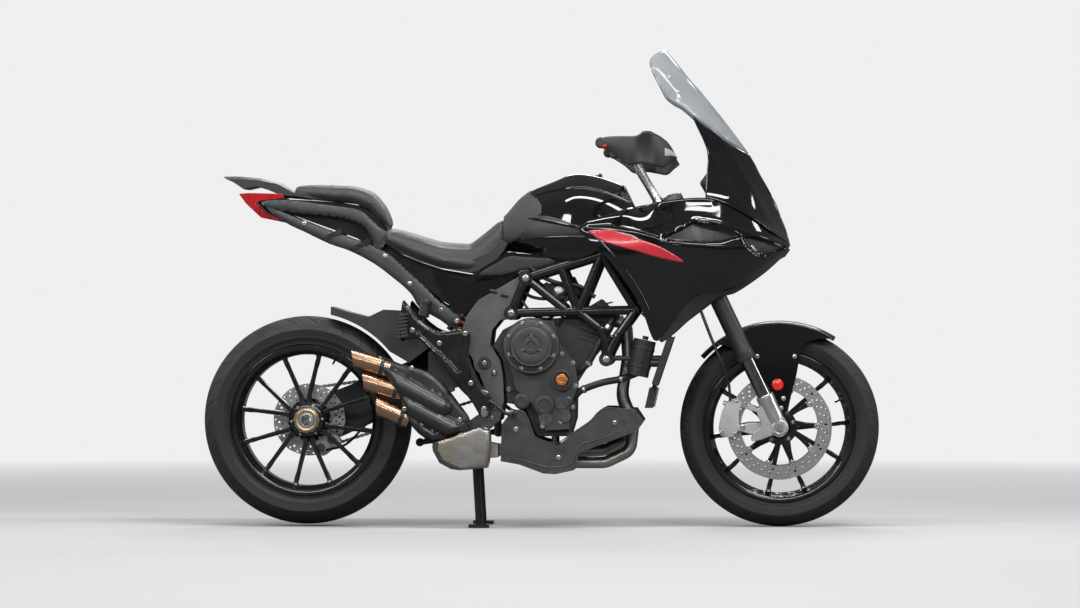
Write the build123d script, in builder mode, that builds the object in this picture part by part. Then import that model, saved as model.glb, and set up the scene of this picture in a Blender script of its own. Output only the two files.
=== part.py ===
from build123d import *

import math
import os

os.makedirs("parts", exist_ok=True)

# Sport touring motorcycle, standing on its centre stand.
# Millimetres. +X is forward, +Y is the rider's left, +Z is up, and the floor is Z 0.

# Wheels and chassis layout
wheelbase = 1445
front_radius = 304
rear_radius = 319
front_tyre_width = 120
rear_tyre_width = 188
rear_lift = 5
bead_radius = 221
lip_radius = 231
lip_height = 6
rim_wall = 5
front_rim_width = 98
rear_rim_width = 160
spoke_thickness = 22
spoke_width = 15
kink_radius = 178
front_spoke_pairs = 5
front_pair_spread = 15.5
front_pair_start = -12
rear_spoke_pairs = 6
rear_pair_spread = 15
rear_pair_start = 35

# Steering
rake = 25.5
fork_offset = 33
fork_spacing = 214
upper_tube_radius = 29
stanchion_radius = 21.5
upper_tube_start = 227
upper_tube_end = 782
lower_clamp_height = 540
lower_clamp_thickness = 34
upper_clamp_height = 752
upper_clamp_thickness = 22
stem_radius = 16
head_tube_radius = 36

# Discs and brakes
front_disc_radius = 160
front_disc_inner = 118
rear_disc_radius = 111
rear_disc_inner = 66
disc_thickness = 4.5
front_disc_offset = 66
rear_disc_offset = 34
caliper_gap = 5.2

# Running and resting clearances
running_gap = 0.05
rest_gap = 0.3
moving_gap = 6

# Axles
front_axle_radius = 12.5
front_axle_bore = 8.5
front_axle_half = 132
spindle_radius = 25
spindle_bore = 14

# Frame, stands and controls
frame_tube_radius = 14
frame_half_width = 150
plate_thickness = 12
stand_tube_radius = 11
stand_half_width = 115
stand_pivot_radius = 8
side_stand_radius = 9
bar_radius = 11
grip_radius = 17
grip_length = 128
bar_half_width = 440
hose_radius = 4

# Places worked out from the sizes above
front_axle_x = (wheelbase + rear_radius - front_radius) / 2
rear_axle_x = front_axle_x - wheelbase
rear_axle_z = rear_radius + rear_lift
front_axle = Vector(front_axle_x, 0, front_radius)
rear_axle = Vector(rear_axle_x, 0, rear_axle_z)
fork_up = Vector(-math.sin(math.radians(rake)), 0, math.cos(math.radians(rake)))
fork_back = Vector(-math.cos(math.radians(rake)), 0, -math.sin(math.radians(rake)))
steer_foot = front_axle + fork_back * fork_offset
fork_half = fork_spacing / 2
plate_outer = frame_half_width - frame_tube_radius - rest_gap
plate_inner = plate_outer - plate_thickness
lower_clamp_top = lower_clamp_height + lower_clamp_thickness
clamp_gap = 10

# The outlines at each wheel are drawn for its axle at this X
front_drawn_x = 730
rear_drawn_x = -715


def on_fork(distance, side=0, back=0):
    """A point so far up the fork line, to one side of it and behind it."""
    return front_axle + fork_up * distance + fork_back * back + Vector(0, side, 0)


def across_fork(distance):
    """The plane square to the steering axis, with its x to the left and its y to the back."""
    return Plane(origin=steer_foot + fork_up * distance, x_dir=(0, 1, 0), z_dir=fork_up)


def beside_axle(outline, axle, drawn_x):
    """An outline drawn for an axle at drawn_x, carried along with that axle."""
    return [(x + axle.X - drawn_x, z) for x, z in outline]


def side_plane(y):
    """The upright plane along the motorcycle at this distance to the left of its middle."""
    return Plane.XZ.offset(-y)


def wheel_section(centre, angle=0):
    """The plane through a wheel's axle at an angle: its x is the radius, its y the width."""
    turn = math.radians(angle)
    return Plane(origin=centre, x_dir=(math.cos(turn), 0, math.sin(turn)),
                 z_dir=(-math.sin(turn), 0, math.cos(turn)))


def polar(centre, radius, angle):
    """A point of the side view round a wheel's centre."""
    turn = math.radians(angle)
    return (centre.X + radius * math.cos(turn), centre.Z + radius * math.sin(turn))


def strip(start, end, start_width, end_width):
    """The four corners of a tapering bar between two points of the side view."""
    length = math.dist(start, end)
    across_x = -(end[1] - start[1]) / length
    across_z = (end[0] - start[0]) / length
    return [
        (start[0] + across_x * start_width / 2, start[1] + across_z * start_width / 2),
        (start[0] - across_x * start_width / 2, start[1] - across_z * start_width / 2),
        (end[0] - across_x * end_width / 2, end[1] - across_z * end_width / 2),
        (end[0] + across_x * end_width / 2, end[1] + across_z * end_width / 2),
    ]


def mirrored_outline(half):
    """A closed section from its left half, listed from the bottom to the top."""
    return half + [(-y, z) for y, z in reversed(half)]


def across_plane(x):
    """The plane square to the motorcycle at this place, with its x to the left and its y up."""
    return Plane(origin=(x, 0, 0), x_dir=(0, 1, 0), z_dir=(1, 0, 0))


def lofted_body(sections):
    """A body through sections square to its length, each a place and its left half outline."""
    with BuildPart() as body:
        for x, half in sections:
            with BuildSketch(across_plane(x)):
                with BuildLine():
                    Polyline(*mirrored_outline(half), close=True)
                make_face()
        loft(ruled=True)
    return body.part


def tyre(centre, radius, width, rim_width):
    """A solid tyre between its tread and the rim's bead seats."""
    half = width / 2
    bead_half = rim_width / 2 - lip_height - rest_gap
    shoulder = radius - 0.47 * (radius - lip_radius)
    with BuildPart() as body:
        with BuildSketch(wheel_section(centre)):
            with BuildLine():
                Polyline(
                    (bead_radius + rest_gap, bead_half),
                    (lip_radius + 1, bead_half),
                    (lip_radius + 12, half * 0.88),
                    (shoulder, half),
                )
                ThreePointArc((shoulder, half), (radius, 0), (shoulder, -half))
                Polyline(
                    (shoulder, -half),
                    (lip_radius + 12, -half * 0.88),
                    (lip_radius + 1, -bead_half),
                    (bead_radius + rest_gap, -bead_half),
                    (bead_radius + rest_gap, bead_half),
                )
            make_face()
        revolve(axis=Axis(centre, (0, 1, 0)))
    return body.part


def rim(centre, width, pairs, spread, start_angle, hub_radius, hub_out, hub_in, spoke_middle):
    """A cast rim: barrel with two lips, a hub and pairs of kinked spokes."""
    half = width / 2
    with BuildPart() as body:
        with BuildSketch(wheel_section(centre)):
            with BuildLine():
                Polyline(
                    (bead_radius - rim_wall, -half),
                    (lip_radius, -half),
                    (lip_radius, -half + lip_height),
                    (bead_radius, -half + lip_height),
                    (bead_radius, half - lip_height),
                    (lip_radius, half - lip_height),
                    (lip_radius, half),
                    (bead_radius - rim_wall, half),
                    close=True,
                )
            make_face()
        revolve(axis=Axis(centre, (0, 1, 0)))
        with BuildSketch(side_plane(hub_out)):
            with Locations((centre.X, centre.Z)):
                Circle(hub_radius)
        extrude(amount=hub_out - hub_in)
        with BuildSketch(side_plane(spoke_middle)):
            for pair in range(pairs):
                for side in (-1, 1):
                    angle = start_angle + 360 / pairs * pair + side * spread
                    root = polar(centre, hub_radius - 6, angle - side * spread * 0.5)
                    kink = polar(centre, kink_radius, angle)
                    tip = polar(centre, bead_radius - rim_wall / 2, angle)
                    with BuildLine():
                        Polyline(*strip(root, kink, spoke_width * 1.15, spoke_width), close=True)
                    make_face()
                    with BuildLine():
                        Polyline(*strip(kink, tip, spoke_width, spoke_width * 1.1), close=True)
                    make_face()
                    with Locations(kink):
                        Circle(spoke_width / 2)
            with Locations((centre.X, centre.Z)):
                Circle(bead_radius - rim_wall - running_gap, mode=Mode.INTERSECT)
                Circle(hub_radius + running_gap, mode=Mode.SUBTRACT)
        extrude(amount=spoke_thickness / 2, both=True)
    return body.part


def outline_slab(outline, y_from, y_to):
    """A plate with this side view between two distances from the middle."""
    with BuildPart() as slab:
        with BuildSketch(side_plane(y_from)):
            with BuildLine():
                Polyline(*outline, close=True)
            make_face()
        extrude(amount=y_from - y_to)
    return slab.part


def rod(start, end, radius):
    """A straight round bar between two points."""
    start = Vector(start)
    end = Vector(end)
    with BuildPart() as bar:
        with BuildSketch(Plane(origin=start, z_dir=end - start)):
            Circle(radius)
        extrude(amount=(end - start).length)
    return bar.part


def bent_tube(route, bend, radius):
    """A round tube along straight runs joined by arcs."""
    with BuildPart() as tube:
        with BuildLine() as path:
            FilletPolyline(*route, radius=bend)
        with BuildSketch(Plane(origin=path.line @ 0, z_dir=path.line % 0)):
            Circle(radius)
        sweep()
    return tube.part


# Front wheel
front_hub_radius = 34
carrier_thickness = 7
carrier_outer = front_disc_inner - 1
carrier_inner = 46
bobbin_count = 10
bobbin_radius = 6

with BuildPart() as front_tyre:
    add(tyre(front_axle, front_radius, front_tyre_width, front_rim_width))
front_tyre.part.label = "front_tyre"
export_step(front_tyre.part, "parts/front_tyre.step")

with BuildPart() as front_rim:
    add(rim(front_axle, front_rim_width, front_spoke_pairs, front_pair_spread,
            front_pair_start, front_hub_radius, front_disc_offset, -front_disc_offset, 0))
    with BuildSketch(side_plane(front_disc_offset + 1)):
        with Locations((front_axle.X, front_axle.Z)):
            Circle(front_axle_radius + running_gap)
    extrude(amount=2 * front_disc_offset + 2, mode=Mode.SUBTRACT)
front_rim.part.label = "front_rim"
export_step(front_rim.part, "parts/front_rim.step")

with BuildPart() as front_discs:
    with BuildSketch(side_plane(front_disc_offset + disc_thickness)):
        with Locations((front_axle.X, front_axle.Z)):
            Circle(front_disc_radius)
            Circle(front_disc_inner - 14, mode=Mode.SUBTRACT)
    extrude(amount=disc_thickness)
    with BuildSketch(side_plane(front_disc_offset)):
        with Locations((front_axle.X, front_axle.Z)):
            Circle(front_hub_radius + 18)
        for arm in range(bobbin_count):
            arm_angle = 360 / bobbin_count * arm + 2
            with BuildLine():
                Polyline(
                    *strip(polar(front_axle, carrier_inner, arm_angle + 14),
                           polar(front_axle, carrier_outer - bobbin_radius, arm_angle), 11, 11),
                    close=True,
                )
            make_face()
            with Locations(polar(front_axle, carrier_outer - bobbin_radius, arm_angle)):
                Circle(bobbin_radius + 2)
        with Locations((front_axle.X, front_axle.Z)):
            Circle(front_hub_radius + running_gap, mode=Mode.SUBTRACT)
    extrude(amount=carrier_thickness)
    mirror(about=Plane.XZ)
front_discs.part.label = "front_discs"
export_step(front_discs.part, "parts/front_discs.step")

# Rear wheel
rear_hub_radius = 52
rear_spoke_middle = -34
rear_nut_radius = 40
rear_nut_depth = 16
spindle_end = 196

with BuildPart() as rear_tyre:
    add(tyre(rear_axle, rear_radius, rear_tyre_width, rear_rim_width))
rear_tyre.part.label = "rear_tyre"
export_step(rear_tyre.part, "parts/rear_tyre.step")

with BuildPart() as rear_rim:
    add(rim(rear_axle, rear_rim_width, rear_spoke_pairs, rear_pair_spread,
            rear_pair_start, rear_hub_radius, rear_disc_offset, -62, rear_spoke_middle))
    with BuildSketch(side_plane(-62)):
        with Locations((rear_axle.X, rear_axle.Z)):
            Circle(rear_nut_radius)
    extrude(amount=rear_nut_depth)
    with BuildSketch(side_plane(spindle_end)):
        with Locations((rear_axle.X, rear_axle.Z)):
            Circle(spindle_radius)
    extrude(amount=spindle_end)
    with BuildSketch(side_plane(spindle_end + 1)):
        with Locations((rear_axle.X, rear_axle.Z)):
            Circle(spindle_bore)
    extrude(amount=spindle_end + 62 + rear_nut_depth + 2, mode=Mode.SUBTRACT)
rear_rim.part.label = "rear_rim"
export_step(rear_rim.part, "parts/rear_rim.step")

with BuildPart() as rear_disc:
    with BuildSketch(side_plane(rear_disc_offset + disc_thickness)):
        with Locations((rear_axle.X, rear_axle.Z)):
            Circle(rear_disc_radius)
            Circle(spindle_radius + running_gap, mode=Mode.SUBTRACT)
    extrude(amount=disc_thickness)
rear_disc.part.label = "rear_disc"
export_step(rear_disc.part, "parts/rear_disc.step")

sprocket_radius = 88
sprocket_middle = 178
sprocket_thickness = 6

with BuildPart() as rear_sprocket:
    with BuildSketch(side_plane(sprocket_middle + sprocket_thickness / 2)):
        with Locations((rear_axle.X, rear_axle.Z)):
            Circle(sprocket_radius)
            Circle(spindle_radius + running_gap, mode=Mode.SUBTRACT)
            with PolarLocations(58, 5):
                Circle(13, mode=Mode.SUBTRACT)
    extrude(amount=sprocket_thickness)
rear_sprocket.part.label = "rear_sprocket"
export_step(rear_sprocket.part, "parts/rear_sprocket.step")

# Fork
lug_top = 96
lug_collar_radius = 28

with BuildPart() as fork_uppers:
    for side in (-1, 1):
        with BuildSketch(Plane(origin=on_fork(upper_tube_start, side * fork_half), z_dir=fork_up)):
            Circle(upper_tube_radius)
        extrude(amount=upper_tube_end - upper_tube_start)
fork_uppers.part.label = "fork_uppers"
export_step(fork_uppers.part, "parts/fork_uppers.step")

with BuildPart() as fork_stanchions:
    for side in (-1, 1):
        with BuildSketch(Plane(origin=on_fork(lug_top, side * fork_half), z_dir=fork_up)):
            Circle(stanchion_radius)
        extrude(amount=upper_tube_start - lug_top)
fork_stanchions.part.label = "fork_stanchions"
export_step(fork_stanchions.part, "parts/fork_stanchions.step")

caliper_edge_top = (613, 381)
caliper_edge_bottom = (604, 292)
lug_outline = [(664, 360), (696, 384), (725, 352), (748, 330), (757, 297), (738, 274), (706, 280),
               (640, 262), (672, 306), (668, 330)]
upper_bracket = [caliper_edge_top, (664, 366), (672, 346), (612, 366)]
lower_bracket = [(606.4, 312), (676, 318), (684, 276), caliper_edge_bottom]
lug_inner = 86
lug_outer = 128
bracket_inner = 84
bracket_outer = 97

with BuildPart() as fork_lugs:
    add(outline_slab(beside_axle(lug_outline, front_axle, front_drawn_x), lug_outer, lug_inner))
    for bracket in (upper_bracket, lower_bracket):
        add(outline_slab(beside_axle(bracket, front_axle, front_drawn_x), bracket_outer, bracket_inner))
    with BuildSketch(Plane(origin=on_fork(12, fork_half), z_dir=fork_up)):
        Circle(lug_collar_radius)
    extrude(amount=lug_top - 12)
    mirror(about=Plane.XZ)
    with BuildSketch(side_plane(front_axle_half)):
        with Locations((front_axle.X, front_axle.Z)):
            Circle(front_axle_radius)
    extrude(amount=2 * front_axle_half)
    with BuildSketch(side_plane(lug_inner)):
        with Locations((front_axle.X, front_axle.Z)):
            Circle(front_axle_radius + 7)
    extrude(amount=lug_inner - front_disc_offset - 2)
    with BuildSketch(side_plane(-front_disc_offset - 2)):
        with Locations((front_axle.X, front_axle.Z)):
            Circle(front_axle_radius + 7)
    extrude(amount=lug_inner - front_disc_offset - 2)
    with BuildSketch(side_plane(front_axle_half + 1)):
        with Locations((front_axle.X, front_axle.Z)):
            Circle(front_axle_bore)
    extrude(amount=2 * front_axle_half + 2, mode=Mode.SUBTRACT)
fork_lugs.part.label = "fork_lugs"
export_step(fork_lugs.part, "parts/fork_lugs.step")

caliper_outline = [caliper_edge_top, caliper_edge_bottom, (590, 274), (556, 274), (545, 300),
                   (552, 345), (570, 385), (596, 392)]
caliper_half = 26
disc_middle = front_disc_offset + disc_thickness / 2

with BuildPart() as front_calipers:
    add(outline_slab(beside_axle(caliper_outline, front_axle, front_drawn_x),
                     disc_middle + caliper_half, disc_middle - caliper_half + 6))
    with BuildSketch(side_plane(disc_middle + disc_thickness / 2 + caliper_gap)):
        with Locations((front_axle.X, front_axle.Z)):
            Circle(front_disc_radius + caliper_gap)
    extrude(amount=disc_thickness + 2 * caliper_gap, mode=Mode.SUBTRACT)
    mirror(about=Plane.XZ)
front_calipers.part.label = "front_calipers"
export_step(front_calipers.part, "parts/front_calipers.step")

clamp_leg_radius = 38
clamp_stem_radius = 32
clamp_leg = (fork_half, -fork_offset)

with BuildPart() as triple_clamps:
    for height, thickness in ((lower_clamp_height, lower_clamp_thickness),
                              (upper_clamp_height, upper_clamp_thickness)):
        with BuildSketch(across_fork(height)) as clamp_face:
            with Locations(clamp_leg, (-fork_half, -fork_offset)):
                Circle(clamp_leg_radius)
            Circle(clamp_stem_radius)
            make_hull()
            with Locations(clamp_leg, (-fork_half, -fork_offset)):
                Circle(upper_tube_radius + running_gap, mode=Mode.SUBTRACT)
        extrude(amount=thickness)
    with BuildSketch(across_fork(lower_clamp_height)):
        Circle(stem_radius)
    extrude(amount=upper_clamp_height + upper_clamp_thickness - lower_clamp_height)
triple_clamps.part.label = "triple_clamps"
export_step(triple_clamps.part, "parts/triple_clamps.step")

# Handlebar, with its risers on the upper clamp
riser_side = 46
riser_radius = 14
clamp_top = upper_clamp_height + upper_clamp_thickness
riser_foot = steer_foot + fork_up * clamp_top
bar_middle = (292, 1118)
bar_route = [
    (bar_middle[0], 0, bar_middle[1]),
    (bar_middle[0], 92, bar_middle[1]),
    (262, 190, 1146),
    (232, 262, 1155),
    (196, bar_half_width, 1158),
]
bar_bend = 60

with BuildPart() as handlebar:
    add(bent_tube(bar_route, [8, bar_bend, bar_bend], bar_radius))
    add(rod(riser_foot + Vector(-4, riser_side, -2), (bar_middle[0], riser_side, bar_middle[1]), riser_radius))
    mirror(about=Plane.XZ)
    with BuildSketch(across_fork(clamp_top)):
        Rectangle(4 * riser_side, 4 * riser_side)
    extrude(amount=-40, mode=Mode.SUBTRACT)
handlebar.part.label = "handlebar"
export_step(handlebar.part, "parts/handlebar.step")

grip_direction = (Vector(*bar_route[4]) - Vector(*bar_route[3])).normalized()
grip_end = Vector(*bar_route[4]) + grip_direction * 4
grip_start = grip_end - grip_direction * grip_length
lever_reach = Vector(52, 0, -6)

with BuildPart() as controls:
    add(rod(grip_start, grip_end, grip_radius))
    add(rod(grip_start - grip_direction * 46, grip_start, grip_radius + 7))
    add(bent_tube([grip_start - grip_direction * 20, grip_start - grip_direction * 6 + lever_reach,
                   grip_end - grip_direction * 4 + lever_reach * 1.05], 16, 5))
    add(rod(grip_start - grip_direction * 46, grip_end - grip_direction * 3.9, bar_radius + running_gap),
        mode=Mode.SUBTRACT)
    mirror(about=Plane.XZ)
controls.part.label = "controls"
export_step(controls.part, "parts/controls.step")

# Hand guards: a band round the front of each grip, cut to its side view
guard_outline = [(183, 1156), (204, 1176), (318, 1180), (323, 1195), (356, 1189), (395, 1165),
                 (413, 1140), (424, 1114), (407, 1101), (386, 1084), (312, 1097), (276, 1090),
                 (246, 1114), (207, 1138)]
guard_wall = 5
guard_end = 455

with BuildPart() as handguards:
    with BuildSketch(Plane.XY.offset(1080)):
        with BuildLine() as guard_plan:
            Polyline((180, guard_end), (300, guard_end), (372, 424), (426, 330), (420, 290))
            offset(amount=guard_wall, side=Side.RIGHT)
        make_face()
    extrude(amount=120)
    add(outline_slab(guard_outline, guard_end + 1, 250), mode=Mode.INTERSECT)
    add(rod(grip_end + grip_direction * rest_gap, grip_end + grip_direction * 10, 12))
    mirror(about=Plane.XZ)
handguards.part.label = "handguards"
export_step(handguards.part, "parts/handguards.step")

# Front mudguard, with a stay down to each fork lug
fender_inner = front_radius + 9
fender_wall = 4
fender_half = 69
fender_start = 57
fender_sweep = 80
fender_skirt = 30
disc_room = front_disc_offset + disc_thickness + 6
stay_outline = [(622, 500), (672, 470), (724, 352), (752, 346), (780, 455), (795, 540), (800, 600), (640, 600)]

with BuildPart() as front_fender:
    with BuildSketch(wheel_section(front_axle, fender_start)):
        with BuildLine():
            Polyline((fender_inner - fender_skirt, fender_half), (fender_inner - 8, fender_half))
            ThreePointArc((fender_inner - 8, fender_half), (fender_inner + 8, 0), (fender_inner - 8, -fender_half))
            Polyline((fender_inner - 8, -fender_half), (fender_inner - fender_skirt, -fender_half))
            offset(amount=fender_wall, side=Side.LEFT)
        make_face()
    revolve(axis=Axis(front_axle, (0, -1, 0)), revolution_arc=fender_sweep)
    for near in (lug_inner - rest_gap, -fender_half - fender_wall + 1):
        with BuildSketch(side_plane(near)):
            with BuildLine():
                Polyline(*stay_outline, close=True)
            make_face()
        extrude(amount=lug_inner - rest_gap - fender_half - fender_wall + 1)
    add(rod(front_axle - Vector(0, disc_room, 0), front_axle + Vector(0, disc_room, 0), front_disc_radius + 6),
        mode=Mode.SUBTRACT)
    for side in (-1, 1):
        add(rod(on_fork(upper_tube_start - 40, side * fork_half), on_fork(upper_tube_end, side * fork_half),
                upper_tube_radius + 1), mode=Mode.SUBTRACT)
        add(rod(on_fork(lug_top - 90, side * fork_half), on_fork(upper_tube_start, side * fork_half),
                lug_collar_radius + rest_gap), mode=Mode.SUBTRACT)
front_fender.part.label = "front_fender"
export_step(front_fender.part, "parts/front_fender.step")

# Front brake hoses, from each caliper up the back of the fork to the lower clamp
with BuildPart() as brake_hoses:
    add(bent_tube([(580, 98.6, 386), (574, 112, 440), (553, 142, 500), (524, 147, 570), (497, 146, 640),
                   (472, 140, 708), (452, 122, 762)], [24, 30, 40, 40, 40], hose_radius))
    mirror(about=Plane.XZ)
brake_hoses.part.label = "brake_hoses"
export_step(brake_hoses.part, "parts/brake_hoses.step")

# Frame: a trellis of tubes each side, joined at the steering head
joint_rear_top = (-40, 758)
joint_rear_low = (-84, 652)
joint_engine = (204, 512)
head_top = upper_clamp_height - clamp_gap
head_bottom = lower_clamp_top + clamp_gap
head_high = on_fork(head_top - 34, 0, fork_offset)
head_low = on_fork(head_bottom + 64, 0, fork_offset)
head_width = 30
boss_radius = 22
stay_height = 662
stay_end = (652.8, 0, 925)
stay_fork = (590, 0, 912)
dash_foot = (556, 0, 992)
fairing_stay_radius = 11
frame_tubes = [
    (joint_rear_top, (191, 831)),
    (joint_rear_low, (295, 661)),
    (joint_rear_top, (73, 668)),
    ((70, 783), (115, 668)),
    ((191, 831), (125, 668)),
    ((110, 663), (185, 606)),
    ((185, 606), (201, 570)),
    ((201, 570), joint_engine),
    ((295, 661), (240, 585)),
    ((240, 585), joint_engine),
    (joint_rear_top, joint_rear_low),
    ((191, 831), (295, 661)),
]

with BuildPart() as frame:
    for start, end in frame_tubes:
        start = Vector(start[0], frame_half_width, start[1])
        end = Vector(end[0], frame_half_width, end[1])
        run_on = (end - start).normalized() * frame_tube_radius / 2
        add(rod(start - run_on, end + run_on, frame_tube_radius))
    add(rod((191, frame_half_width, 831), (head_high.X, head_width, head_high.Z), frame_tube_radius))
    add(rod((295, frame_half_width, 661), (head_low.X, head_width, head_low.Z), frame_tube_radius))
    for boss in (joint_rear_top, joint_rear_low, joint_engine):
        with BuildSketch(side_plane(frame_half_width + frame_tube_radius)):
            with Locations(boss):
                Circle(boss_radius)
        extrude(amount=2 * frame_tube_radius)
    mirror(about=Plane.XZ)
    with BuildSketch(across_fork(head_bottom)):
        Circle(head_tube_radius)
    extrude(amount=head_top - head_bottom)
    add(rod(on_fork(stay_height, 0, fork_offset), stay_end, fairing_stay_radius))
    add(rod(stay_fork, dash_foot, fairing_stay_radius - 2))
    with BuildSketch(across_fork(head_bottom - 1)):
        Circle(stem_radius + running_gap)
    extrude(amount=head_top - head_bottom + 2, mode=Mode.SUBTRACT)
frame.part.label = "frame"
export_step(frame.part, "parts/frame.step")

plate_outline = [(-219, 646), (-186, 691), (-101, 740), (-50, 770), (-30, 752), (-70, 700), (-66, 640),
                 (-119, 630), (-143, 600), (-149, 555), (-119, 509), (-110, 464), (-107, 388), (-119, 327),
                 (-162, 327), (-158, 403), (-186, 479), (-226, 555), (-241, 585), (-226, 628)]
stand_pivot = (-200, 302)
stand_lug_thickness = 12
stand_lug_inner = stand_half_width + stand_tube_radius + 2
side_pivot = Vector(-140, 196, 285)
side_axis = Vector(0.029, -0.950, -0.3116).normalized()
side_pin_radius = 6
stand_lug = [(-119, 340), (-162, 360), (-222, 318), (-222, 284), (-180, 280), (-119, 326)]

with BuildPart() as side_plates:
    with BuildSketch(side_plane(plate_outer)):
        with BuildLine():
            Polyline(*plate_outline, close=True)
        make_face()
        with Locations(joint_rear_top, joint_rear_low):
            Circle(boss_radius + rest_gap, mode=Mode.SUBTRACT)
    extrude(amount=plate_thickness)
    with BuildSketch(side_plane(plate_outer)):
        with Locations((-166, 500)):
            Circle(34)
    extrude(amount=plate_outer)
    add(outline_slab(stand_lug, stand_lug_inner + stand_lug_thickness, stand_lug_inner))
    add(rod((stand_pivot[0], stand_lug_inner + 2, stand_pivot[1]), (stand_pivot[0], stand_half_width - 14, stand_pivot[1]),
            stand_pivot_radius))
    mirror(about=Plane.XZ)
    add(rod((-140, plate_outer - 8, 336), side_pivot + side_axis * 26, side_stand_radius + 3))
    add(rod(side_pivot + side_axis * 28, side_pivot - side_axis * 10, side_pin_radius))
side_plates.part.label = "side_plates"
export_step(side_plates.part, "parts/side_plates.step")

# Engine: crankcase, leaning cylinders and head
crankcase_floor = 277
crankcase_outline = [(-112, 600), (-60, 628), (70, 638), (120, 606), (196, 555), (150, 500), (112, 440), (110, 330),
                     (94, crankcase_floor), (-6, crankcase_floor), (-44, 368), (-98, 378), (-104, 464), (-112, 509), (-140, 555)]
cylinder_outline = [(70, 640), (108, 646), (188, 694), (240, 640), (196, 560), (120, 540), (60, 600)]
crankcase_half = 122
cylinder_half = 112
clutch_centre = (-22, 553)
oil_cap_centre = (69, 449)
clutch_radius = 84

with BuildPart() as engine:
    add(outline_slab(crankcase_outline, crankcase_half, -crankcase_half))
    add(outline_slab(cylinder_outline, cylinder_half, -cylinder_half))
engine.part.label = "engine"
export_step(engine.part, "parts/engine.step")

right_case = [(-90, 500), (-98, 590), (-40, 634), (46, 628), (62, 560), (110, 500), (118, 430), (92, 360),
              (92, 300), (20, 296), (-24, 380), (-70, 420)]
left_case = [(-96, 500), (-96, 580), (-40, 624), (50, 612), (96, 560), (104, 450), (60, 380), (-40, 384)]

with BuildPart() as engine_covers:
    add(outline_slab(right_case, -crankcase_half, -crankcase_half - 30))
    with BuildSketch(side_plane(-crankcase_half)):
        with Locations(clutch_centre):
            Circle(clutch_radius)
    extrude(amount=58)
    with BuildSketch(side_plane(-crankcase_half - 58)):
        with Locations(clutch_centre):
            Circle(clutch_radius - 22)
    extrude(amount=16)
    with BuildSketch(side_plane(-crankcase_half)):
        with Locations(oil_cap_centre):
            Circle(32)
    extrude(amount=46)
    with BuildSketch(side_plane(-crankcase_half - 30)):
        with Locations((20, 330), (70, 380), (76, 340)):
            Circle(20)
    extrude(amount=5)
    add(outline_slab(left_case, crankcase_half + 34, crankcase_half))
    with BuildSketch(side_plane(crankcase_half + 47)):
        with Locations((40, 500)):
            Circle(74)
    extrude(amount=47)
engine_covers.part.label = "engine_covers"
export_step(engine_covers.part, "parts/engine_covers.step")

# Radiator, oil cooler and the canister beside them
radiator_outline = [(391, 584), (408, 574), (360, 430), (342, 438)]
cooler_outline = [(334, 424), (358, 424), (344, 363), (320, 363)]
radiator_half = 172
cooler_half = 118
canister_radius = 34
canister_side = -150

with BuildPart() as radiator:
    add(outline_slab(radiator_outline, radiator_half, -radiator_half))
    add(outline_slab(cooler_outline, cooler_half, -cooler_half))
    add(rod((350, -60, 436), (346, -60, 418), 6))
    add(rod((350, 60, 436), (346, 60, 418), 6))
    add(rod((298, canister_side, 462), (322, canister_side, 570), canister_radius))
    add(rod((310, canister_side, 500), (370, canister_side, 500), 12))
    for side in (-1, 1):
        add(rod((384, side * frame_half_width, 514), (joint_engine[0] + boss_radius + rest_gap,
                                                      side * frame_half_width, 514), 7))
        add(rod((394, side * 145, 578), (314, side * 145, 654), 7))
radiator.part.label = "radiator"
export_step(radiator.part, "parts/radiator.step")

# Exhaust: two headers, the muffler box, three end pipes and their shield
header_radius = 18
header_routes = [
    ([(214, -62, 640), (262, -62, 612), (268, -62, 520), (250, -62, 400), (286, -62, 318), (276, -62, 232),
      (200, -62, 196), (100, -62, 196), (10, -62, 224), (-80, -62, 231)], [26, 60, 90, 50, 40, 60, 120, 100]),
    ([(214, 40, 640), (262, 40, 612), (268, 40, 520), (246, 34, 400), (270, 20, 326), (258, 6, 262),
      (196, -6, 232), (90, -16, 228), (10, -22, 231), (-80, -24, 233)], [26, 60, 90, 50, 40, 60, 120, 100]),
]
muffler_outline = [(-320, 258), (-208, 297), (-177, 307), (-146, 297), (-144, 240), (-153, 184),
                   (-238, 176), (-297, 200), (-317, 237)]
muffler_inner = -142
muffler_outer = -236

with BuildPart() as exhaust:
    for route, bends in header_routes:
        add(bent_tube(route, bends, header_radius))
    add(outline_slab([(-52, 246), (-52, 213), (-160, 219), (-160, 256)], -4, -104))
    add(outline_slab([(-124, 254), (-124, 214), (-166, 210), (-166, 262)], -60, muffler_inner - 30))
    add(outline_slab(muffler_outline, muffler_inner, muffler_outer))
    fillet(exhaust.faces().filter_by(Axis.Y).sort_by(Axis.Y)[0].edges(), 12)
    add(engine.part, mode=Mode.SUBTRACT)
exhaust.part.label = "exhaust"
export_step(exhaust.part, "parts/exhaust.step")

tip_radius = 28
tip_wall = 2
tip_side = -196
tip_slash = 24
tip_lines = [((-574, 519), (-462, 486)), ((-541, 449), (-420, 414)), ((-501, 376), (-402, 333))]
shield_outline = [(-494, 512), (-486, 524), (-419, 496), (-343, 476), (-283, 428), (-243, 376), (-213, 336),
                  (-207, 297.8), (-266, 277.3), (-318, 259.4), (-353, 279), (-389, 316), (-412, 350), (-425, 390),
                  (-446, 431), (-480, 485)]
shield_inner = -150
shield_outer = -240

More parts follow.
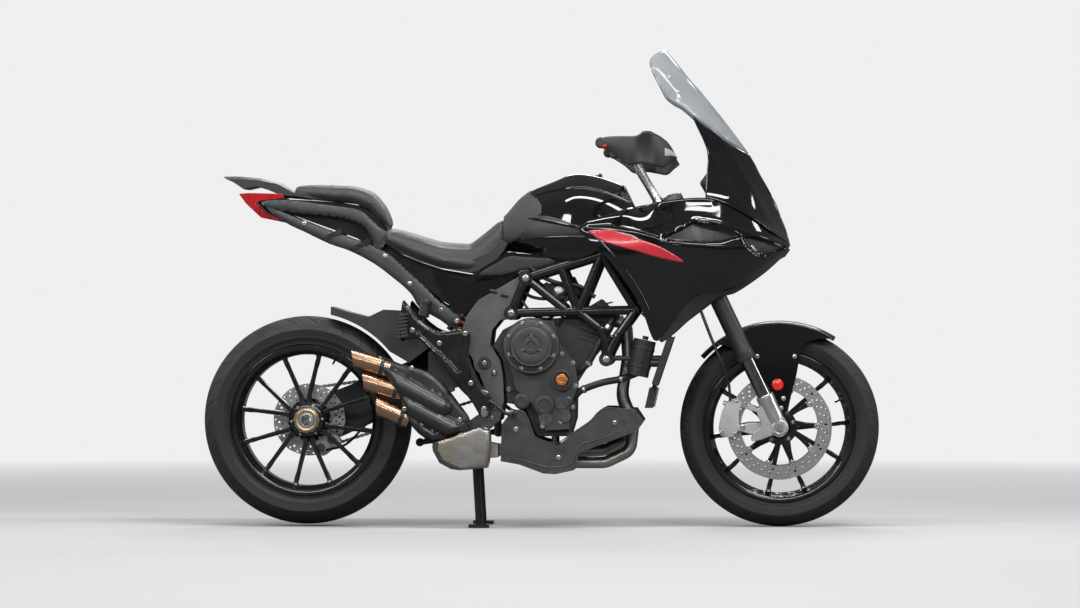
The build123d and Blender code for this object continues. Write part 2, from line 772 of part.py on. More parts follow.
with BuildPart() as exhaust_tips:
    for end, start in tip_lines:
        pipe_end = Vector(end[0], tip_side, end[1])
        pipe_start = Vector(start[0], tip_side, start[1])
        add(rod(pipe_start, pipe_end, tip_radius))
        add(rod(pipe_start + (pipe_end - pipe_start) * 0.1, pipe_end * 1.05 - pipe_start * 0.05,
                tip_radius - tip_wall), mode=Mode.SUBTRACT)
        pipe_line = (pipe_end - pipe_start).normalized()
        with BuildSketch(Plane(origin=pipe_end, z_dir=pipe_line.rotate(Axis.Y, -tip_slash))):
            Rectangle(150, 150)
        extrude(amount=60, mode=Mode.SUBTRACT)
exhaust_tips.part.label = "exhaust_tips"
export_step(exhaust_tips.part, "parts/exhaust_tips.step")

with BuildPart() as silencer:
    add(outline_slab(shield_outline, shield_inner, shield_outer))
    chamfer(silencer.faces().filter_by(Axis.Y).sort_by(Axis.Y)[0].edges(), 9)
    for end, start in tip_lines:
        pipe_line = (Vector(end[0], 0, end[1]) - Vector(start[0], 0, start[1])).normalized()
        pipe_start = Vector(start[0], tip_side, start[1])
        add(rod(pipe_start - pipe_line * rest_gap, pipe_start + pipe_line * 90, tip_radius + rest_gap),
            mode=Mode.SUBTRACT)
    add(outline_slab(muffler_outline, muffler_inner + rest_gap, muffler_outer - rest_gap), mode=Mode.SUBTRACT)
silencer.part.label = "silencer"
export_step(silencer.part, "parts/silencer.step")

# Belly pan
pan_outline = [(-113, 314), (-83, 351), (-49, 357), (-31, 327), (-10, 272), (57, 251), (154, 324), (200, 366),
               (294, 360), (318, 324), (297, 294), (185, 251), (124, 230), (106, 175), (51, 163), (14, 165),
               (-59, 192), (-116, 202)]
pan_hollow = [(-140, 420), (-140, 210), (-57, 200), (16, 172), (52, 170), (99, 182), (117, 236), (181, 260),
              (300, 298), (340, 340), (330, 420)]
pan_half = 166
pan_wall = 8
pan_floor = 167
pan_post_side = 70

with BuildPart() as belly_pan:
    add(outline_slab(pan_outline, pan_half, -pan_half))
    add(outline_slab(pan_hollow, pan_half - pan_wall, -pan_half + pan_wall), mode=Mode.SUBTRACT)
    for route, bends in header_routes:
        add(bent_tube(route, bends, header_radius + moving_gap), mode=Mode.SUBTRACT)
    for side in (pan_post_side, pan_post_side + 40, -pan_post_side - 50):
        add(rod((45, side, pan_floor), (45, side, crankcase_floor - rest_gap), 8))
    add(outline_slab(crankcase_outline, crankcase_half + rest_gap, -crankcase_half - rest_gap), mode=Mode.SUBTRACT)
    add(outline_slab(right_case, 0, -crankcase_half - 30 - rest_gap), mode=Mode.SUBTRACT)
    add(outline_slab(left_case, crankcase_half + 34 + rest_gap, 0), mode=Mode.SUBTRACT)
belly_pan.part.label = "belly_pan"
export_step(belly_pan.part, "parts/belly_pan.step")

# Single-sided swingarm on the left, with the rear hub carrier
arm_pivot = (-166, 500)
arm_end = beside_axle([(-620, 420), (-690, 396), (-700, 262), (-640, 262)], rear_axle, rear_drawn_x)
arm_top = [(-132, 540), (-240, 560), (-420, 500)] + arm_end[:2]
arm_low = arm_end[2:] + [(-420, 360), (-240, 436), (-140, 452)]
arm_inner = 106
arm_outer = 164
carrier_radius = 74
carrier_from = 52

with BuildPart() as swingarm:
    add(outline_slab(arm_top + arm_low, arm_outer, arm_inner))
    with BuildSketch(side_plane(arm_outer)):
        with Locations((rear_axle.X, rear_axle.Z)):
            Circle(carrier_radius)
    extrude(amount=arm_outer - arm_inner)
    with BuildSketch(side_plane(arm_outer)):
        with Locations((rear_axle.X, rear_axle.Z)):
            Circle(carrier_radius - 24)
    extrude(amount=arm_outer - carrier_from)
    add(outline_slab([(-208, 560), (-208, 440), (-300, 410), (-340, 420), (-340, 530), (-300, 560)],
                     arm_inner + 2, -100))
    with BuildSketch(side_plane(arm_outer + 1)):
        with Locations((rear_axle.X, rear_axle.Z)):
            Circle(spindle_radius + running_gap)
    extrude(amount=arm_outer - carrier_from + 2, mode=Mode.SUBTRACT)
    with BuildSketch(side_plane(plate_outer + 1)):
        with Locations(arm_pivot):
            Circle(34 + rest_gap)
    extrude(amount=2 * plate_inner + 2 * plate_thickness + 2, mode=Mode.SUBTRACT)
    add(outline_slab(plate_outline, plate_outer + rest_gap, plate_inner - rest_gap),
        mode=Mode.SUBTRACT)
swingarm.part.label = "swingarm"
export_step(swingarm.part, "parts/swingarm.step")

# Drive chain: one fixed loop round both sprockets
chain_width = 14
chain_depth = 13
front_sprocket = (-60, 470)
front_sprocket_radius = 34
chain_run = 1.2

with BuildPart() as drive_chain:
    with BuildSketch(side_plane(sprocket_middle + chain_width / 2)):
        with Locations((rear_axle.X, rear_axle.Z)):
            Circle(sprocket_radius + chain_run + chain_depth)
        with Locations(front_sprocket):
            Circle(front_sprocket_radius + chain_depth)
        make_hull()
    extrude(amount=chain_width)
    with BuildSketch(side_plane(sprocket_middle + chain_width / 2)):
        with Locations((rear_axle.X, rear_axle.Z)):
            Circle(sprocket_radius + chain_run)
        with Locations(front_sprocket):
            Circle(front_sprocket_radius)
        make_hull()
    extrude(amount=chain_width, mode=Mode.SUBTRACT)
    with BuildSketch(side_plane(sprocket_middle + 3)):
        with Locations(front_sprocket):
            Circle(front_sprocket_radius)
    extrude(amount=6)
    with BuildSketch(side_plane(sprocket_middle + 3)):
        with Locations(front_sprocket):
            Circle(14)
    extrude(amount=sprocket_middle + 3 - crankcase_half - 34)
drive_chain.part.label = "drive_chain"
export_step(drive_chain.part, "parts/drive_chain.step")

# Rear mudguard, shock absorber and rear caliper
hugger_outline = [(-639, 672), (-587, 656), (-525, 640), (-479, 662), (-433, 660), (-396, 617), (-325, 584),
                  (-320, 560), (-400, 500), (-640, 640)]
hugger_inner = rear_radius + 12
hugger_half = 86

with BuildPart() as hugger:
    add(outline_slab(hugger_outline, hugger_half, -hugger_half))
    with BuildSketch(side_plane(hugger_half + 1)):
        with Locations((rear_axle.X, rear_axle.Z)):
            Circle(hugger_inner)
    extrude(amount=2 * hugger_half + 2, mode=Mode.SUBTRACT)
    add(outline_slab([(-400, 560), (-330, 560), (-345, 500), (-410, 496)], arm_outer - 20, hugger_half - 10))
    add(swingarm.part, mode=Mode.SUBTRACT)
hugger.part.label = "hugger"
export_step(hugger.part, "parts/hugger.step")

shock_low = Vector(-268, -20, 571)
shock_high = Vector(-176, -20, 742)
shock_body_radius = 20
spring_radius = 30
spring_wire = 6
spring_turns = 6

with BuildPart() as shock_absorber:
    add(rod(shock_low, shock_high, shock_body_radius))
    shock_line = (shock_high - shock_low)
    for turn in range(spring_turns):
        turn_place = shock_low + shock_line * (0.18 + 0.62 * turn / (spring_turns - 1))
        add(rod(turn_place, turn_place + shock_line.normalized() * spring_wire * 1.6, spring_radius + spring_wire))
shock_absorber.part.label = "shock_absorber"
export_step(shock_absorber.part, "parts/shock_absorber.step")

rear_caliper_centre = polar(rear_axle, 92, -52)

with BuildPart() as rear_caliper:
    with BuildSketch(side_plane(rear_disc_offset + 32)):
        with Locations(Location((rear_caliper_centre[0], rear_caliper_centre[1], 0), -52 + 90)):
            RectangleRounded(78, 50, 12)
    extrude(amount=44)
    with BuildSketch(side_plane(rear_disc_offset + disc_thickness + caliper_gap)):
        with Locations((rear_axle.X, rear_axle.Z)):
            Circle(rear_disc_radius + caliper_gap)
    extrude(amount=disc_thickness + 2 * caliper_gap, mode=Mode.SUBTRACT)
    add(rod((rear_caliper_centre[0] + 10, rear_disc_offset + 20, rear_caliper_centre[1] + 4),
            (rear_caliper_centre[0] + 10, arm_inner - rest_gap, rear_caliper_centre[1] + 4), 12))
rear_caliper.part.label = "rear_caliper"
export_step(rear_caliper.part, "parts/rear_caliper.step")

# Fuel tank, cut back from the steering head along the steering axis
tank_sections = [
    (-112, [(-50, 846), (-72, 872), (-66, 912), (-26, 940)]),
    (-58, [(-88, 840), (-112, 880), (-94, 950), (-38, 1000)]),
    (40, [(-136, 832), (-160, 890), (-132, 985), (-52, 1052)]),
    (110, [(-160, 836), (-186, 896), (-156, 1000), (-62, 1076)]),
    (200, [(-164, 842), (-190, 900), (-150, 995), (-60, 1062)]),
    (345, [(-150, 850), (-168, 895), (-120, 950), (-50, 1000)]),
]
tank_head_gap = 74
fuel_cap_place = (140, 1070)
fuel_cap_radius = 40
fuel_cap_height = 10
fuel_cap_pin_radius = 2.5
fuel_cap_pin_half = 24
cap_hinge_x = fuel_cap_place[0] + fuel_cap_radius + 2
cap_hinge_z = fuel_cap_place[1] + 4

with BuildPart() as fuel_tank:
    add(lofted_body(tank_sections))
    with BuildSketch(Plane(origin=steer_foot + fork_up * 600 + fork_back * tank_head_gap,
                           x_dir=(0, 1, 0), z_dir=-fork_back)):
        Rectangle(600, 1200)
    extrude(amount=300, mode=Mode.SUBTRACT)
    with BuildSketch(Plane.XY.offset(fuel_cap_place[1] - 6)):
        with Locations((fuel_cap_place[0], 0)):
            Circle(fuel_cap_radius + 4)
    extrude(amount=30, mode=Mode.SUBTRACT)
    for side in (-1, 1):
        add(rod((191, side * frame_half_width, 831), (head_high.X, side * head_width, head_high.Z),
                frame_tube_radius + 3), mode=Mode.SUBTRACT)
        with Locations((191, side * frame_half_width, 831)):
            Sphere(frame_tube_radius + 5, mode=Mode.SUBTRACT)
    for side in (-1, 1):
        with Locations((cap_hinge_x, side * 20, cap_hinge_z - 4)):
            Box(10, 8, 20)
    add(rod((cap_hinge_x, -fuel_cap_pin_half, cap_hinge_z), (cap_hinge_x, fuel_cap_pin_half, cap_hinge_z),
            fuel_cap_pin_radius))
fuel_tank.part.label = "fuel_tank"
export_step(fuel_tank.part, "parts/fuel_tank.step")

# The filler's lid turns about a pin at its front edge
with BuildPart() as fuel_cap:
    with BuildSketch(Plane.XY.offset(fuel_cap_place[1] - 6 + rest_gap)):
        with Locations((fuel_cap_place[0], 0)):
            Circle(fuel_cap_radius - 4)
    extrude(amount=fuel_cap_height)
    with Locations((cap_hinge_x - 8, 0, cap_hinge_z - 2)):
        Box(16, 24, 4)
    add(rod((cap_hinge_x, -15, cap_hinge_z), (cap_hinge_x, 15, cap_hinge_z), fuel_cap_pin_radius * 2))
    add(rod((cap_hinge_x, -16, cap_hinge_z), (cap_hinge_x, 16, cap_hinge_z), fuel_cap_pin_radius + running_gap),
        mode=Mode.SUBTRACT)
fuel_cap.part.label = "fuel_cap"
export_step(fuel_cap.part, "parts/fuel_cap.step")

# Seats
rider_sections = [
    (-470, [(-120, 862), (-140, 878), (-132, 900), (-60, 912)]),
    (-400, [(-134, 828), (-150, 850), (-140, 880), (-60, 895)]),
    (-300, [(-136, 792), (-152, 815), (-138, 852), (-60, 868)]),
    (-210, [(-116, 776), (-132, 800), (-116, 845), (-50, 860)]),
    (-150, [(-90, 790), (-110, 820), (-98, 882), (-44, 906)]),
    (-112, [(-72, 846), (-86, 872), (-80, 915), (-36, 942)]),
]
pillion_sections = [
    (-752, [(-70, 1006), (-88, 1018), (-80, 1034), (-40, 1041)]),
    (-680, [(-92, 998), (-112, 1012), (-102, 1034), (-50, 1045)]),
    (-570, [(-110, 988), (-130, 1004), (-118, 1030), (-60, 1042)]),
    (-515, [(-116, 966), (-134, 984), (-124, 1010), (-60, 1026)]),
    (-476, [(-110, 925), (-126, 940), (-118, 964), (-56, 978)]),
    (-458, [(-100, 914), (-114, 920), (-106, 930), (-50, 935)]),
]

with BuildPart() as rider_seat:
    add(lofted_body(rider_sections))
    add(fuel_tank.part, mode=Mode.SUBTRACT)
rider_seat.part.label = "rider_seat"
export_step(rider_seat.part, "parts/rider_seat.step")

with BuildPart() as passenger_seat:
    add(lofted_body(pillion_sections))
passenger_seat.part.label = "passenger_seat"
export_step(passenger_seat.part, "parts/passenger_seat.step")

# Rear subframe, tail rails, tail light and side panels
core_outline = [(-30, 820), (-60, 760), (-215, 640), (-300, 690), (-420, 790), (-560, 880), (-700, 930),
                (-850, 985), (-850, 1004), (-700, 996), (-610, 990), (-548, 980), (-503, 956), (-470, 905),
                (-476, 866), (-424, 830), (-364, 806), (-303, 786), (-211, 770), (-150, 784), (-112, 838),
                (-80, 838)]
core_half = 58
upper_rail_outline = [(-462, 890), (-493, 917), (-532, 954), (-563, 969), (-670, 984), (-777, 997), (-847, 991),
                      (-822, 970), (-737, 957), (-639, 948), (-578, 935), (-532, 914), (-517, 890), (-490, 836)]
lower_rail_outline = [(-242, 643), (-303, 685), (-349, 731), (-395, 774), (-426, 804), (-456, 829), (-499, 853),
                      (-578, 881), (-670, 914), (-756, 948), (-846, 984), (-777, 929), (-716, 899), (-639, 862),
                      (-578, 841), (-502, 801), (-426, 743), (-389, 707), (-364, 667), (-303, 631), (-267, 609)]
rail_inner = 88
rail_outer = 124
spoiler_outline = [(-975, 1071), (-920, 1071), (-858, 1065), (-797, 1050), (-736, 1013), (-700, 998), (-780, 1004),
                   (-834, 1028), (-871, 1040), (-911, 1030)]
spoiler_half = 84
light_outline = [(-920, 1016), (-889, 1019), (-788, 1016), (-782, 1002), (-852, 995), (-869, 986), (-828, 952),
                 (-788, 938), (-788, 930), (-852, 943), (-898, 986)]
light_half = 96

with BuildPart() as subframe:
    add(outline_slab(core_outline, core_half, -core_half))
    add(rider_seat.part, mode=Mode.SUBTRACT)
    add(passenger_seat.part, mode=Mode.SUBTRACT)
    add(fuel_tank.part, mode=Mode.SUBTRACT)
    with BuildSketch(side_plane(120)):
        with Locations((rear_axle.X, rear_axle.Z)):
            Circle(rear_radius + 60)
    extrude(amount=240, mode=Mode.SUBTRACT)
    add(shock_absorber.part, mode=Mode.SUBTRACT)
subframe.part.label = "subframe"
export_step(subframe.part, "parts/subframe.step")

with BuildPart() as tail_rails:
    add(outline_slab(lower_rail_outline, rail_outer, rail_inner))
    add(outline_slab(upper_rail_outline, rail_outer, rail_inner))
    for cross in ((-830, 984), (-470, 838), (-290, 660)):
        add(rod((cross[0], core_half + rest_gap, cross[1]), (cross[0], rail_inner, cross[1]), 7))
    mirror(about=Plane.XZ)
    add(rider_seat.part, mode=Mode.SUBTRACT)
    add(passenger_seat.part, mode=Mode.SUBTRACT)
tail_rails.part.label = "tail_rails"
export_step(tail_rails.part, "parts/tail_rails.step")

with BuildPart() as grab_rail:
    add(outline_slab(spoiler_outline, spoiler_half, -spoiler_half))
    add(subframe.part, mode=Mode.SUBTRACT)
    add(passenger_seat.part, mode=Mode.SUBTRACT)
grab_rail.part.label = "grab_rail"
export_step(grab_rail.part, "parts/grab_rail.step")

with BuildPart() as tail_light:
    add(outline_slab(light_outline, light_half, -light_half))
    add(subframe.part, mode=Mode.SUBTRACT)
    add(tail_rails.part, mode=Mode.SUBTRACT)
    add(grab_rail.part, mode=Mode.SUBTRACT)
tail_light.part.label = "tail_light"
export_step(tail_light.part, "parts/tail_light.step")

panel_outline = [(-328, 777), (-210, 745), (-150, 752), (-60, 772), (-100, 744), (-186, 694), (-222, 650),
                 (-242, 647), (-267, 660)]
under_tank_outline = [(-208, 757), (-179, 786), (-105, 830), (-88, 835), (52, 826), (64, 801), (3, 780),
                      (-43, 776), (-119, 757)]

with BuildPart() as side_panels:
    add(outline_slab(panel_outline, 126, 116))
    add(outline_slab(under_tank_outline, plate_outer, 122))
    add(rod((-230, core_half + rest_gap, 720), (-230, 117, 720), 8))
    add(rod((-100, core_half + rest_gap, 796), (-100, 124, 796), 8))
    mirror(about=Plane.XZ)
    add(rider_seat.part, mode=Mode.SUBTRACT)
    add(fuel_tank.part, mode=Mode.SUBTRACT)
    add(side_plates.part, mode=Mode.SUBTRACT)
    add(tail_rails.part, mode=Mode.SUBTRACT)
    for side in (-1, 1):
        with BuildSketch(side_plane(side * frame_half_width + frame_tube_radius + 2)):
            with Locations(joint_rear_top):
                Circle(boss_radius + rest_gap)
        extrude(amount=2 * frame_tube_radius + 4, mode=Mode.SUBTRACT)
side_panels.part.label = "side_panels"
export_step(side_panels.part, "parts/side_panels.step")

# Fairing: one outer form, hollow inside, cut into the nose, the sides and the headlamp
fairing_wall = 12
fairing_sections = [
    (100, [(-190, 780), (-222, 860), (-218, 905), (-200, 935), (-150, 955)]),
    (250, [(-188, 640), (-238, 800), (-238, 880), (-212, 940), (-160, 985)]),
    (340, [(-180, 540), (-238, 800), (-240, 885), (-206, 950), (-150, 1000)]),
    (450, [(-172, 560), (-236, 800), (-236, 885), (-190, 1010), (-164, 1262)]),
    (560, [(-150, 660), (-215, 800), (-214, 885), (-168, 1010), (-112, 1196)]),
    (640, [(-116, 720), (-172, 810), (-174, 875), (-128, 1000), (-62, 1134)]),
    (705, [(-84, 785), (-120, 830), (-124, 872), (-84, 930), (-36, 1008)]),
    (764, [(-22, 834), (-34, 846), (-36, 856), (-30, 862), (-16, 868)]),
]
side_outline = [(118, 905), (187, 842), (248, 767), (308, 673), (338, 586), (353, 567), (384, 586), (444, 676),
                (489, 709), (549, 718), (610, 736), (682, 797), (748, 842), (700, 863), (625, 894), (549, 921),
                (505, 934), (505, 1002), (440, 1000), (350, 988), (230, 962), (150, 932)]
nose_outline = [(766, 840), (748, 842), (700, 863), (625, 894), (549, 921), (505, 934), (505, 1002), (510, 1085),
                (513, 1139), (489, 1203), (467, 1250), (503, 1232), (549, 1192), (640, 1136), (720, 1040), (766, 880)]
chin_outline = [(682, 797), (732, 815), (766, 840), (748, 842)]
lamp_outline = [(698, 1010), (770, 880), (770, 840), (720, 852), (668, 884), (654, 920), (676, 985)]
dash_outline = [(485, 1048), (512, 1081), (537, 1081), (579, 996), (515, 996)]
dash_half = 80


def inset_sections(sections, wall):
    """The same sections with every point moved in towards the middle by a wall."""
    return [(x, [(min(y + wall, -4), z - wall * 0.6 if place == len(half) - 1 else z)
                 for place, (y, z) in enumerate(half)]) for x, half in sections]


with BuildPart() as fairing_form:
    add(lofted_body(fairing_sections))

with BuildPart() as fairing_hollow:
    add(lofted_body(inset_sections(fairing_sections, fairing_wall)))

with BuildPart() as headlamp:
    add(fairing_form.part)
    add(outline_slab(lamp_outline, 200, -200), mode=Mode.INTERSECT)
headlamp.part.label = "headlamp"
export_step(headlamp.part, "parts/headlamp.step")

with BuildPart() as nose_fairing:
    add(outline_slab(nose_outline, 300, -300))
    add(outline_slab(chin_outline, 300, -300))
    add(fairing_form.part, mode=Mode.INTERSECT)
    add(fairing_hollow.part, mode=Mode.SUBTRACT)
    add(headlamp.part, mode=Mode.SUBTRACT)
nose_fairing.part.label = "nose_fairing"
export_step(nose_fairing.part, "parts/nose_fairing.step")

with BuildPart() as side_fairings:
    add(fairing_form.part)
    add(fairing_hollow.part, mode=Mode.SUBTRACT)
    add(outline_slab(side_outline, 300, -300), mode=Mode.INTERSECT)
    add(nose_fairing.part, mode=Mode.SUBTRACT)
    add(headlamp.part, mode=Mode.SUBTRACT)
side_fairings.part.label = "side_fairings"
export_step(side_fairings.part, "parts/side_fairings.step")

with BuildPart() as dashboard:
    add(outline_slab(dash_outline, dash_half, -dash_half))
dashboard.part.label = "dashboard"
export_step(dashboard.part, "parts/dashboard.step")

# Windscreen: a curved sheet, the same across its whole height
screen_foot = Vector(640, 0, 1136)
screen_head = Vector(386, 0, 1454)
screen_half = 160
screen_bow = 66
screen_wall = 4
screen_outline = [(648, 1128), (600, 1146), (467, 1249), (431, 1289), (395, 1297), (352, 1374), (331, 1419),
                  (352, 1440), (386, 1456), (420, 1440)]
screen_line = (screen_head - screen_foot).normalized()

with BuildPart() as screen_sheet:
    with BuildSketch(Plane(origin=screen_foot - screen_line * 80, x_dir=(0, 1, 0), z_dir=screen_line)):
        with BuildLine():
            ThreePointArc((-screen_half, screen_bow), (0, 0), (screen_half, screen_bow))
            Line((screen_half, screen_bow), (screen_half - screen_wall, screen_bow + screen_wall))
            ThreePointArc((screen_half - screen_wall, screen_bow + screen_wall), (0, screen_wall),
                          (-screen_half + screen_wall, screen_bow + screen_wall))
            Line((-screen_half + screen_wall, screen_bow + screen_wall), (-screen_half, screen_bow))
        make_face()
    extrude(amount=600)
    add(outline_slab(screen_outline, 300, -300), mode=Mode.INTERSECT)
    add(nose_fairing.part, mode=Mode.SUBTRACT)

with BuildPart() as windscreen:
    add(screen_sheet.part.solids().sort_by(SortBy.VOLUME)[-1])
windscreen.part.label = "windscreen"
export_step(windscreen.part, "parts/windscreen.step")

# Footrests, their brackets and the two pedals
bracket_outline = [(-413, 682), (-392, 676), (-361, 631), (-300, 594), (-240, 602), (-206, 592), (-212, 520),
                   (-167, 424), (-146, 412), (-144, 340), (-174, 334), (-196, 373), (-240, 433), (-300, 509),
                   (-361, 574), (-422, 570)]
rest_inner = 190
rest_thickness = 11
rest_end = 292
folded_peg = [(-437, 652), (-416, 657), (-396, 600), (-398, 576), (-416, 562), (-428, 601)]
folded_peg_end = 256

with BuildPart() as footrests:
    add(outline_slab(bracket_outline, rest_inner + rest_thickness, rest_inner))
    add(outline_slab(folded_peg, folded_peg_end, rest_inner))
    add(rod((-159, rest_inner, 350), (-159, rest_end, 350), 13))
    add(rod((-146, plate_outer, 368), (-158, rest_inner + 2, 368), 9))
    add(rod((-222, plate_outer, 590), (-222, rest_inner + 2, 590), 9))
    add(rod((-150, rest_inner + 5, 386), (-72, rest_inner + 20, 344), 6))
    add(rod((-72, rest_inner + 14, 344), (-72, rest_inner + 64, 344), 9))
    mirror(about=Plane.XZ)
    add(side_plates.part, mode=Mode.SUBTRACT)
footrests.part.label = "footrests"
export_step(footrests.part, "parts/footrests.step")

# Centre stand: two legs on pivot pins, a cross tube and two feet
stand_foot_x = stand_pivot[0] + 17
foot_length = 62
foot_thickness = 10
foot_from = 104
foot_to = 166
stand_brace = 85

with BuildPart() as centre_stand:
    add(rod((stand_pivot[0], stand_half_width, stand_pivot[1]), (stand_foot_x, stand_half_width, foot_thickness / 2),
            stand_tube_radius))
    with Locations((stand_foot_x, (foot_from + foot_to) / 2, foot_thickness / 2)):
        Box(foot_length, foot_to - foot_from, foot_thickness)
    add(rod((stand_pivot[0], stand_half_width - 10, stand_pivot[1]),
            (stand_pivot[0], stand_lug_inner - 1.5, stand_pivot[1]), stand_pivot_radius * 2))
    add(rod((stand_pivot[0] + 5, 0, stand_pivot[1] - stand_brace),
            (stand_pivot[0] + 5, stand_half_width, stand_pivot[1] - stand_brace), stand_tube_radius - 1))
    mirror(about=Plane.XZ)
    add(rod((stand_pivot[0], -stand_lug_inner, stand_pivot[1]), (stand_pivot[0], stand_lug_inner, stand_pivot[1]),
            stand_pivot_radius + running_gap), mode=Mode.SUBTRACT)
    with BuildSketch():
        Rectangle(2000, 600)
    extrude(amount=-60, mode=Mode.SUBTRACT)
centre_stand.part.label = "centre_stand"
export_step(centre_stand.part, "parts/centre_stand.step")

side_leg = Vector(-245, 4, -35)
side_foot_reach = 22

with BuildPart() as side_stand:
    add(rod(side_pivot + side_leg * 0.04, side_pivot + side_leg, side_stand_radius))
    add(rod(side_pivot + side_axis * 8, side_pivot - side_axis * 8, side_pin_radius + 10))
    add(rod(side_pivot + side_leg, side_pivot + side_leg + Vector(0, side_foot_reach, 0), side_stand_radius + 4))
    add(rod(side_pivot + side_axis * 12, side_pivot - side_axis * 12, side_pin_radius + running_gap),
        mode=Mode.SUBTRACT)
side_stand.part.label = "side_stand"
export_step(side_stand.part, "parts/side_stand.step")
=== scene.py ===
import bpy
import bmesh
import math
from mathutils import Matrix, Vector
from mathutils.bvhtree import BVHTree


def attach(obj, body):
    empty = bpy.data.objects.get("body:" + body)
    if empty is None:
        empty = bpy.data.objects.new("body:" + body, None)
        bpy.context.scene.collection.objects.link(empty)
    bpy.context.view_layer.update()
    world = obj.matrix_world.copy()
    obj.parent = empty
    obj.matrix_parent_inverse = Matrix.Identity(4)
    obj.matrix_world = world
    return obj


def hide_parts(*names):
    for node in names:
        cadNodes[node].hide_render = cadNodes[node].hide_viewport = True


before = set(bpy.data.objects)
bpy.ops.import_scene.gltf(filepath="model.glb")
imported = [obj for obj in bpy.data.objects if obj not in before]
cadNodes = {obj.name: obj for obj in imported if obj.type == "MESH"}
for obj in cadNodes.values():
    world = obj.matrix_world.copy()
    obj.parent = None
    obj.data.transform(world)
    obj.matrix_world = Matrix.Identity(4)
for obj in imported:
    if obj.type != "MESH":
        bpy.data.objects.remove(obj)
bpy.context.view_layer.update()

print("frame loaded:", len(cadNodes), "nodes")


# the camera, set to the photograph's view

cameraSet = {
    "place": (0.600, -15.0, 0.650),
    "aim": (-0.003, 0.0, 0.6795),
    "lens": 163.2,
}


def aimAt(item, place, aim):
    # puts a camera or a lamp in its place and turns it to its aim
    item.location = place
    item.rotation_euler = (Vector(aim) - item.location).to_track_quat("-Z", "Y").to_euler()


cameraData = bpy.data.cameras.new("camera")
cameraData.lens = cameraSet["lens"]
cameraData.sensor_width = 36
cameraData.clip_end = 200
camera = bpy.data.objects.new("camera", cameraData)
bpy.context.scene.collection.objects.link(camera)
aimAt(camera, cameraSet["place"], cameraSet["aim"])
bpy.context.scene.camera = camera
bpy.context.scene.view_settings.view_transform = "Standard"
print("camera placed")


# helpers for meshes, all in millimetres


def newForm():
    return {"points": [], "faces": []}


def addTo(form, points, faces):
    base = len(form["points"])
    form["points"].extend(Vector(p) for p in points)
    form["faces"].extend(tuple(base + i for i in face) for face in faces)


def addSlab(form, outline, yFrom, yTo):
    # a plate with this side view; the caps stay single faces, so bevels run clean
    count = len(outline)
    points = [(x, yFrom, z) for x, z in outline] + [(x, yTo, z) for x, z in outline]
    area = sum(outline[i][0] * outline[(i + 1) % count][1] - outline[(i + 1) % count][0] * outline[i][1]
               for i in range(count))
    sides = [(i, (i + 1) % count, count + (i + 1) % count, count + i) for i in range(count)]
    caps = [tuple(range(count))[::-1], tuple(range(count, 2 * count))]
    if (area > 0) == (yTo > yFrom):
        faces = sides + caps
    else:
        faces = [face[::-1] for face in sides + caps]
    addTo(form, points, faces)


def addSkin(form, loops, closed=True, ends=True):
    # quads between loops that all have the same number of points
    size = len(loops[0])
    points = [p for loop in loops for p in loop]
    faces = []
    for row in range(len(loops) - 1):
        for i in range(size if closed else size - 1):
            j = (i + 1) % size
            faces.append((row * size + i, row * size + j, (row + 1) * size + j, (row + 1) * size + i))
    if ends:
        faces.append(tuple(range(size))[::-1])
        faces.append(tuple((len(loops) - 1) * size + i for i in range(size)))
    addTo(form, points, faces)


def crossFrame(direction):
    # two directions square to a line and to each other
    direction = Vector(direction).normalized()
    aside = Vector((0, 1, 0)) if abs(direction.y) < 0.9 else Vector((1, 0, 0))
    first = direction.cross(aside).normalized()
    return first, direction.cross(first).normalized()


def addLathe(form, profile, centre, axis=(0, 1, 0), steps=48, closed=False):
    # profile: (radius, distance along the axis) pairs
    centre = Vector(centre)
    axis = Vector(axis).normalized()
    first, second = crossFrame(axis)
    loops = []
    for k in range(steps):
        turn = 2 * math.pi * k / steps
        out = first * math.cos(turn) + second * math.sin(turn)
        loops.append([centre + out * r + axis * a for r, a in profile])
    addSkin(form, loops + [loops[0]], closed=closed, ends=False)


def addRod(form, start, end, radius, sides=20, endRadius=None):
    start, end = Vector(start), Vector(end)
    endRadius = radius if endRadius is None else endRadius
    first, second = crossFrame(end - start)
    loops = []
    for place, r in ((start, radius), (end, endRadius)):
        loops.append([place + (first * math.cos(2 * math.pi * k / sides)
                               + second * math.sin(2 * math.pi * k / sides)) * r
                      for k in range(sides)])
    addSkin(form, loops)


def smoothRoute(route, steps=8, closed=False):
    # a Catmull-Rom line through the route's points
    pts = [Vector(p) for p in route]
    count = len(pts)
    line = []
    for i in range(count if closed else count - 1):
        if closed:
            a, b, c, d = pts[i - 1], pts[i], pts[(i + 1) % count], pts[(i + 2) % count]
        else:
            b, c = pts[i], pts[i + 1]
            a = pts[i - 1] if i else b * 2 - c
            d = pts[i + 2] if i + 2 < count else c * 2 - b
        for k in range(steps):
            t = k / steps
            line.append(0.5 * (2 * b + (c - a) * t + (2 * a - 5 * b + 4 * c - d) * t * t
                               + (3 * b - a - 3 * c + d) * t * t * t))
    if not closed:
        line.append(pts[-1])
    return line


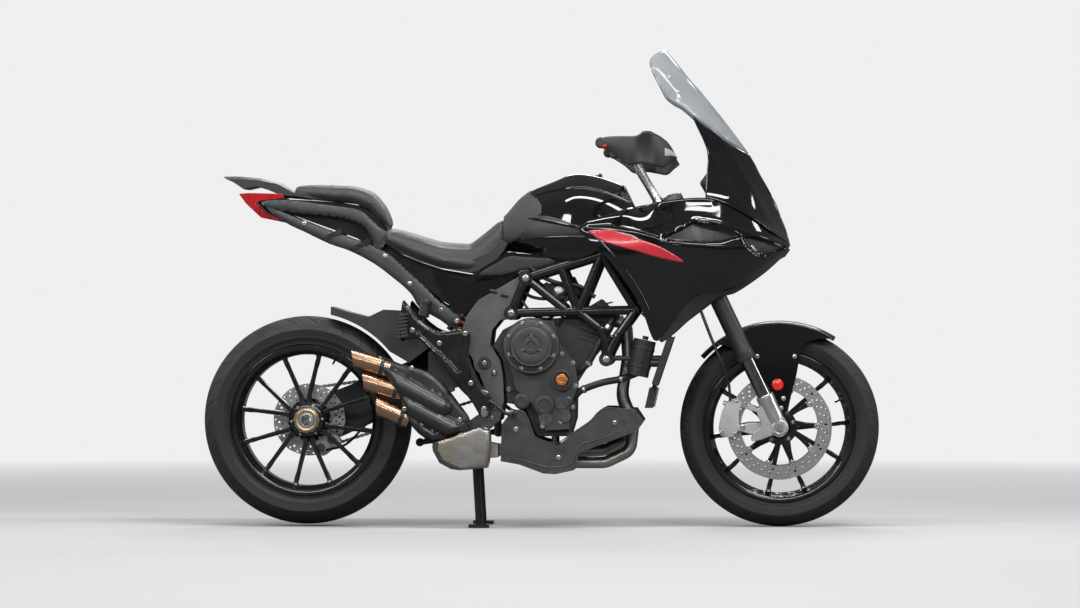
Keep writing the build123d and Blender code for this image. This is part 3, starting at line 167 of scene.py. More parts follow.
def addTube(form, route, radius, sides=14, steps=8, closed=False, ends=True):
    # a round tube on a smooth line; radius is one number, or one for each route point
    line = smoothRoute(route, steps, closed)
    if isinstance(radius, (list, tuple)):
        radii = [v.x for v in smoothRoute([(r, 0, 0) for r in radius], steps, closed)]
    else:
        radii = [radius] * len(line)
    first, _ = crossFrame(line[1] - line[0])
    loops = []
    for i, place in enumerate(line):
        ahead = line[(i + 1) % len(line)] if closed or i + 1 < len(line) else place
        behind = line[i - 1] if closed or i else place
        along = (ahead - behind).normalized()
        first = (first - along * first.dot(along)).normalized()
        second = along.cross(first)
        loops.append([place + (first * math.cos(2 * math.pi * k / sides)
                               + second * math.sin(2 * math.pi * k / sides))
                      * radii[i] for k in range(sides)])
    if closed:
        addSkin(form, loops + [loops[0]], ends=False)
    else:
        addSkin(form, loops, ends=ends)


def addBlock(form, centre, size, turn=(0, 0, 0)):
    # a block turned by degrees about X, Y and Z; its edges are rounded by the piece's bevel
    spin = (Matrix.Rotation(math.radians(turn[2]), 3, "Z") @ Matrix.Rotation(math.radians(turn[1]), 3, "Y")
            @ Matrix.Rotation(math.radians(turn[0]), 3, "X"))
    points = []
    for sx in (-1, 1):
        for sy in (-1, 1):
            for sz in (-1, 1):
                corner = Vector((sx * size[0] / 2, sy * size[1] / 2, sz * size[2] / 2))
                points.append(Vector(centre) + spin @ corner)
    addTo(form, points, [(0, 1, 3, 2), (4, 6, 7, 5), (0, 4, 5, 1), (2, 3, 7, 6), (0, 2, 6, 4),
                         (1, 5, 7, 3)])


def addBolt(form, at, axis, radius, height, head="hex"):
    # washer, head and a socket in its end
    at, axis = Vector(at), Vector(axis).normalized()
    sides = 6 if head == "hex" else 20
    addLathe(form, [(0, 0), (radius * 1.45, 0), (radius * 1.45, height * 0.2),
                    (radius * 0.9, height * 0.24)],
             at, axis, 20)
    addLathe(form, [(radius * 1.12, height * 0.2), (radius * 1.12, height * 0.85), (radius * 0.98, height),
                    (radius * 0.56, height), (radius * 0.5, height * 0.55), (0, height * 0.55)], at,
                    axis, sides)


def mirrored(form):
    base = len(form["points"])
    form["points"].extend([Vector((p.x, -p.y, p.z)) for p in form["points"]])
    form["faces"].extend([tuple(base + i for i in face)[::-1] for face in list(form["faces"])])
    return form


def addFlat(form, outer, holes, yFrom, yTo, centre=(0, 0)):
    # a flat plate with holes in it: outlines are lists of (x, z) about the centre
    mesh = bmesh.new()
    for loop in [outer] + holes:
        corners = [mesh.verts.new((centre[0] + x, 0, centre[1] + z)) for x, z in loop]
        for i, corner in enumerate(corners):
            mesh.edges.new((corner, corners[(i + 1) % len(corners)]))
    bmesh.ops.triangle_fill(mesh, use_beauty=True, edges=mesh.edges[:])
    mesh.verts.index_update()
    flat = [v.co.copy() for v in mesh.verts]
    for face in mesh.faces:
        if face.normal.y < 0:
            face.normal_flip()
    cells = [[v.index for v in f.verts] for f in mesh.faces]
    rims = [tuple(v.index for v in e.verts) for e in mesh.edges if len(e.link_faces) == 1]
    facing = {tuple(sorted((a.index, b.index))): f for f in mesh.faces
              for a, b in zip(list(f.verts), list(f.verts)[1:] + [f.verts[0]])}
    count = len(flat)
    points = [(p.x, yTo, p.z) for p in flat] + [(p.x, yFrom, p.z) for p in flat]
    faces = [tuple(c) for c in cells] + [tuple(count + i for i in c)[::-1] for c in cells]
    for a, b in rims:
        face = facing[tuple(sorted((a, b)))]
        order = [v.index for v in face.verts]
        here = order.index(a)
        if order[(here + 1) % len(order)] != b:
            a, b = b, a
        faces.append((b, a, count + a, count + b))
    mesh.free()
    if yTo < yFrom:
        faces = [f[::-1] for f in faces]
    addTo(form, points, faces)


def ringOutline(radius, steps, start=0):
    return [(radius * math.cos(start + 2 * math.pi * k / steps),
             radius * math.sin(start + 2 * math.pi * k / steps))
            for k in range(steps)]


def softEdges(piece, width, segments, angle):
    edge = piece.modifiers.new("edge", "BEVEL")
    edge.width = width * 0.001
    edge.segments = segments
    edge.limit_method = "ANGLE"
    edge.angle_limit = math.radians(angle)
    edge.harden_normals = True


def makePiece(name, form, look, body, replaces=(), bevel=0, segments=2, sharp=38, thick=0):
    # one object from a form, in metres, with its finish, its body and the CAD nodes that it stands for
    mesh = bpy.data.meshes.new(name)
    mesh.from_pydata([p * 0.001 for p in form["points"]], [], form["faces"])
    tool = bmesh.new()
    tool.from_mesh(mesh)
    bmesh.ops.remove_doubles(tool, verts=tool.verts[:], dist=1e-5)
    bmesh.ops.dissolve_degenerate(tool, dist=1e-6, edges=tool.edges[:])
    bmesh.ops.recalc_face_normals(tool, faces=tool.faces[:])
    tool.to_mesh(mesh)
    tool.free()
    for face in mesh.polygons:
        face.use_smooth = True
    mesh.set_sharp_from_angle(angle=math.radians(sharp))
    mesh.materials.append(finish[look])
    piece = bpy.data.objects.new(name, mesh)
    bpy.context.scene.collection.objects.link(piece)
    if thick:
        wall = piece.modifiers.new("wall", "SOLIDIFY")
        wall.thickness = thick * 0.001
        wall.offset = -1
    if bevel:
        softEdges(piece, bevel, segments, 32)
    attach(piece, body)
    if replaces:
        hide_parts(*replaces)


def boltsAt(name, places, radius, height, body="chassis", way=-1, both=False):
    # screws square to the middle plane, on the right side, or on both
    form = newForm()
    for place in places:
        addBolt(form, place, (0, way, 0), radius, height, "cap")
    makePiece(name, mirrored(form) if both else form, "boltSteel", body)


def pointAlong(line, share):
    # the point at this share of the line's length
    spans = [0.0]
    for a, b in zip(line, line[1:]):
        spans.append(spans[-1] + (b - a).length)
    want = share * spans[-1]
    for i in range(len(line) - 1):
        if want <= spans[i + 1] or i == len(line) - 2:
            step = spans[i + 1] - spans[i]
            return line[i].lerp(line[i + 1], (want - spans[i]) / step if step else 0)


def between(table, at):
    # a value read from a list of (place, value) pairs, straight between them
    if at <= table[0][0]:
        return table[0][1]
    for (a, va), (b, vb) in zip(table, table[1:]):
        if at <= b:
            return va + (vb - va) * (at - a) / (b - a) if b > a else vb
    return table[-1][1]


def polarPoint(centre, radius, degrees):
    turn = math.radians(degrees)
    return Vector((centre[0] + radius * math.cos(turn), centre[1], centre[2] + radius * math.sin(turn)))


# stage: floor, sky and lamps

stageSet = {
    "floorTint": (0.50, 0.50, 0.505),
    "skyTint": (0.86, 0.865, 0.87),
    "mirrorSky": 0.20,              # what glossy paint sees of the sky
    "shadeReach": (2.6, 7.0),       # metres from the middle where the floor fades into the sky
    "skyLight": 0.24,
    "floorUnderLight": (0.16, 0.16, 0.16),      # what the paint and the shadows see of the floor
    "floorRings": (4, 12, 45),      # metres
    "floorDrop": -0.0005,
}

# soft boxes: place, aim, width, height, watts
lampSet = {
    "keyBox": ((2.4, -4.6, 4.6), (0.1, 0, 0.7), 2.4, 1.2, 170),
    "rearBox": ((-3.6, -3.8, 3.2), (-0.3, 0, 0.6), 1.6, 1.0, 90),
    "topStrip": ((0.0, -0.9, 3.6), (0, 0, 0.6), 4.2, 0.35, 95),
    "sideStrip": ((-0.2, -5.2, 1.9), (0, 0, 0.7), 3.8, 0.22, 46),
    "farBox": ((0.6, 4.4, 3.6), (0, 0, 0.7), 3.2, 1.0, 110),
    "noseBox": ((5.0, -0.6, 2.2), (0.4, 0, 0.7), 0.7, 1.8, 60),
    "tailBox": ((-5.0, 0.8, 2.2), (-0.4, 0, 0.7), 0.7, 1.8, 50),
}


def nodeAt(tree, kind, x, y, **values):
    item = tree.nodes.new(kind)
    item.location = (x, y)
    for key, value in values.items():
        if key in item.inputs:
            item.inputs[key].default_value = value
        else:
            setattr(item, key, value)
    return item


def mixColour(tree, x, y, factor, first, second, blend="MIX"):
    # factor, first and second are sockets or plain values; the result socket is given back
    item = tree.nodes.new("ShaderNodeMix")
    item.data_type = "RGBA"
    item.blend_type = blend
    item.location = (x, y)
    for socket, value in ((item.inputs[0], factor), (item.inputs[6], first), (item.inputs[7], second)):
        if isinstance(value, bpy.types.NodeSocket):
            tree.links.new(value, socket)
        else:
            socket.default_value = value if not isinstance(value, tuple) or len(value) == 4 else (*value, 1)
    return item.outputs[2]


def mathNode(tree, x, y, kind, first, second=0.0, clamp=False):
    item = tree.nodes.new("ShaderNodeMath")
    item.operation = kind
    item.use_clamp = clamp
    item.location = (x, y)
    for socket, value in zip(item.inputs, (first, second)):
        if isinstance(value, bpy.types.NodeSocket):
            tree.links.new(value, socket)
        else:
            socket.default_value = value
    return item.outputs[0]


def spread(tree, x, y, value, low, high, toLow=0.0, toHigh=1.0):
    item = tree.nodes.new("ShaderNodeMapRange")
    item.location = (x, y)
    tree.links.new(value, item.inputs["Value"])
    item.inputs["From Min"].default_value = low
    item.inputs["From Max"].default_value = high
    item.inputs["To Min"].default_value = toLow
    item.inputs["To Max"].default_value = toHigh
    return item.outputs["Result"]


def seenByCamera(tree, x, y):
    # one for rays from the camera, also through glass; the ray node comes back too
    rays = nodeAt(tree, "ShaderNodeLightPath", x - 200, y)
    return rays, mathNode(tree, x, y, "MAXIMUM", rays.outputs["Is Camera Ray"],
                          rays.outputs["Is Transmission Ray"])


def buildSky():
    world = bpy.data.worlds.new("sky")
    bpy.context.scene.world = world
    world.use_nodes = True
    tree = world.node_tree
    tree.nodes.clear()
    rays, seen = seenByCamera(tree, -500, 200)
    sky = nodeAt(tree, "ShaderNodeBackground", -120, 100, Color=(*stageSet["skyTint"], 1), Strength=1.0)
    light = nodeAt(tree, "ShaderNodeBackground", -120, -60, Color=(0.95, 0.97, 1, 1),
                   Strength=stageSet["skyLight"])
    blend = nodeAt(tree, "ShaderNodeMixShader", 80, 40)
    tree.links.new(seen, blend.inputs[0])
    tree.links.new(light.outputs[0], blend.inputs[1])
    tree.links.new(sky.outputs[0], blend.inputs[2])
    mirror = nodeAt(tree, "ShaderNodeBackground", 80, -120, Color=(0.9, 0.95, 1, 1),
                    Strength=stageSet["mirrorSky"])
    mixed = nodeAt(tree, "ShaderNodeMixShader", 180, -20)
    tree.links.new(rays.outputs["Is Glossy Ray"], mixed.inputs[0])
    tree.links.new(blend.outputs[0], mixed.inputs[1])
    tree.links.new(mirror.outputs[0], mixed.inputs[2])
    out = nodeAt(tree, "ShaderNodeOutputWorld", 260, 40)
    tree.links.new(mixed.outputs[0], out.inputs[0])


def buildFloor():
    floorPaint = bpy.data.materials.new("paleFloor")
    floorPaint.use_nodes = True
    tree = floorPaint.node_tree
    shader = tree.nodes["Principled BSDF"]
    shader.inputs["Roughness"].default_value = 0.75
    shader.inputs["Specular IOR Level"].default_value = 0.2
    place = nodeAt(tree, "ShaderNodeNewGeometry", -900, 0)
    length = nodeAt(tree, "ShaderNodeVectorMath", -700, 0, operation="LENGTH")
    tree.links.new(place.outputs["Position"], length.inputs[0])
    far = spread(tree, -500, 0, length.outputs["Value"], *stageSet["shadeReach"])
    _, seen = seenByCamera(tree, -500, 260)
    fade = mathNode(tree, -180, 160, "MULTIPLY", far, seen)
    tint = mixColour(tree, -300, -300, seen, stageSet["floorUnderLight"], stageSet["floorTint"])
    tree.links.new(tint, shader.inputs["Base Color"])
    glow = nodeAt(tree, "ShaderNodeEmission", 0, -200, Color=(*stageSet["skyTint"], 1), Strength=1.0)
    blend = nodeAt(tree, "ShaderNodeMixShader", 380, 60)
    tree.links.new(fade, blend.inputs[0])
    tree.links.new(shader.outputs[0], blend.inputs[1])
    tree.links.new(glow.outputs[0], blend.inputs[2])
    tree.links.new(blend.outputs[0], tree.nodes["Material Output"].inputs[0])

    mesh = bpy.data.meshes.new("floor")
    drop = stageSet["floorDrop"]
    rings = [(0, 0, drop)]
    cells = []
    for r in stageSet["floorRings"]:
        rings += [(r * math.cos(k * math.pi / 24), r * math.sin(k * math.pi / 24), drop) for k in range(48)]
    for k in range(48):
        j = (k + 1) % 48
        cells.append((0, 1 + k, 1 + j))
        cells += [(1 + 48 * s + k, 1 + 48 * (s + 1) + k, 1 + 48 * (s + 1) + j, 1 + 48 * s + j)
                  for s in (0, 1)]
    mesh.from_pydata(rings, [], cells)
    mesh.materials.append(floorPaint)
    floor = bpy.data.objects.new("floor", mesh)
    bpy.context.scene.collection.objects.link(floor)


def buildLamps():
    for name, (place, aim, width, height, watts) in lampSet.items():
        data = bpy.data.lights.new(name, "AREA")
        data.shape = "RECTANGLE"
        data.size = width
        data.size_y = height
        data.energy = watts
        lamp = bpy.data.objects.new(name, data)
        bpy.context.scene.collection.objects.link(lamp)
        aimAt(lamp, place, aim)


buildSky()
buildFloor()
buildLamps()
print("stage and lamps built")


# shader groups that several finishes share


def newGroup(name, inputs, outputs):
    group = bpy.data.node_groups.new(name, "ShaderNodeTree")
    for label, kind, value in inputs:
        socket = group.interface.new_socket(label, in_out="INPUT", socket_type=kind)
        if value is not None:
            socket.default_value = value
    for label, kind in outputs:
        group.interface.new_socket(label, in_out="OUTPUT", socket_type=kind)
    start = nodeAt(group, "NodeGroupInput", -1000, 0)
    end = nodeAt(group, "NodeGroupOutput", 600, 0)
    return group, start, end


def noiseIn(tree, x, y, place, scale, detail=3.0, rough=0.55):
    item = nodeAt(tree, "ShaderNodeTexNoise", x, y, Detail=detail, Roughness=rough)
    tree.links.new(place, item.inputs["Vector"])
    if isinstance(scale, bpy.types.NodeSocket):
        tree.links.new(scale, item.inputs["Scale"])
    else:
        item.inputs["Scale"].default_value = scale
    return item.outputs["Fac"]


floatSocket = "NodeSocketFloat"

# rubbed edges: pointed places of the mesh, broken up by a noise
wearGroup, start, end = newGroup("edgeWear", [("Amount", floatSocket, 0.4), ("Scale", floatSocket, 60.0)],
                                 [("Mask", floatSocket)])
here = nodeAt(wearGroup, "ShaderNodeTexCoord", -1000, -200).outputs["Object"]
shape = nodeAt(wearGroup, "ShaderNodeNewGeometry", -1000, 300).outputs["Pointiness"]
edgy = spread(wearGroup, -700, 300, shape, 0.52, 0.60)
patch = spread(wearGroup, -500, -100, noiseIn(wearGroup, -740, -100, here, start.outputs["Scale"], 4.0),
               0.38, 0.66)
rubbed = mathNode(wearGroup, -200, 100, "MULTIPLY", edgy, patch)
wearGroup.links.new(mathNode(wearGroup, 100, 60, "MULTIPLY", rubbed, start.outputs["Amount"], True),
                    end.inputs["Mask"])

# fine grain of moulded, cast or powder-coated faces
grainGroup, start, end = newGroup("fineGrain", [("Scale", floatSocket, 900.0), ("Depth", floatSocket, 0.4)],
                                  [("Height", floatSocket), ("Mottle", floatSocket)])
here = nodeAt(grainGroup, "ShaderNodeTexCoord", -1000, -200).outputs["Object"]
cells = nodeAt(grainGroup, "ShaderNodeTexVoronoi", -700, 100, feature="SMOOTH_F1", Smoothness=0.4)
grainGroup.links.new(here, cells.inputs["Vector"])
grainGroup.links.new(start.outputs["Scale"], cells.inputs["Scale"])
finerScale = mathNode(grainGroup, -880, -180, "MULTIPLY", start.outputs["Scale"], 1.7)
finer = noiseIn(grainGroup, -700, -180, here, finerScale)
both = mathNode(grainGroup, -420, 0, "ADD", cells.outputs["Distance"], finer)
grainGroup.links.new(mathNode(grainGroup, -100, 60, "MULTIPLY", both, start.outputs["Depth"]),
                     end.inputs["Height"])
grainGroup.links.new(noiseIn(grainGroup, -420, -300, here, 14.0, 4.0), end.inputs["Mottle"])

# dust that settles on faces that look up
dustGroup, start, end = newGroup("settledDust", [("Amount", floatSocket, 0.2)], [("Mask", floatSocket)])
here = nodeAt(dustGroup, "ShaderNodeTexCoord", -1000, -200)
split = nodeAt(dustGroup, "ShaderNodeSeparateXYZ", -760, 100)
dustGroup.links.new(nodeAt(dustGroup, "ShaderNodeNewGeometry", -960, 200).outputs["Normal"],
                    split.inputs[0])
upward = spread(dustGroup, -560, 100, split.outputs["Z"], 0.25, 0.95)
patch = spread(dustGroup, -560, -200, noiseIn(dustGroup, -760, -200, here.outputs["Object"], 22.0, 5.0),
               0.35, 0.75)
lying = mathNode(dustGroup, -200, 0, "MULTIPLY", upward, patch)
dustGroup.links.new(mathNode(dustGroup, 100, 0, "MULTIPLY", lying, start.outputs["Amount"], True),
                    end.inputs["Mask"])

# drawn lines of brushed or turned metal
brushGroup, start, end = newGroup("drawnLines", [("Along", "NodeSocketVector", (12.0, 900.0, 900.0)),
                                                 ("Depth", floatSocket, 0.3)],
                                  [("Height", floatSocket), ("Streak", floatSocket)])
here = nodeAt(brushGroup, "ShaderNodeTexCoord", -1000, -200).outputs["Object"]
stretch = nodeAt(brushGroup, "ShaderNodeVectorMath", -760, 0, operation="MULTIPLY")
brushGroup.links.new(here, stretch.inputs[0])
brushGroup.links.new(start.outputs["Along"], stretch.inputs[1])
lines = noiseIn(brushGroup, -520, 0, stretch.outputs[0], 1.0, 5.0)
brushGroup.links.new(mathNode(brushGroup, -200, 60, "MULTIPLY", lines, start.outputs["Depth"]),
                     end.inputs["Height"])
brushGroup.links.new(spread(brushGroup, -200, -160, lines, 0.3, 0.7), end.inputs["Streak"])

# pebbled leathercloth with long soft creases
hideGroup, start, end = newGroup("pebbledHide", [("Scale", floatSocket, 420.0)],
                                 [("Height", floatSocket), ("Valley", floatSocket)])
here = nodeAt(hideGroup, "ShaderNodeTexCoord", -1000, -200).outputs["Object"]
pebbles = nodeAt(hideGroup, "ShaderNodeTexVoronoi", -700, 100, feature="DISTANCE_TO_EDGE")
hideGroup.links.new(here, pebbles.inputs["Vector"])
hideGroup.links.new(start.outputs["Scale"], pebbles.inputs["Scale"])
valley = spread(hideGroup, -480, 100, pebbles.outputs["Distance"], 0.0, 0.22)
crease = spread(hideGroup, -480, -140, noiseIn(hideGroup, -700, -140, here, 16.0, 5.0), 0.3, 0.7)
crease = mathNode(hideGroup, -280, -140, "MULTIPLY", crease, 0.6)
hideGroup.links.new(mathNode(hideGroup, -100, 0, "ADD", valley, crease), end.inputs["Height"])
hideGroup.links.new(valley, end.inputs["Valley"])
print("shader groups built")


# finishes


def useGroup(tree, group, x, y, **values):
    item = tree.nodes.new("ShaderNodeGroup")
    item.node_tree = group
    item.location = (x, y)
    for key, value in values.items():
        item.inputs[key].default_value = value
    return item


def newFinish(name, slot):
    material = bpy.data.materials.new(name)
    material.use_nodes = True
    material["slot"] = slot
    return material, material.node_tree, material.node_tree.nodes["Principled BSDF"]


def bumpInto(tree, shader, height, distance, strength=0.5):
    bump = nodeAt(tree, "ShaderNodeBump", -260, -420, Strength=strength, Distance=distance)
    tree.links.new(height, bump.inputs["Height"])
    tree.links.new(bump.outputs["Normal"], shader.inputs["Normal"])


# deep and pale are the two colours of the mottling, smooth and rough the two ends of the roughness,
# grain and depth the size and the height of the grain, worn the colour of rubbed edges
paints = {
    "tyreRubber": {
        "slot": "tyre", "deep": (0.011, 0.011, 0.0115), "pale": (0.018, 0.018, 0.0185),
        "smooth": 0.62, "rough": 0.78, "metal": 0, "coat": 0, "grain": 1300, "depth": 0.5,
        "wear": 0.1, "worn": (0.06, 0.06, 0.06), "dust": 0.16,
    },
    "wheelPaint": {
        "slot": "wheel_black", "deep": (0.006, 0.006, 0.006), "pale": (0.009, 0.009, 0.009),
        "smooth": 0.13, "rough": 0.2, "metal": 0, "coat": 0.5, "grain": 700, "depth": 0.03,
        "wear": 0.25, "worn": (0.1, 0.1, 0.1), "dust": 0.03,
    },
    "bodyPaint": {
        "slot": "gloss_black", "deep": (0.003, 0.003, 0.0032), "pale": (0.005, 0.005, 0.0055),
        "smooth": 0.05, "rough": 0.09, "metal": 0, "coat": 0.6, "grain": 260, "depth": 0.012,
        "wear": 0.0, "worn": (0.1, 0.1, 0.1), "dust": 0.012,
    },
    "framePaint": {
        "slot": "satin_black", "deep": (0.008, 0.008, 0.008), "pale": (0.013, 0.013, 0.013),
        "smooth": 0.16, "rough": 0.26, "metal": 0, "coat": 0.35, "grain": 800, "depth": 0.05,
        "wear": 0.3, "worn": (0.12, 0.12, 0.12), "dust": 0.06,
    },
    "satinBlack": {
        "slot": "satin_black", "deep": (0.016, 0.016, 0.017), "pale": (0.026, 0.026, 0.027),
        "smooth": 0.34, "rough": 0.46, "metal": 0, "coat": 0, "grain": 1100, "depth": 0.18,
        "wear": 0.25, "worn": (0.14, 0.14, 0.14), "dust": 0.1,
    },
    "plasticBlack": {
        "slot": "satin_plastic", "deep": (0.02, 0.02, 0.021), "pale": (0.031, 0.031, 0.032),
        "smooth": 0.4, "rough": 0.54, "metal": 0, "coat": 0, "grain": 1500, "depth": 0.5,
        "wear": 0.12, "worn": (0.1, 0.1, 0.1), "dust": 0.12,
    },
    "panGrey": {
        "slot": "graphite", "deep": (0.04, 0.041, 0.043), "pale": (0.055, 0.056, 0.058),
        "smooth": 0.36, "rough": 0.5, "metal": 0.2, "coat": 0, "grain": 1400, "depth": 0.25,
        "wear": 0.2, "worn": (0.16, 0.16, 0.16), "dust": 0.1,
    },
    "plateGrey": {
        "slot": "grey_alloy", "deep": (0.085, 0.087, 0.09), "pale": (0.12, 0.122, 0.125),
        "smooth": 0.34, "rough": 0.48, "metal": 0.45, "coat": 0, "grain": 1100, "depth": 0.3,
        "wear": 0.35, "worn": (0.34, 0.34, 0.34), "dust": 0.08,
    },
    "caseGrey": {
        "slot": "grey_alloy", "deep": (0.05, 0.051, 0.053), "pale": (0.075, 0.076, 0.078),
        "smooth": 0.38, "rough": 0.52, "metal": 0.5, "coat": 0, "grain": 900, "depth": 0.5,
        "wear": 0.35, "worn": (0.32, 0.32, 0.32), "dust": 0.1,
    },
    "darkCast": {
        "slot": "dark_alloy", "deep": (0.022, 0.022, 0.023), "pale": (0.04, 0.04, 0.041),
        "smooth": 0.44, "rough": 0.6, "metal": 0.3, "coat": 0, "grain": 700, "depth": 0.7,
        "wear": 0.3, "worn": (0.2, 0.2, 0.2), "dust": 0.12,
    },
    "shieldGraphite": {
        "slot": "graphite", "deep": (0.028, 0.029, 0.03), "pale": (0.04, 0.041, 0.042),
        "smooth": 0.3, "rough": 0.42, "metal": 0.4, "coat": 0.15, "grain": 1200, "depth": 0.15,
        "wear": 0.2, "worn": (0.2, 0.2, 0.2), "dust": 0.06,
    },
    "castAlloy": {
        "slot": "cast_alloy", "deep": (0.52, 0.52, 0.53), "pale": (0.64, 0.64, 0.65),
        "smooth": 0.28, "rough": 0.42, "metal": 0.9, "coat": 0, "grain": 800, "depth": 0.45,
        "wear": 0.2, "worn": (0.8, 0.8, 0.8), "dust": 0.04,
    },
    "barAlloy": {
        "slot": "silver_bar", "deep": (0.55, 0.55, 0.56), "pale": (0.66, 0.66, 0.67),
        "smooth": 0.2, "rough": 0.3, "metal": 0.95, "coat": 0, "grain": 900, "depth": 0.15,
        "wear": 0.2, "worn": (0.8, 0.8, 0.8), "dust": 0.03,
    },
    "boltSteel": {
        "slot": "cast_alloy", "deep": (0.5, 0.5, 0.5), "pale": (0.62, 0.62, 0.61),
        "smooth": 0.18, "rough": 0.3, "metal": 1.0, "coat": 0, "grain": 700, "depth": 0.1,
        "wear": 0.2, "worn": (0.85, 0.85, 0.85), "dust": 0.02,
    },
    "gripRubber": {
        "slot": "rubber", "deep": (0.02, 0.02, 0.02), "pale": (0.03, 0.03, 0.03),
        "smooth": 0.6, "rough": 0.75, "metal": 0, "coat": 0, "grain": 1500, "depth": 0.5,
        "wear": 0.0, "worn": (0.1, 0.1, 0.1), "dust": 0.1,
    },
    "hoseRubber": {
        "slot": "rubber", "deep": (0.014, 0.014, 0.014), "pale": (0.022, 0.022, 0.022),
        "smooth": 0.38, "rough": 0.5, "metal": 0, "coat": 0, "grain": 1500, "depth": 0.3,
        "wear": 0.0, "worn": (0.1, 0.1, 0.1), "dust": 0.05,
    },
    "copperAnodised": {
        "slot": "bronze", "deep": (0.62, 0.21, 0.07), "pale": (0.7, 0.28, 0.1),
        "smooth": 0.24, "rough": 0.34, "metal": 0.9, "coat": 0, "grain": 900, "depth": 0.1,
        "wear": 0.2, "worn": (0.8, 0.6, 0.45), "dust": 0.03,
    },
    "goldAnodised": {
        "slot": "bronze", "deep": (0.46, 0.36, 0.22), "pale": (0.54, 0.43, 0.28),
        "smooth": 0.25, "rough": 0.36, "metal": 0.95, "coat": 0, "grain": 900, "depth": 0.15,
        "wear": 0.2, "worn": (0.75, 0.7, 0.6), "dust": 0.03,
    },
}
dustColour = (0.24, 0.225, 0.20)
shinyPaints = ("bodyPaint", "wheelPaint", "framePaint")

finish = {}
for name, look in paints.items():
    material, tree, shader = newFinish(name, look["slot"])
    grain = useGroup(tree, grainGroup, -1100, -200, Scale=float(look["grain"]), Depth=look["depth"])
    rub = useGroup(tree, wearGroup, -1100, 200, Amount=look["wear"], Scale=70.0)
    settled = useGroup(tree, dustGroup, -1100, 420, Amount=look["dust"])
    mottle = spread(tree, -1000, 40, grain.outputs["Mottle"], 0.35, 0.65)
    colour = mixColour(tree, -820, 300, mottle, look["deep"], look["pale"])
    colour = mixColour(tree, -620, 300, rub.outputs["Mask"], colour, look["worn"])
    colour = mixColour(tree, -420, 300, settled.outputs["Mask"], colour, dustColour)
    tree.links.new(colour, shader.inputs["Base Color"])
    polish = spread(tree, -620, 0, grain.outputs["Mottle"], 0.3, 0.7, look["smooth"], look["rough"])
    dusty = mathNode(tree, -420, 0, "MULTIPLY", settled.outputs["Mask"], 0.4)
    tree.links.new(mathNode(tree, -240, 0, "ADD", polish, dusty, True), shader.inputs["Roughness"])
    shader.inputs["Metallic"].default_value = look["metal"]
    shader.inputs["Specular IOR Level"].default_value = 0.35 if name in shinyPaints else 0.5
    if look["coat"]:
        shader.inputs["Coat Weight"].default_value = look["coat"]
        shader.inputs["Coat Roughness"].default_value = 0.04
    bumpInto(tree, shader, grain.outputs["Height"], 0.0004)
    finish[name] = material


def metalFinish(name, slot, deep, pale, along, smooth, rough, tint=None, depth=0.3, grit=0.2):
    # brushed or raw metal; a tint is mixed in by patches, as heat colours a pipe
    material, tree, shader = newFinish(name, slot)
    lines = useGroup(tree, brushGroup, -1000, 0, Along=along, Depth=depth)
    rub = useGroup(tree, wearGroup, -1000, 260, Amount=0.35, Scale=60.0)
    grain = useGroup(tree, grainGroup, -1000, -260, Scale=600.0, Depth=grit)
    colour = mixColour(tree, -760, 240, lines.outputs["Streak"], deep, pale)
    if tint:
        patch = spread(tree, -760, 40, grain.outputs["Mottle"], 0.46, 0.62, 0.0, 0.75)
        colour = mixColour(tree, -580, 240, patch, colour, tint)
    colour = mixColour(tree, -400, 240, rub.outputs["Mask"], colour, (0.85, 0.85, 0.85))
    tree.links.new(colour, shader.inputs["Base Color"])
    tree.links.new(spread(tree, -500, -20, lines.outputs["Streak"], 0, 1, smooth, rough),
                   shader.inputs["Roughness"])
    shader.inputs["Metallic"].default_value = 1.0
    bumpInto(tree, shader, mathNode(tree, -460, -300, "ADD", lines.outputs["Height"],
                                    grain.outputs["Height"]), 0.0003)
    finish[name] = material


metalFinish("discSteel", "disc_steel", (0.34, 0.34, 0.345), (0.52, 0.52, 0.53), (700.0, 12.0, 700.0),
            0.26, 0.42)
metalFinish("rawSteel", "raw_steel", (0.30, 0.295, 0.285), (0.44, 0.435, 0.42), (20.0, 500.0, 500.0),
            0.28, 0.46,
            (0.34, 0.29, 0.22))
metalFinish("darkChrome", "chrome_tube", (0.16, 0.16, 0.17), (0.24, 0.24, 0.25), (300.0, 300.0, 20.0),
            0.10, 0.2)
metalFinish("bronzeTip", "bronze", (0.40, 0.235, 0.15), (0.52, 0.32, 0.21), (30.0, 600.0, 600.0), 0.24,
            0.30, depth=0.0, grit=0.02)
# near-black steel for the tips' insides: soot colour, and painted shade for the depth of the bores
metalFinish("sootyShadeSteel", "raw_steel", (0.03, 0.027, 0.025), (0.06, 0.055, 0.05), (30.0, 400.0, 400.0),
            0.5, 0.7)
metalFinish("chainSteel", "dark_alloy", (0.20, 0.19, 0.17), (0.32, 0.30, 0.27), (400.0, 400.0, 400.0),
            0.3, 0.5)
metalFinish("finAlloy", "dark_alloy", (0.05, 0.05, 0.052), (0.09, 0.09, 0.092), (500.0, 20.0, 500.0),
            0.4, 0.55)

# red paint of the slash: a fine bright fleck over a deep red
material, tree, shader = newFinish("slashRed", "red_lens")
grain = useGroup(tree, grainGroup, -900, 0, Scale=420.0, Depth=0.3)
fleck = spread(tree, -640, 100, grain.outputs["Height"], 0.14, 0.30)
tree.links.new(mixColour(tree, -400, 200, fleck, (0.34, 0.004, 0.012), (0.62, 0.03, 0.045)),
               shader.inputs["Base Color"])
tree.links.new(spread(tree, -400, -40, fleck, 0, 1, 0.3, 0.2), shader.inputs["Roughness"])
shader.inputs["Coat Weight"].default_value = 0.4
shader.inputs["Coat Roughness"].default_value = 0.05
bumpInto(tree, shader, grain.outputs["Height"], 0.0001)
finish["slashRed"] = material


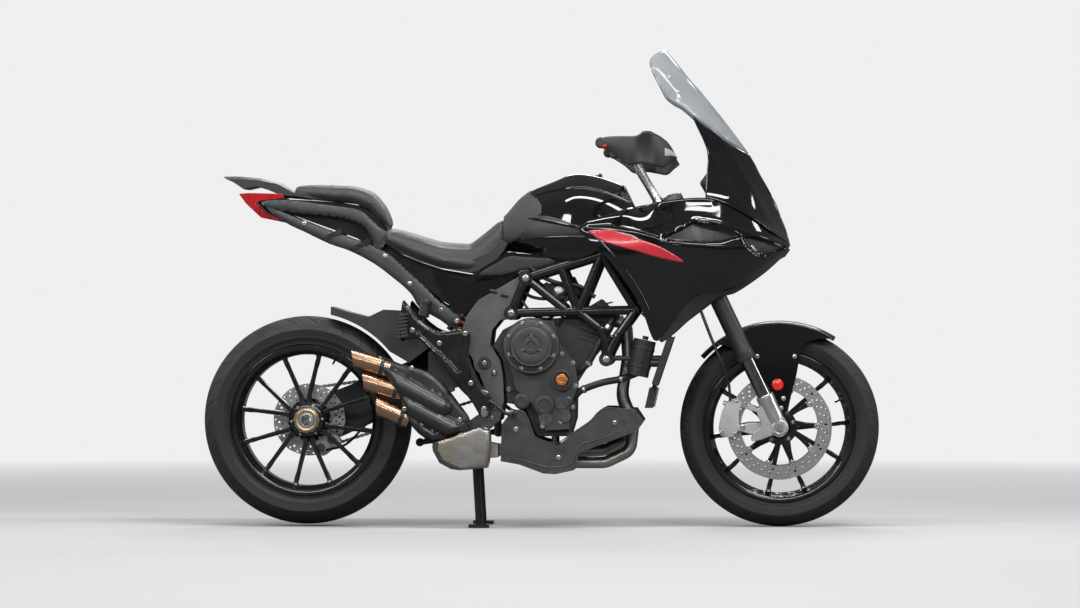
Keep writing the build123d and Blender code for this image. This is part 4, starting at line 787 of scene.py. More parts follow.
def lensFinish(name, slot, deep, pale, ribScale, clear=0.0, glow=0.0, rough=0.08):
    # moulded lens: vertical ribs inside a smooth face
    material, tree, shader = newFinish(name, slot)
    lines = useGroup(tree, brushGroup, -900, 0, Along=(ribScale, 8.0, 8.0), Depth=0.6)
    grain = useGroup(tree, grainGroup, -900, -260, Scale=500.0, Depth=0.2)
    tree.links.new(mixColour(tree, -560, 200, lines.outputs["Streak"], deep, pale),
                   shader.inputs["Base Color"])
    tree.links.new(spread(tree, -560, -20, grain.outputs["Mottle"], 0.3, 0.7, rough, rough + 0.06),
                   shader.inputs["Roughness"])
    shader.inputs["Transmission Weight"].default_value = clear
    shader.inputs["IOR"].default_value = 1.49
    shader.inputs["Coat Weight"].default_value = 0.5
    shader.inputs["Coat Roughness"].default_value = 0.03
    # glow is a faint emission of the lens colour; on the reflectors, which are no lamps, it is a painted
    # glow
    if glow:
        tree.links.new(mixColour(tree, -560, 420, lines.outputs["Streak"], deep, pale),
                       shader.inputs["Emission Color"])
        shader.inputs["Emission Strength"].default_value = glow
    bumpInto(tree, shader, lines.outputs["Height"], 0.0006)
    finish[name] = material


lensFinish("tailLens", "red_lens", (0.22, 0.003, 0.005), (0.50, 0.012, 0.014), 160.0, 0.0, 0.06)
# the reflectors get a faint painted glow, as if light shone out of them
lensFinish("reflectorRed", "red_lens", (0.60, 0.01, 0.008), (0.85, 0.03, 0.02), 700.0, 0.0, 0.15)
lensFinish("indicatorLens", "lamp_glass", (0.62, 0.64, 0.66), (0.78, 0.8, 0.82), 260.0, 0.4)
lensFinish("lampLens", "lamp_glass", (0.42, 0.44, 0.47), (0.66, 0.69, 0.72), 60.0, 0.55, 0.0, 0.03)


def glassFinish(name, slot, deep, pale, scale, smooth, rough, bump, clear, bend):
    material, tree, shader = newFinish(name, slot)
    grain = useGroup(tree, grainGroup, -900, 0, Scale=scale, Depth=0.05)
    mottle = spread(tree, -700, 60, grain.outputs["Mottle"], 0.3, 0.7)
    tree.links.new(mixColour(tree, -500, 200, mottle, deep, pale), shader.inputs["Base Color"])
    polish = spread(tree, -500, -40, grain.outputs["Mottle"], 0.3, 0.7, smooth, rough)
    tree.links.new(polish, shader.inputs["Roughness"])
    shader.inputs["Transmission Weight"].default_value = clear
    shader.inputs["IOR"].default_value = bend
    bumpInto(tree, shader, grain.outputs["Height"], bump)
    finish[name] = material


# clear grey screen, and the dark glass of the instruments
glassFinish("screenSheet", "clear_screen", (0.60, 0.62, 0.64), (0.68, 0.70, 0.72), 80.0, 0.05, 0.10, 0.0002,
            0.75, 1.30)
glassFinish("dashGlass", "lamp_glass", (0.008, 0.009, 0.012), (0.014, 0.015, 0.02), 300.0, 0.04,
            0.08, 0.0001,
            0.0, 1.5)

# seat leathercloth
for name, deep, pale, scale in (("seatHide", (0.018, 0.018, 0.019), (0.034, 0.034, 0.035), 420.0),
                                ("seatPiping", (0.03, 0.03, 0.031), (0.05, 0.05, 0.05), 900.0)):
    material, tree, shader = newFinish(name, "seat_cover")
    hide = useGroup(tree, hideGroup, -900, 0, Scale=scale)
    settled = useGroup(tree, dustGroup, -900, 300, Amount=0.08)
    colour = mixColour(tree, -640, 200, hide.outputs["Valley"], deep, pale)
    tree.links.new(mixColour(tree, -400, 200, settled.outputs["Mask"], colour, (0.22, 0.21, 0.19)),
                   shader.inputs["Base Color"])
    tree.links.new(spread(tree, -500, -40, hide.outputs["Valley"], 0, 1, 0.58, 0.42),
                   shader.inputs["Roughness"])
    shader.inputs["Sheen Weight"].default_value = 0.15
    shader.inputs["Sheen Roughness"].default_value = 0.5
    bumpInto(tree, shader, hide.outputs["Height"], 0.0005, 0.55)
    finish[name] = material
print("finishes built:", len(finish))


def dress(node, name):
    # a CAD node whose shape stays gets its finish
    slots = cadNodes[node].data.materials
    if not len(slots):
        slots.append(finish[name])
    for place in range(len(slots)):
        slots[place] = finish[name]


# tyres

frontAxle = Vector((730, 0, 304))
rearAxle = Vector((-715, 0, 324))

tyreSet = {
    "front": {"centre": frontAxle, "radius": 304, "half": 60, "beadHalf": 42.7, "pitches": 30, "turns": 1},
    "rear": {"centre": rearAxle, "radius": 319, "half": 94, "beadHalf": 73.7, "pitches": 28, "turns": -1},
    "lip": 231,
    "grooveDepth": 3.2,
    "grooveWidth": 5.0,
    "steps": 640,
    # slanting cuts, long ones and short ones between them: the start is a share of the pitch, from and to
    # are shares of the half width, and so are the fades at the two ends
    "cuts": [
        {"start": 0.15, "lean": 1.15, "bend": 1.25, "from": 0.10, "to": 0.86, "fadeIn": 0.12,
         "fadeOut": 0.14,
         "width": 0.62},
        {"start": 0.62, "lean": 0.9, "bend": 1.2, "from": 0.46, "to": 0.95, "fadeIn": 0.1, "fadeOut": 0.08,
         "width": 0.55},
    ],
}


def tyreProfile(radius, half, beadHalf):
    # (radius, distance from the middle) from the left bead round to the right one
    lip = tyreSet["lip"]
    shoulder = radius - 0.47 * (radius - lip)
    crown = radius - shoulder
    crownRadius = (half * half + crown * crown) / (2 * crown)
    reach = math.asin(min(1, half / crownRadius))
    side = [(221.3, beadHalf), (lip + 0.6, beadHalf), (lip + 3, beadHalf + (half - beadHalf) * 0.35),
            (lip + 7, half * 0.84), (lip + 9, half * 0.875), (lip + 11, half * 0.87),
            (lip + 13, half * 0.893), (lip + 20, half * 0.935), (lip + 22, half * 0.95),
            (lip + 24, half * 0.948),
            (lip + 0.72 * (shoulder - lip), half * 0.982), (shoulder - 2.5, half * 0.994)]
    tread = [(radius - crownRadius + crownRadius * math.cos(reach * t / 22),
              crownRadius * math.sin(reach * t / 22))
             for t in range(22, -23, -1)]
    return side, tread, [(r, -y) for r, y in reversed(side)]


def buildTyre(name, node, body, data):
    # the profile swung round the axle, with its tread's cuts pressed in
    left, tread, right = tyreProfile(data["radius"], data["half"], data["beadHalf"])
    profile = left + tread + right
    first, last = len(left), len(left) + len(tread)
    steps = tyreSet["steps"]
    pitch = 2 * math.pi / data["pitches"]
    loops = []
    for k in range(steps):
        turn = 2 * math.pi * k / steps
        loop = []
        for i, (r, y) in enumerate(profile):
            if first <= i < last:
                across = abs(y) / data["half"]
                shift = 0.5 * pitch if y < 0 else 0
                cut = 0.0
                for slit in tyreSet["cuts"]:
                    if slit["from"] < across < slit["to"]:
                        lead = data["turns"] * pitch * (slit["start"]
                                                        + slit["lean"] * across ** slit["bend"])
                        phase = (turn - lead - shift) % pitch
                        gap = min(phase, pitch - phase) * r
                        taper = min(1, (across - slit["from"]) / slit["fadeIn"],
                                    (slit["to"] - across) / slit["fadeOut"])
                        width = tyreSet["grooveWidth"] * slit["width"]
                        cut = max(cut, max(0.0, 1 - (gap / width) ** 4) * taper)
                r -= tyreSet["grooveDepth"] * cut
            loop.append(data["centre"] + Vector((r * math.cos(turn), y, r * math.sin(turn))))
        loops.append(loop)
    form = newForm()
    addSkin(form, loops + [loops[0]], closed=True, ends=False)
    makePiece(name, form, "tyreRubber", body, replaces=(node,), sharp=40)


buildTyre("frontTyre", "front_tyre", "front_wheel", tyreSet["front"])
buildTyre("rearTyre", "rear_tyre", "rear_wheel", tyreSet["rear"])
print("tyres built")


# cast rims

rimSet = {
    "front": {"centre": frontAxle, "half": 49, "pairs": 5, "spread": 15.5, "start": -12, "hub": 34,
              "middle": 0},
    "rear": {"centre": rearAxle, "half": 80, "pairs": 6, "spread": 15, "start": 35, "hub": 52,
             "middle": -34},
    "kink": 178,
    "wall": 206,                    # where the spokes run into the barrel
    "spokeWidth": 15,
    "spokeDepth": 22,
    "spokeTaper": 0.62,
}


def barrelProfile(half):
    return [(214, -half + 2), (218, -half), (229, -half), (231, -half + 1.5), (231, -half + 5),
            (229, -half + 6.5), (221, -half + 9), (214, -half + 22), (207, -half + 34), (207, half - 34),
            (214, half - 22), (221, half - 9), (229, half - 6.5), (231, half - 5), (231, half - 1.5),
            (229, half), (218, half), (214, half - 2), (212, half - 8), (208, half - 22), (201, half - 35),
            (201, -half + 35), (208, -half + 22), (212, -half + 8)]


def spokeLoop(place, along, y, width, depth):
    # eight-cornered section, narrower at both faces than in the middle
    side = Vector((-along.z, 0, along.x))
    w, d = width / 2, depth / 2
    taper = rimSet["spokeTaper"]
    shape = [(-w, -d * 0.5), (-w * taper, -d), (w * taper, -d), (w, -d * 0.5),
             (w, d * 0.5), (w * taper, d), (-w * taper, d), (-w, d * 0.5)]
    return [place + side * a + Vector((0, y + b, 0)) for a, b in shape]


def rimForm(data):
    # the barrel, and pairs of kinked spokes between it and the hub
    centre = data["centre"]
    form = newForm()
    addLathe(form, barrelProfile(data["half"]), centre, (0, 1, 0), 120, closed=True)
    width, depth = rimSet["spokeWidth"], rimSet["spokeDepth"]
    for pair in range(data["pairs"]):
        for side in (-1, 1):
            angle = data["start"] + 360 / data["pairs"] * pair + side * data["spread"]
            stops = [
                (data["hub"] - 6, angle - side * data["spread"] * 0.5, width * 1.35, depth * 1.35),
                (data["hub"] + 26, angle - side * data["spread"] * 0.34, width * 1.0, depth * 1.1),
                (rimSet["kink"] - 18, angle - side * data["spread"] * 0.04, width * 0.86, depth * 0.92),
                (rimSet["kink"], angle, width * 1.02, depth * 0.95),
                (rimSet["kink"] + 14, angle + side * 0.3, width * 0.95, depth),
                (rimSet["wall"], angle, width * 1.25, depth * 1.3),
            ]
            places = [polarPoint(centre, r, a) for r, a, _, _ in stops]
            loops = []
            for i, (_, _, w, d) in enumerate(stops):
                ahead = places[min(i + 1, len(places) - 1)] - places[max(i - 1, 0)]
                loops.append(spokeLoop(places[i], ahead.normalized(), data["middle"], w, d))
            addSkin(form, loops)
    return form


form = rimForm(rimSet["front"])
addLathe(form, [(19, -60), (30, -60), (34, -54), (34, -30), (29, -18), (29, 18), (34, 30), (34, 54),
                (30, 60), (19, 60), (13.2, 62), (13.2, -62)], frontAxle, (0, 1, 0), 48, closed=True)
for pair in range(5):
    # web between the two roots of a pair
    addLathe(form, [(0, -12), (10, -12), (12, -9), (12, 9), (10, 12), (0, 12)],
             polarPoint(frontAxle, 42, rimSet["front"]["start"] + 72 * pair), (0, 1, 0), 16)
makePiece("frontRim", form, "wheelPaint", "front_wheel", replaces=("front_rim",), bevel=1.1, sharp=45)

form = rimForm(rimSet["rear"])
addLathe(form, [(26, 33), (48, 33), (52, 28), (52, -10), (56, -20), (56, -50), (50, -58), (43, -60),
                (26, -60)],
         rearAxle, (0, 1, 0), 64, closed=True)
makePiece("rearRim", form, "wheelPaint", "rear_wheel", replaces=("rear_rim",), bevel=1.1, sharp=45)

# rear spindle, its golden nut and the bright bore
form = newForm()
addLathe(form, [(14, 195), (22, 195), (25, 192), (25, -50), (14, -50)], rearAxle, (0, 1, 0), 48,
         closed=True)
addLathe(form, [(14.2, -60), (22, -60), (23, -77), (15.5, -77.5), (14.2, -74)], rearAxle, (0, 1, 0), 48,
         closed=True)
makePiece("rearSpindle", form, "boltSteel", "rear_wheel", bevel=0.6)
form = newForm()
addLathe(form, [(23, -60), (40, -60), (40, -66), (37, -70), (35, -70), (34, -76), (31, -78), (25, -77),
                (23, -74)],
         rearAxle, (0, 1, 0), 60, closed=True)
for k in range(12):
    addLathe(form, [(0, -69.5), (2.2, -69.5), (2.2, -71.2), (0, -71.2)],
             polarPoint(rearAxle, 37.6, 30 * k), (0, 1, 0), 10)
makePiece("rearHubNut", form, "goldAnodised", "rear_wheel", bevel=0.5)
bolts = newForm()
for k in range(6):
    addBolt(bolts, polarPoint(rearAxle + Vector((0, -57, 0)), 47, 60 * k + 5), (0, -1, 0), 3.4, 5)
addRod(bolts, polarPoint(rearAxle + Vector((0, -40, 0)), 203, 65),
       polarPoint(rearAxle + Vector((0, -58, 0)), 190, 65),
       3.2, 12)
makePiece("rearHubBolts", bolts, "boltSteel", "rear_wheel", bevel=0.3)
valve = newForm()
addRod(valve, polarPoint(frontAxle, 203, 24), polarPoint(frontAxle + Vector((0, -16, 0)), 186, 24), 3.2, 12)
makePiece("frontValve", valve, "boltSteel", "front_wheel", bevel=0.3)
print("rims built")


# brake discs and carriers

discSet = {
    "outer": 160, "inner": 118, "holes": 34, "near": 66.0, "far": 70.5,
    "rearOuter": 111, "rearInner": 66, "rearHoles": 26, "rearNear": 34.0, "rearFar": 38.5,
    "rows": ((152, 3.4), (141, 4.0), (130, 3.6)),           # radius of the row and of its holes
    "rearRows": ((104, 3.0), (93.5, 3.6), (83, 3.2)),
    "arms": 10,
}


def drilledRing(form, centre, outer, inner, rows, count, yFrom, yTo, wave):
    # an outline in gentle waves, with slanting rows of drilled holes
    rim = []
    for k in range(180):
        turn = 2 * math.pi * k / 180
        radius = outer - wave * (0.5 + 0.5 * math.cos(10 * turn))
        rim.append((radius * math.cos(turn), radius * math.sin(turn)))
    holes = [ringOutline(inner, 120)]
    for row, (radius, size) in enumerate(rows):
        for k in range(count):
            turn = 2 * math.pi * (k + 0.34 * row) / count
            holes.append([(radius * math.cos(turn) + x, radius * math.sin(turn) + z)
                          for x, z in ringOutline(size, 10)])
    addFlat(form, rim, holes, yFrom, yTo, (centre[0], centre[2]))


for side, label in ((1, "Left"), (-1, "Right")):
    form = newForm()
    drilledRing(form, frontAxle, discSet["outer"], discSet["inner"], discSet["rows"], discSet["holes"],
                side * discSet["near"], side * discSet["far"], 1.2)
    makePiece("frontDisc" + label, form, "discSteel", "front_wheel",
              replaces=("front_discs",) if side == 1 else (), bevel=0.3, sharp=30)
    carrier = newForm()
    addLathe(carrier, [(34.2, side * 60), (52, side * 60), (54, side * 61.5), (54, side * 65),
                       (50, side * 66.5), (34.2, side * 66.5)], frontAxle, (0, 1, 0), 60, closed=True)
    bobbins = newForm()
    for arm in range(discSet["arms"]):
        angle = 360 / discSet["arms"] * arm + 2
        foot, head = polarPoint(frontAxle, 46, angle + 14), polarPoint(frontAxle, 110, angle)
        along = (head - foot).normalized()
        aside = Vector((-along.z, 0, along.x))
        loops = []
        for place, w, near, far in ((foot, 7, 60.2, 66.2), (foot.lerp(head, 0.5), 4.6, 60.6, 65.6),
                                    (head, 6.2, 60.4, 66.0)):
            loops.append([place + aside * a + Vector((0, side * y, 0)) for a, y in
                          ((-w, near), (w, near), (w, far), (-w, far))])
        addSkin(carrier, loops)
        addLathe(bobbins, [(0, side * 60), (5, side * 60), (9.5, side * 61), (9.5, side * 66),
                           (8.5, side * 71.2), (4.2, side * 71.6), (3.6, side * 69.6), (0, side * 69.6)],
                 polarPoint(frontAxle, 115, angle - 0.5), (0, 1, 0), 20)
    for k in range(5):
        addBolt(bobbins, polarPoint(frontAxle, 44, 72 * k + 20) + Vector((0, side * 66, 0)),
                (0, side, 0), 4, 5)
    makePiece("frontCarrier" + label, carrier, "wheelPaint", "front_wheel", bevel=0.8)
    makePiece("frontBobbins" + label, bobbins, "boltSteel", "front_wheel", bevel=0.3)

form = newForm()
drilledRing(form, rearAxle, discSet["rearOuter"], discSet["rearInner"], discSet["rearRows"],
            discSet["rearHoles"],
            discSet["rearNear"], discSet["rearFar"], 1.0)
makePiece("rearDisc", form, "discSteel", "rear_wheel", replaces=("rear_disc",), bevel=0.3, sharp=30)
form = newForm()
addLathe(form, [(25.2, 34.2), (70, 34.2), (72, 36), (72, 39), (66, 41), (44, 41), (40, 46), (25.2, 46)],
         rearAxle, (0, 1, 0), 60, closed=True)
makePiece("rearCarrier", form, "wheelPaint", "rear_wheel", bevel=0.6)
form = newForm()
for k in range(6):
    addBolt(form, polarPoint(rearAxle, 68, 60 * k) + Vector((0, 39, 0)), (0, 1, 0), 4, 5)
    addLathe(form, [(0, 32.5), (6.5, 32.5), (6.5, 34.5), (0, 34.5)], polarPoint(rearAxle, 68, 60 * k),
             (0, 1, 0), 16)
makePiece("rearDiscBolts", form, "boltSteel", "rear_wheel", bevel=0.3)
print("discs built")


# sprocket and chain

driveSet = {
    "rear": (-715, 324), "rearRadius": 95.1, "teeth": 41, "front": (-60, 470), "frontRadius": 40.5,
    "middle": 178, "linkPitch": 15.9, "root": 82.0, "tooth": 5.8, "plate": (175.2, 180.8),
}

form = newForm()
teeth = driveSet["teeth"]
outline = []
for k in range(teeth * 6):
    turn = 2 * math.pi * k / (teeth * 6)
    rise = (0.0, 0.55, 1.0, 1.0, 0.55, 0.0)[k % 6]
    radius = driveSet["root"] + driveSet["tooth"] * rise
    outline.append((radius * math.cos(turn), radius * math.sin(turn)))
holes = [ringOutline(25.4, 48)]
for k in range(5):
    turn = 2 * math.pi * (k + 0.5) / 5
    holes.append([(58 * math.cos(turn) + x, 58 * math.sin(turn) + z) for x, z in ringOutline(13, 28)])
addFlat(form, outline, holes, *driveSet["plate"], driveSet["rear"])
makePiece("rearSprocket", form, "chainSteel", "rear_wheel", replaces=("rear_sprocket",), bevel=0.5,
          sharp=30)
form = newForm()
addLathe(form, [(25.3, 181), (44, 181), (46, 183), (42, 192), (30, 195), (25.3, 195)], rearAxle,
         (0, 1, 0), 48, closed=True)
for k in range(5):
    addBolt(form, polarPoint(rearAxle + Vector((0, 181, 0)), 38, 72 * k), (0, 1, 0), 5, 7)
makePiece("sprocketCarrier", form, "goldAnodised", "rear_wheel", bevel=0.6)


def chainLine():
    # the loop's straight runs and arcs, one point for each link pin
    (ax, az), (bx, bz) = driveSet["rear"], driveSet["front"]
    ra, rb = driveSet["rearRadius"], driveSet["frontRadius"]
    gap = math.hypot(bx - ax, bz - az)
    lean = math.atan2(bz - az, bx - ax)
    wrap = math.acos((ra - rb) / gap)
    line = []
    for k in range(121):
        turn = lean + wrap + (2 * math.pi - 2 * wrap) * k / 120
        line.append((ax + ra * math.cos(turn), az + ra * math.sin(turn)))
    for k in range(61):
        turn = lean - wrap + 2 * wrap * k / 60
        line.append((bx + rb * math.cos(turn), bz + rb * math.sin(turn)))
    line.append(line[0])
    total = sum(math.dist(a, b) for a, b in zip(line, line[1:]))
    count = 2 * round(total / driveSet["linkPitch"] / 2)
    pins, run, want = [], 0.0, 0.0
    for a, b in zip(line, line[1:]):
        step = math.dist(a, b)
        while len(pins) < count and want <= run + step:
            t = (want - run) / step
            pins.append((a[0] + (b[0] - a[0]) * t, a[1] + (b[1] - a[1]) * t))
            want += total / count
        run += step
    return pins


pins = chainLine()
chainMiddle = driveSet["middle"]
form = newForm()
for k, (x, z) in enumerate(pins):
    u, w = pins[(k + 1) % len(pins)]
    along = Vector((u - x, 0, w - z)).normalized()
    aside = Vector((-along.z, 0, along.x))
    outer = k % 2
    for side in (-1, 1):
        y0 = chainMiddle + side * (4.9 if outer else 3.4)
        y1 = chainMiddle + side * (6.4 if outer else 4.8)
        shape = []
        for c, base in (((x, z), 90), ((u, w), -90)):
            for step in range(5):
                turn = math.radians(base + 45 * step)
                off = along * math.cos(turn) * 5.4 + aside * math.sin(turn) * 5.4
                shape.append((c[0] + off.x, c[1] + off.z))
        mid = Vector(((x + u) / 2, 0, (z + w) / 2))
        low, top = mid - aside * 3.6, mid + aside * 3.6
        addSlab(form, shape[:5] + [(low.x, low.z)] + shape[5:] + [(top.x, top.z)], y0, y1)
    addRod(form, (x, chainMiddle - 6.9, z), (x, chainMiddle + 6.9, z), 2.3, 8)
    addRod(form, (x, chainMiddle - 3.2, z), (x, chainMiddle + 3.2, z), 4.6, 10)
addLathe(form, [(14, 174), (34, 175), (36, 176), (36, 180), (34, 181), (14, 184)], (-60, 0, 470),
         (0, 1, 0), 32, closed=True)
addRod(form, (-60, 157, 470), (-60, 186, 470), 13.8, 24)
makePiece("driveChain", form, "chainSteel", "chassis", replaces=("drive_chain",), sharp=35)
print("chain built:", len(pins), "links")


# smooth forms read from cross sections


def hermite(a, b, slopeA, slopeB, t):
    # from a to b as t goes from 0 to 1, leaving and arriving with these slopes
    return ((2 * t ** 3 - 3 * t ** 2 + 1) * a + (t ** 3 - 2 * t ** 2 + t) * slopeA
            + (-2 * t ** 3 + 3 * t ** 2) * b + (t ** 3 - t ** 2) * slopeB)


def smoothRead(table, at):
    # like between(), but a smooth line through the values
    if at <= table[0][0]:
        return table[0][1]
    if at >= table[-1][0]:
        return table[-1][1]
    for i in range(len(table) - 1):
        (a, va), (b, vb) = table[i], table[i + 1]
        if at <= b:
            before = table[i - 1] if i else (2 * a - b, 2 * va - vb)
            after = table[i + 2] if i + 2 < len(table) else (2 * b - a, 2 * vb - va)
            gap = b - a
            slopeA = (vb - before[1]) / (b - before[0]) * gap
            slopeB = (after[1] - va) / (after[0] - a) * gap
            return hermite(va, vb, slopeA, slopeB, (at - a) / gap)


def sectionAt(sections, x):
    # the half section at x, each of its points on a smooth line through the given sections
    count = len(sections[0][1])
    return [(smoothRead([(sx, half[i][0]) for sx, half in sections], x),
             smoothRead([(sx, half[i][1]) for sx, half in sections], x)) for i in range(count)]


def halfAt(sections, x, z):
    # the half width at x and z
    points = sorted(((pz, py) for py, pz in sectionAt(sections, x)))
    return smoothRead(points, z)


def distanceTo(line, x, z):
    # how far the point is from the line, and on which side of it
    best, side = 1e9, 0
    for (ax, az), (bx, bz) in zip(line, line[1:]):
        ux, uz = bx - ax, bz - az
        t = max(0, min(1, ((x - ax) * ux + (z - az) * uz) / max(1e-9, ux * ux + uz * uz)))
        gap = math.hypot(x - ax - ux * t, z - az - uz * t)
        if gap < best:
            best, side = gap, ux * (z - az) - uz * (x - ax)
    return best, side


def rimGap(outline, x, z):
    # how far the point is from the closed outline
    return distanceTo(outline + outline[:1], x, z)[0]


def insideOf(outline, x, z):
    # whether the point is inside this closed outline
    hit = False
    for (ax, az), (bx, bz) in zip(outline, outline[1:] + outline[:1]):
        if (az > z) != (bz > z) and x < (bx - ax) * (z - az) / (bz - az) + ax:
            hit = not hit
    return hit


def sheetForm(low, high, columns, rows, depth):
    # a sheet between two lines in the side view, from the rear to the front; depth gives its half width
    form = newForm()
    lineLow = smoothRoute([(x, 0, z) for x, z in low], 12)
    lineHigh = smoothRoute([(x, 0, z) for x, z in high], 12)
    lows = [pointAlong(lineLow, c / columns) for c in range(columns + 1)]
    highs = [pointAlong(lineHigh, c / columns) for c in range(columns + 1)]
    loops = []
    for r in range(rows + 1):
        loop = []
        for c in range(columns + 1):
            p = lows[c].lerp(highs[c], r / rows)
            loop.append(Vector((p.x, -depth(p.x, p.z), p.z)))
        loops.append(loop)
    addSkin(form, loops, closed=False, ends=False)
    return mirrored(form)


def beadAlong(form, line, depth, radius, lift=0.0, flat=0.6):
    # a slim raised edge that lies along a line of the side view, on both sides
    route = smoothRoute([(x, 0, z) for x, z in line], 5)
    route = [Vector((p.x, -depth(p.x, p.z) - lift, p.z)) for p in route]
    count = len(route)
    loops = []
    for i, place in enumerate(route):
        along = (route[min(i + 1, count - 1)] - route[max(i - 1, 0)]).normalized()
        aside = along.cross(Vector((0, 1, 0))).normalized()
        size = radius * min(1, 0.25 + 3.0 * min(i, count - 1 - i) / count)
        loops.append([place + aside * math.cos(2 * math.pi * k / 10) * size
                      + Vector((0, math.sin(2 * math.pi * k / 10) * size * flat, 0)) for k in range(10)])
    part = newForm()
    addSkin(part, loops)
    mirrored(part)
    addTo(form, part["points"], part["faces"])


# fairing

fairingSet = {
    "sections": [
        (100, [(190, 780), (222, 860), (218, 905), (200, 935), (150, 955)]),
        (250, [(188, 640), (236, 800), (238, 880), (212, 940), (160, 985)]),
        (340, [(180, 540), (236, 800), (239, 885), (206, 950), (150, 1000)]),
        (450, [(172, 560), (234, 800), (235, 885), (190, 1010), (164, 1262)]),
        (560, [(150, 660), (213, 800), (213, 885), (168, 1010), (112, 1196)]),
        (640, [(116, 720), (170, 810), (173, 875), (128, 1000), (62, 1134)]),
        (705, [(84, 785), (119, 830), (123, 872), (84, 930), (36, 1008)]),
        (764, [(22, 834), (34, 846), (36, 856), (30, 862), (16, 868)]),
    ],
    "lowEdge": [(118, 905), (187, 842), (248, 767), (308, 673), (338, 592), (353, 568), (376, 582),
                (444, 676), (489, 709), (549, 718), (610, 736), (682, 792), (756, 842)],
    "highEdge": [(118, 907), (150, 928), (230, 958), (350, 986), (440, 998), (505, 1000), (560, 985),
                 (640, 944), (705, 900), (762, 862)],
    "vent": [(366, 878), (420, 900), (470, 928), (540, 918), (600, 900), (612, 880), (560, 866), (500, 862),
             (430, 864), (395, 868)],
    "intake": [(612, 886), (650, 884), (700, 872), (752, 856), (744, 846), (690, 826), (664, 824),
               (632, 850)],
    "slash": [(150, 898), (186, 903), (226, 901), (278, 884), (330, 866), (380, 846), (440, 806),
              (372, 817), (300, 838), (240, 854), (200, 866), (176, 880)],
    "sunk": (("vent", 15), ("intake", 16)),
    "wall": 3.5,
    # slim raised edges: line of the side view, radius and lift
    "edges": [
        ([(150, 902), (206, 850), (262, 784), (318, 694), (350, 622)], 4.2, 1.2),
        ([(376, 866), (430, 861), (500, 856), (560, 852), (606, 855)], 4.5, 1.0),
        ([(366, 880), (400, 874), (440, 866)], 2.5, 0.6),
        ([(476, 934), (540, 924), (610, 902), (700, 873), (758, 858)], 4.0, 1.0),
        ([(480, 930), (545, 912), (604, 893), (634, 856), (668, 822), (706, 806)], 3.4, 0.8),
        ([(150, 913), (210, 916), (290, 903), (366, 881), (384, 874)], 3.0, 0.8),
    ],
}


def fairingHalf(x, z):
    return halfAt(fairingSet["sections"], x, z)


# folds: line of the side view, height of the fold, width below it and above it
fairingFolds = [
    ([(395, 868), (430, 862), (500, 857), (560, 853), (610, 856)], 5.0, 26, 7),
    ([(470, 936), (540, 925), (610, 903), (700, 874), (760, 858)], 5.0, 20, 6),
    ([(480, 922), (540, 908), (600, 892), (632, 858), (690, 824)], 3.5, 9, 9),
    ([(150, 912), (210, 915), (290, 902), (366, 880), (390, 872)], 4.0, 12, 5),
    ([(120, 915), (210, 945), (330, 968), (450, 985), (520, 985)], 2.5, 14, 14),
    ([(390, 640), (450, 715), (520, 752), (610, 770), (690, 812)], 3.0, 22, 12),
]


def folded(half, folds, x, z):
    # the half width with its folds raised
    for line, height, below, above in folds:
        gap, side = distanceTo(line, x, z)
        half += height * math.exp(-(gap / (above if side > 0 else below)) ** 2)
    return half


def fairingDepth(x, z):
    half = folded(fairingHalf(x, z), fairingFolds, x, z)
    for name, deep in fairingSet["sunk"]:
        outline = fairingSet[name]
        if insideOf(outline, x, z):
            half -= deep * min(1, rimGap(outline, x, z) / 7.0) ** 0.8
    return half


form = sheetForm(fairingSet["lowEdge"], fairingSet["highEdge"], 140, 60, fairingDepth)
makePiece("sideFairing", form, "bodyPaint", "chassis", replaces=("side_fairings",),
          thick=fairingSet["wall"],
          sharp=60)

form = newForm()
for line, radius, lift in fairingSet["edges"]:
    beadAlong(form, line, fairingDepth, radius, lift)
makePiece("fairingEdges", form, "bodyPaint", "chassis", sharp=60)


def netOver(outline, longest, rounds, smooth):
    # triangles that fill the outline in the side view, split until their edges are short enough
    mesh = bmesh.new()
    line = smoothRoute([(x, 0, z) for x, z in outline], smooth, closed=True)
    mesh.faces.new([mesh.verts.new(p) for p in line])
    bmesh.ops.triangulate(mesh, faces=mesh.faces[:])
    for _ in range(rounds):
        long = [e for e in mesh.edges if e.calc_length() > longest]
        if not long:
            break
        bmesh.ops.subdivide_edges(mesh, edges=long, cuts=1)
        bmesh.ops.triangulate(mesh, faces=mesh.faces[:])
        bmesh.ops.beautify_fill(mesh, faces=mesh.faces[:],
                                edges=[e for e in mesh.edges if len(e.link_faces) == 2])
    mesh.verts.index_update()
    points = [v.co.copy() for v in mesh.verts]
    cells = [tuple(v.index for v in f.verts) for f in mesh.faces]
    mesh.free()
    return line, points, cells


def patchForm(outline, depth, lift, longest):
    # a thin patch with this outline laid on the fairing, on both sides
    _, points, cells = netOver(outline, longest, 6, 6)
    part = newForm()
    addTo(part, [(p.x, -depth(p.x, p.z) - lift, p.z) for p in points], cells)
    return mirrored(part)


form = patchForm(fairingSet["slash"], fairingDepth, 0.7, 8.0)
makePiece("redSlash", form, "slashRed", "chassis", thick=0.6, sharp=60)

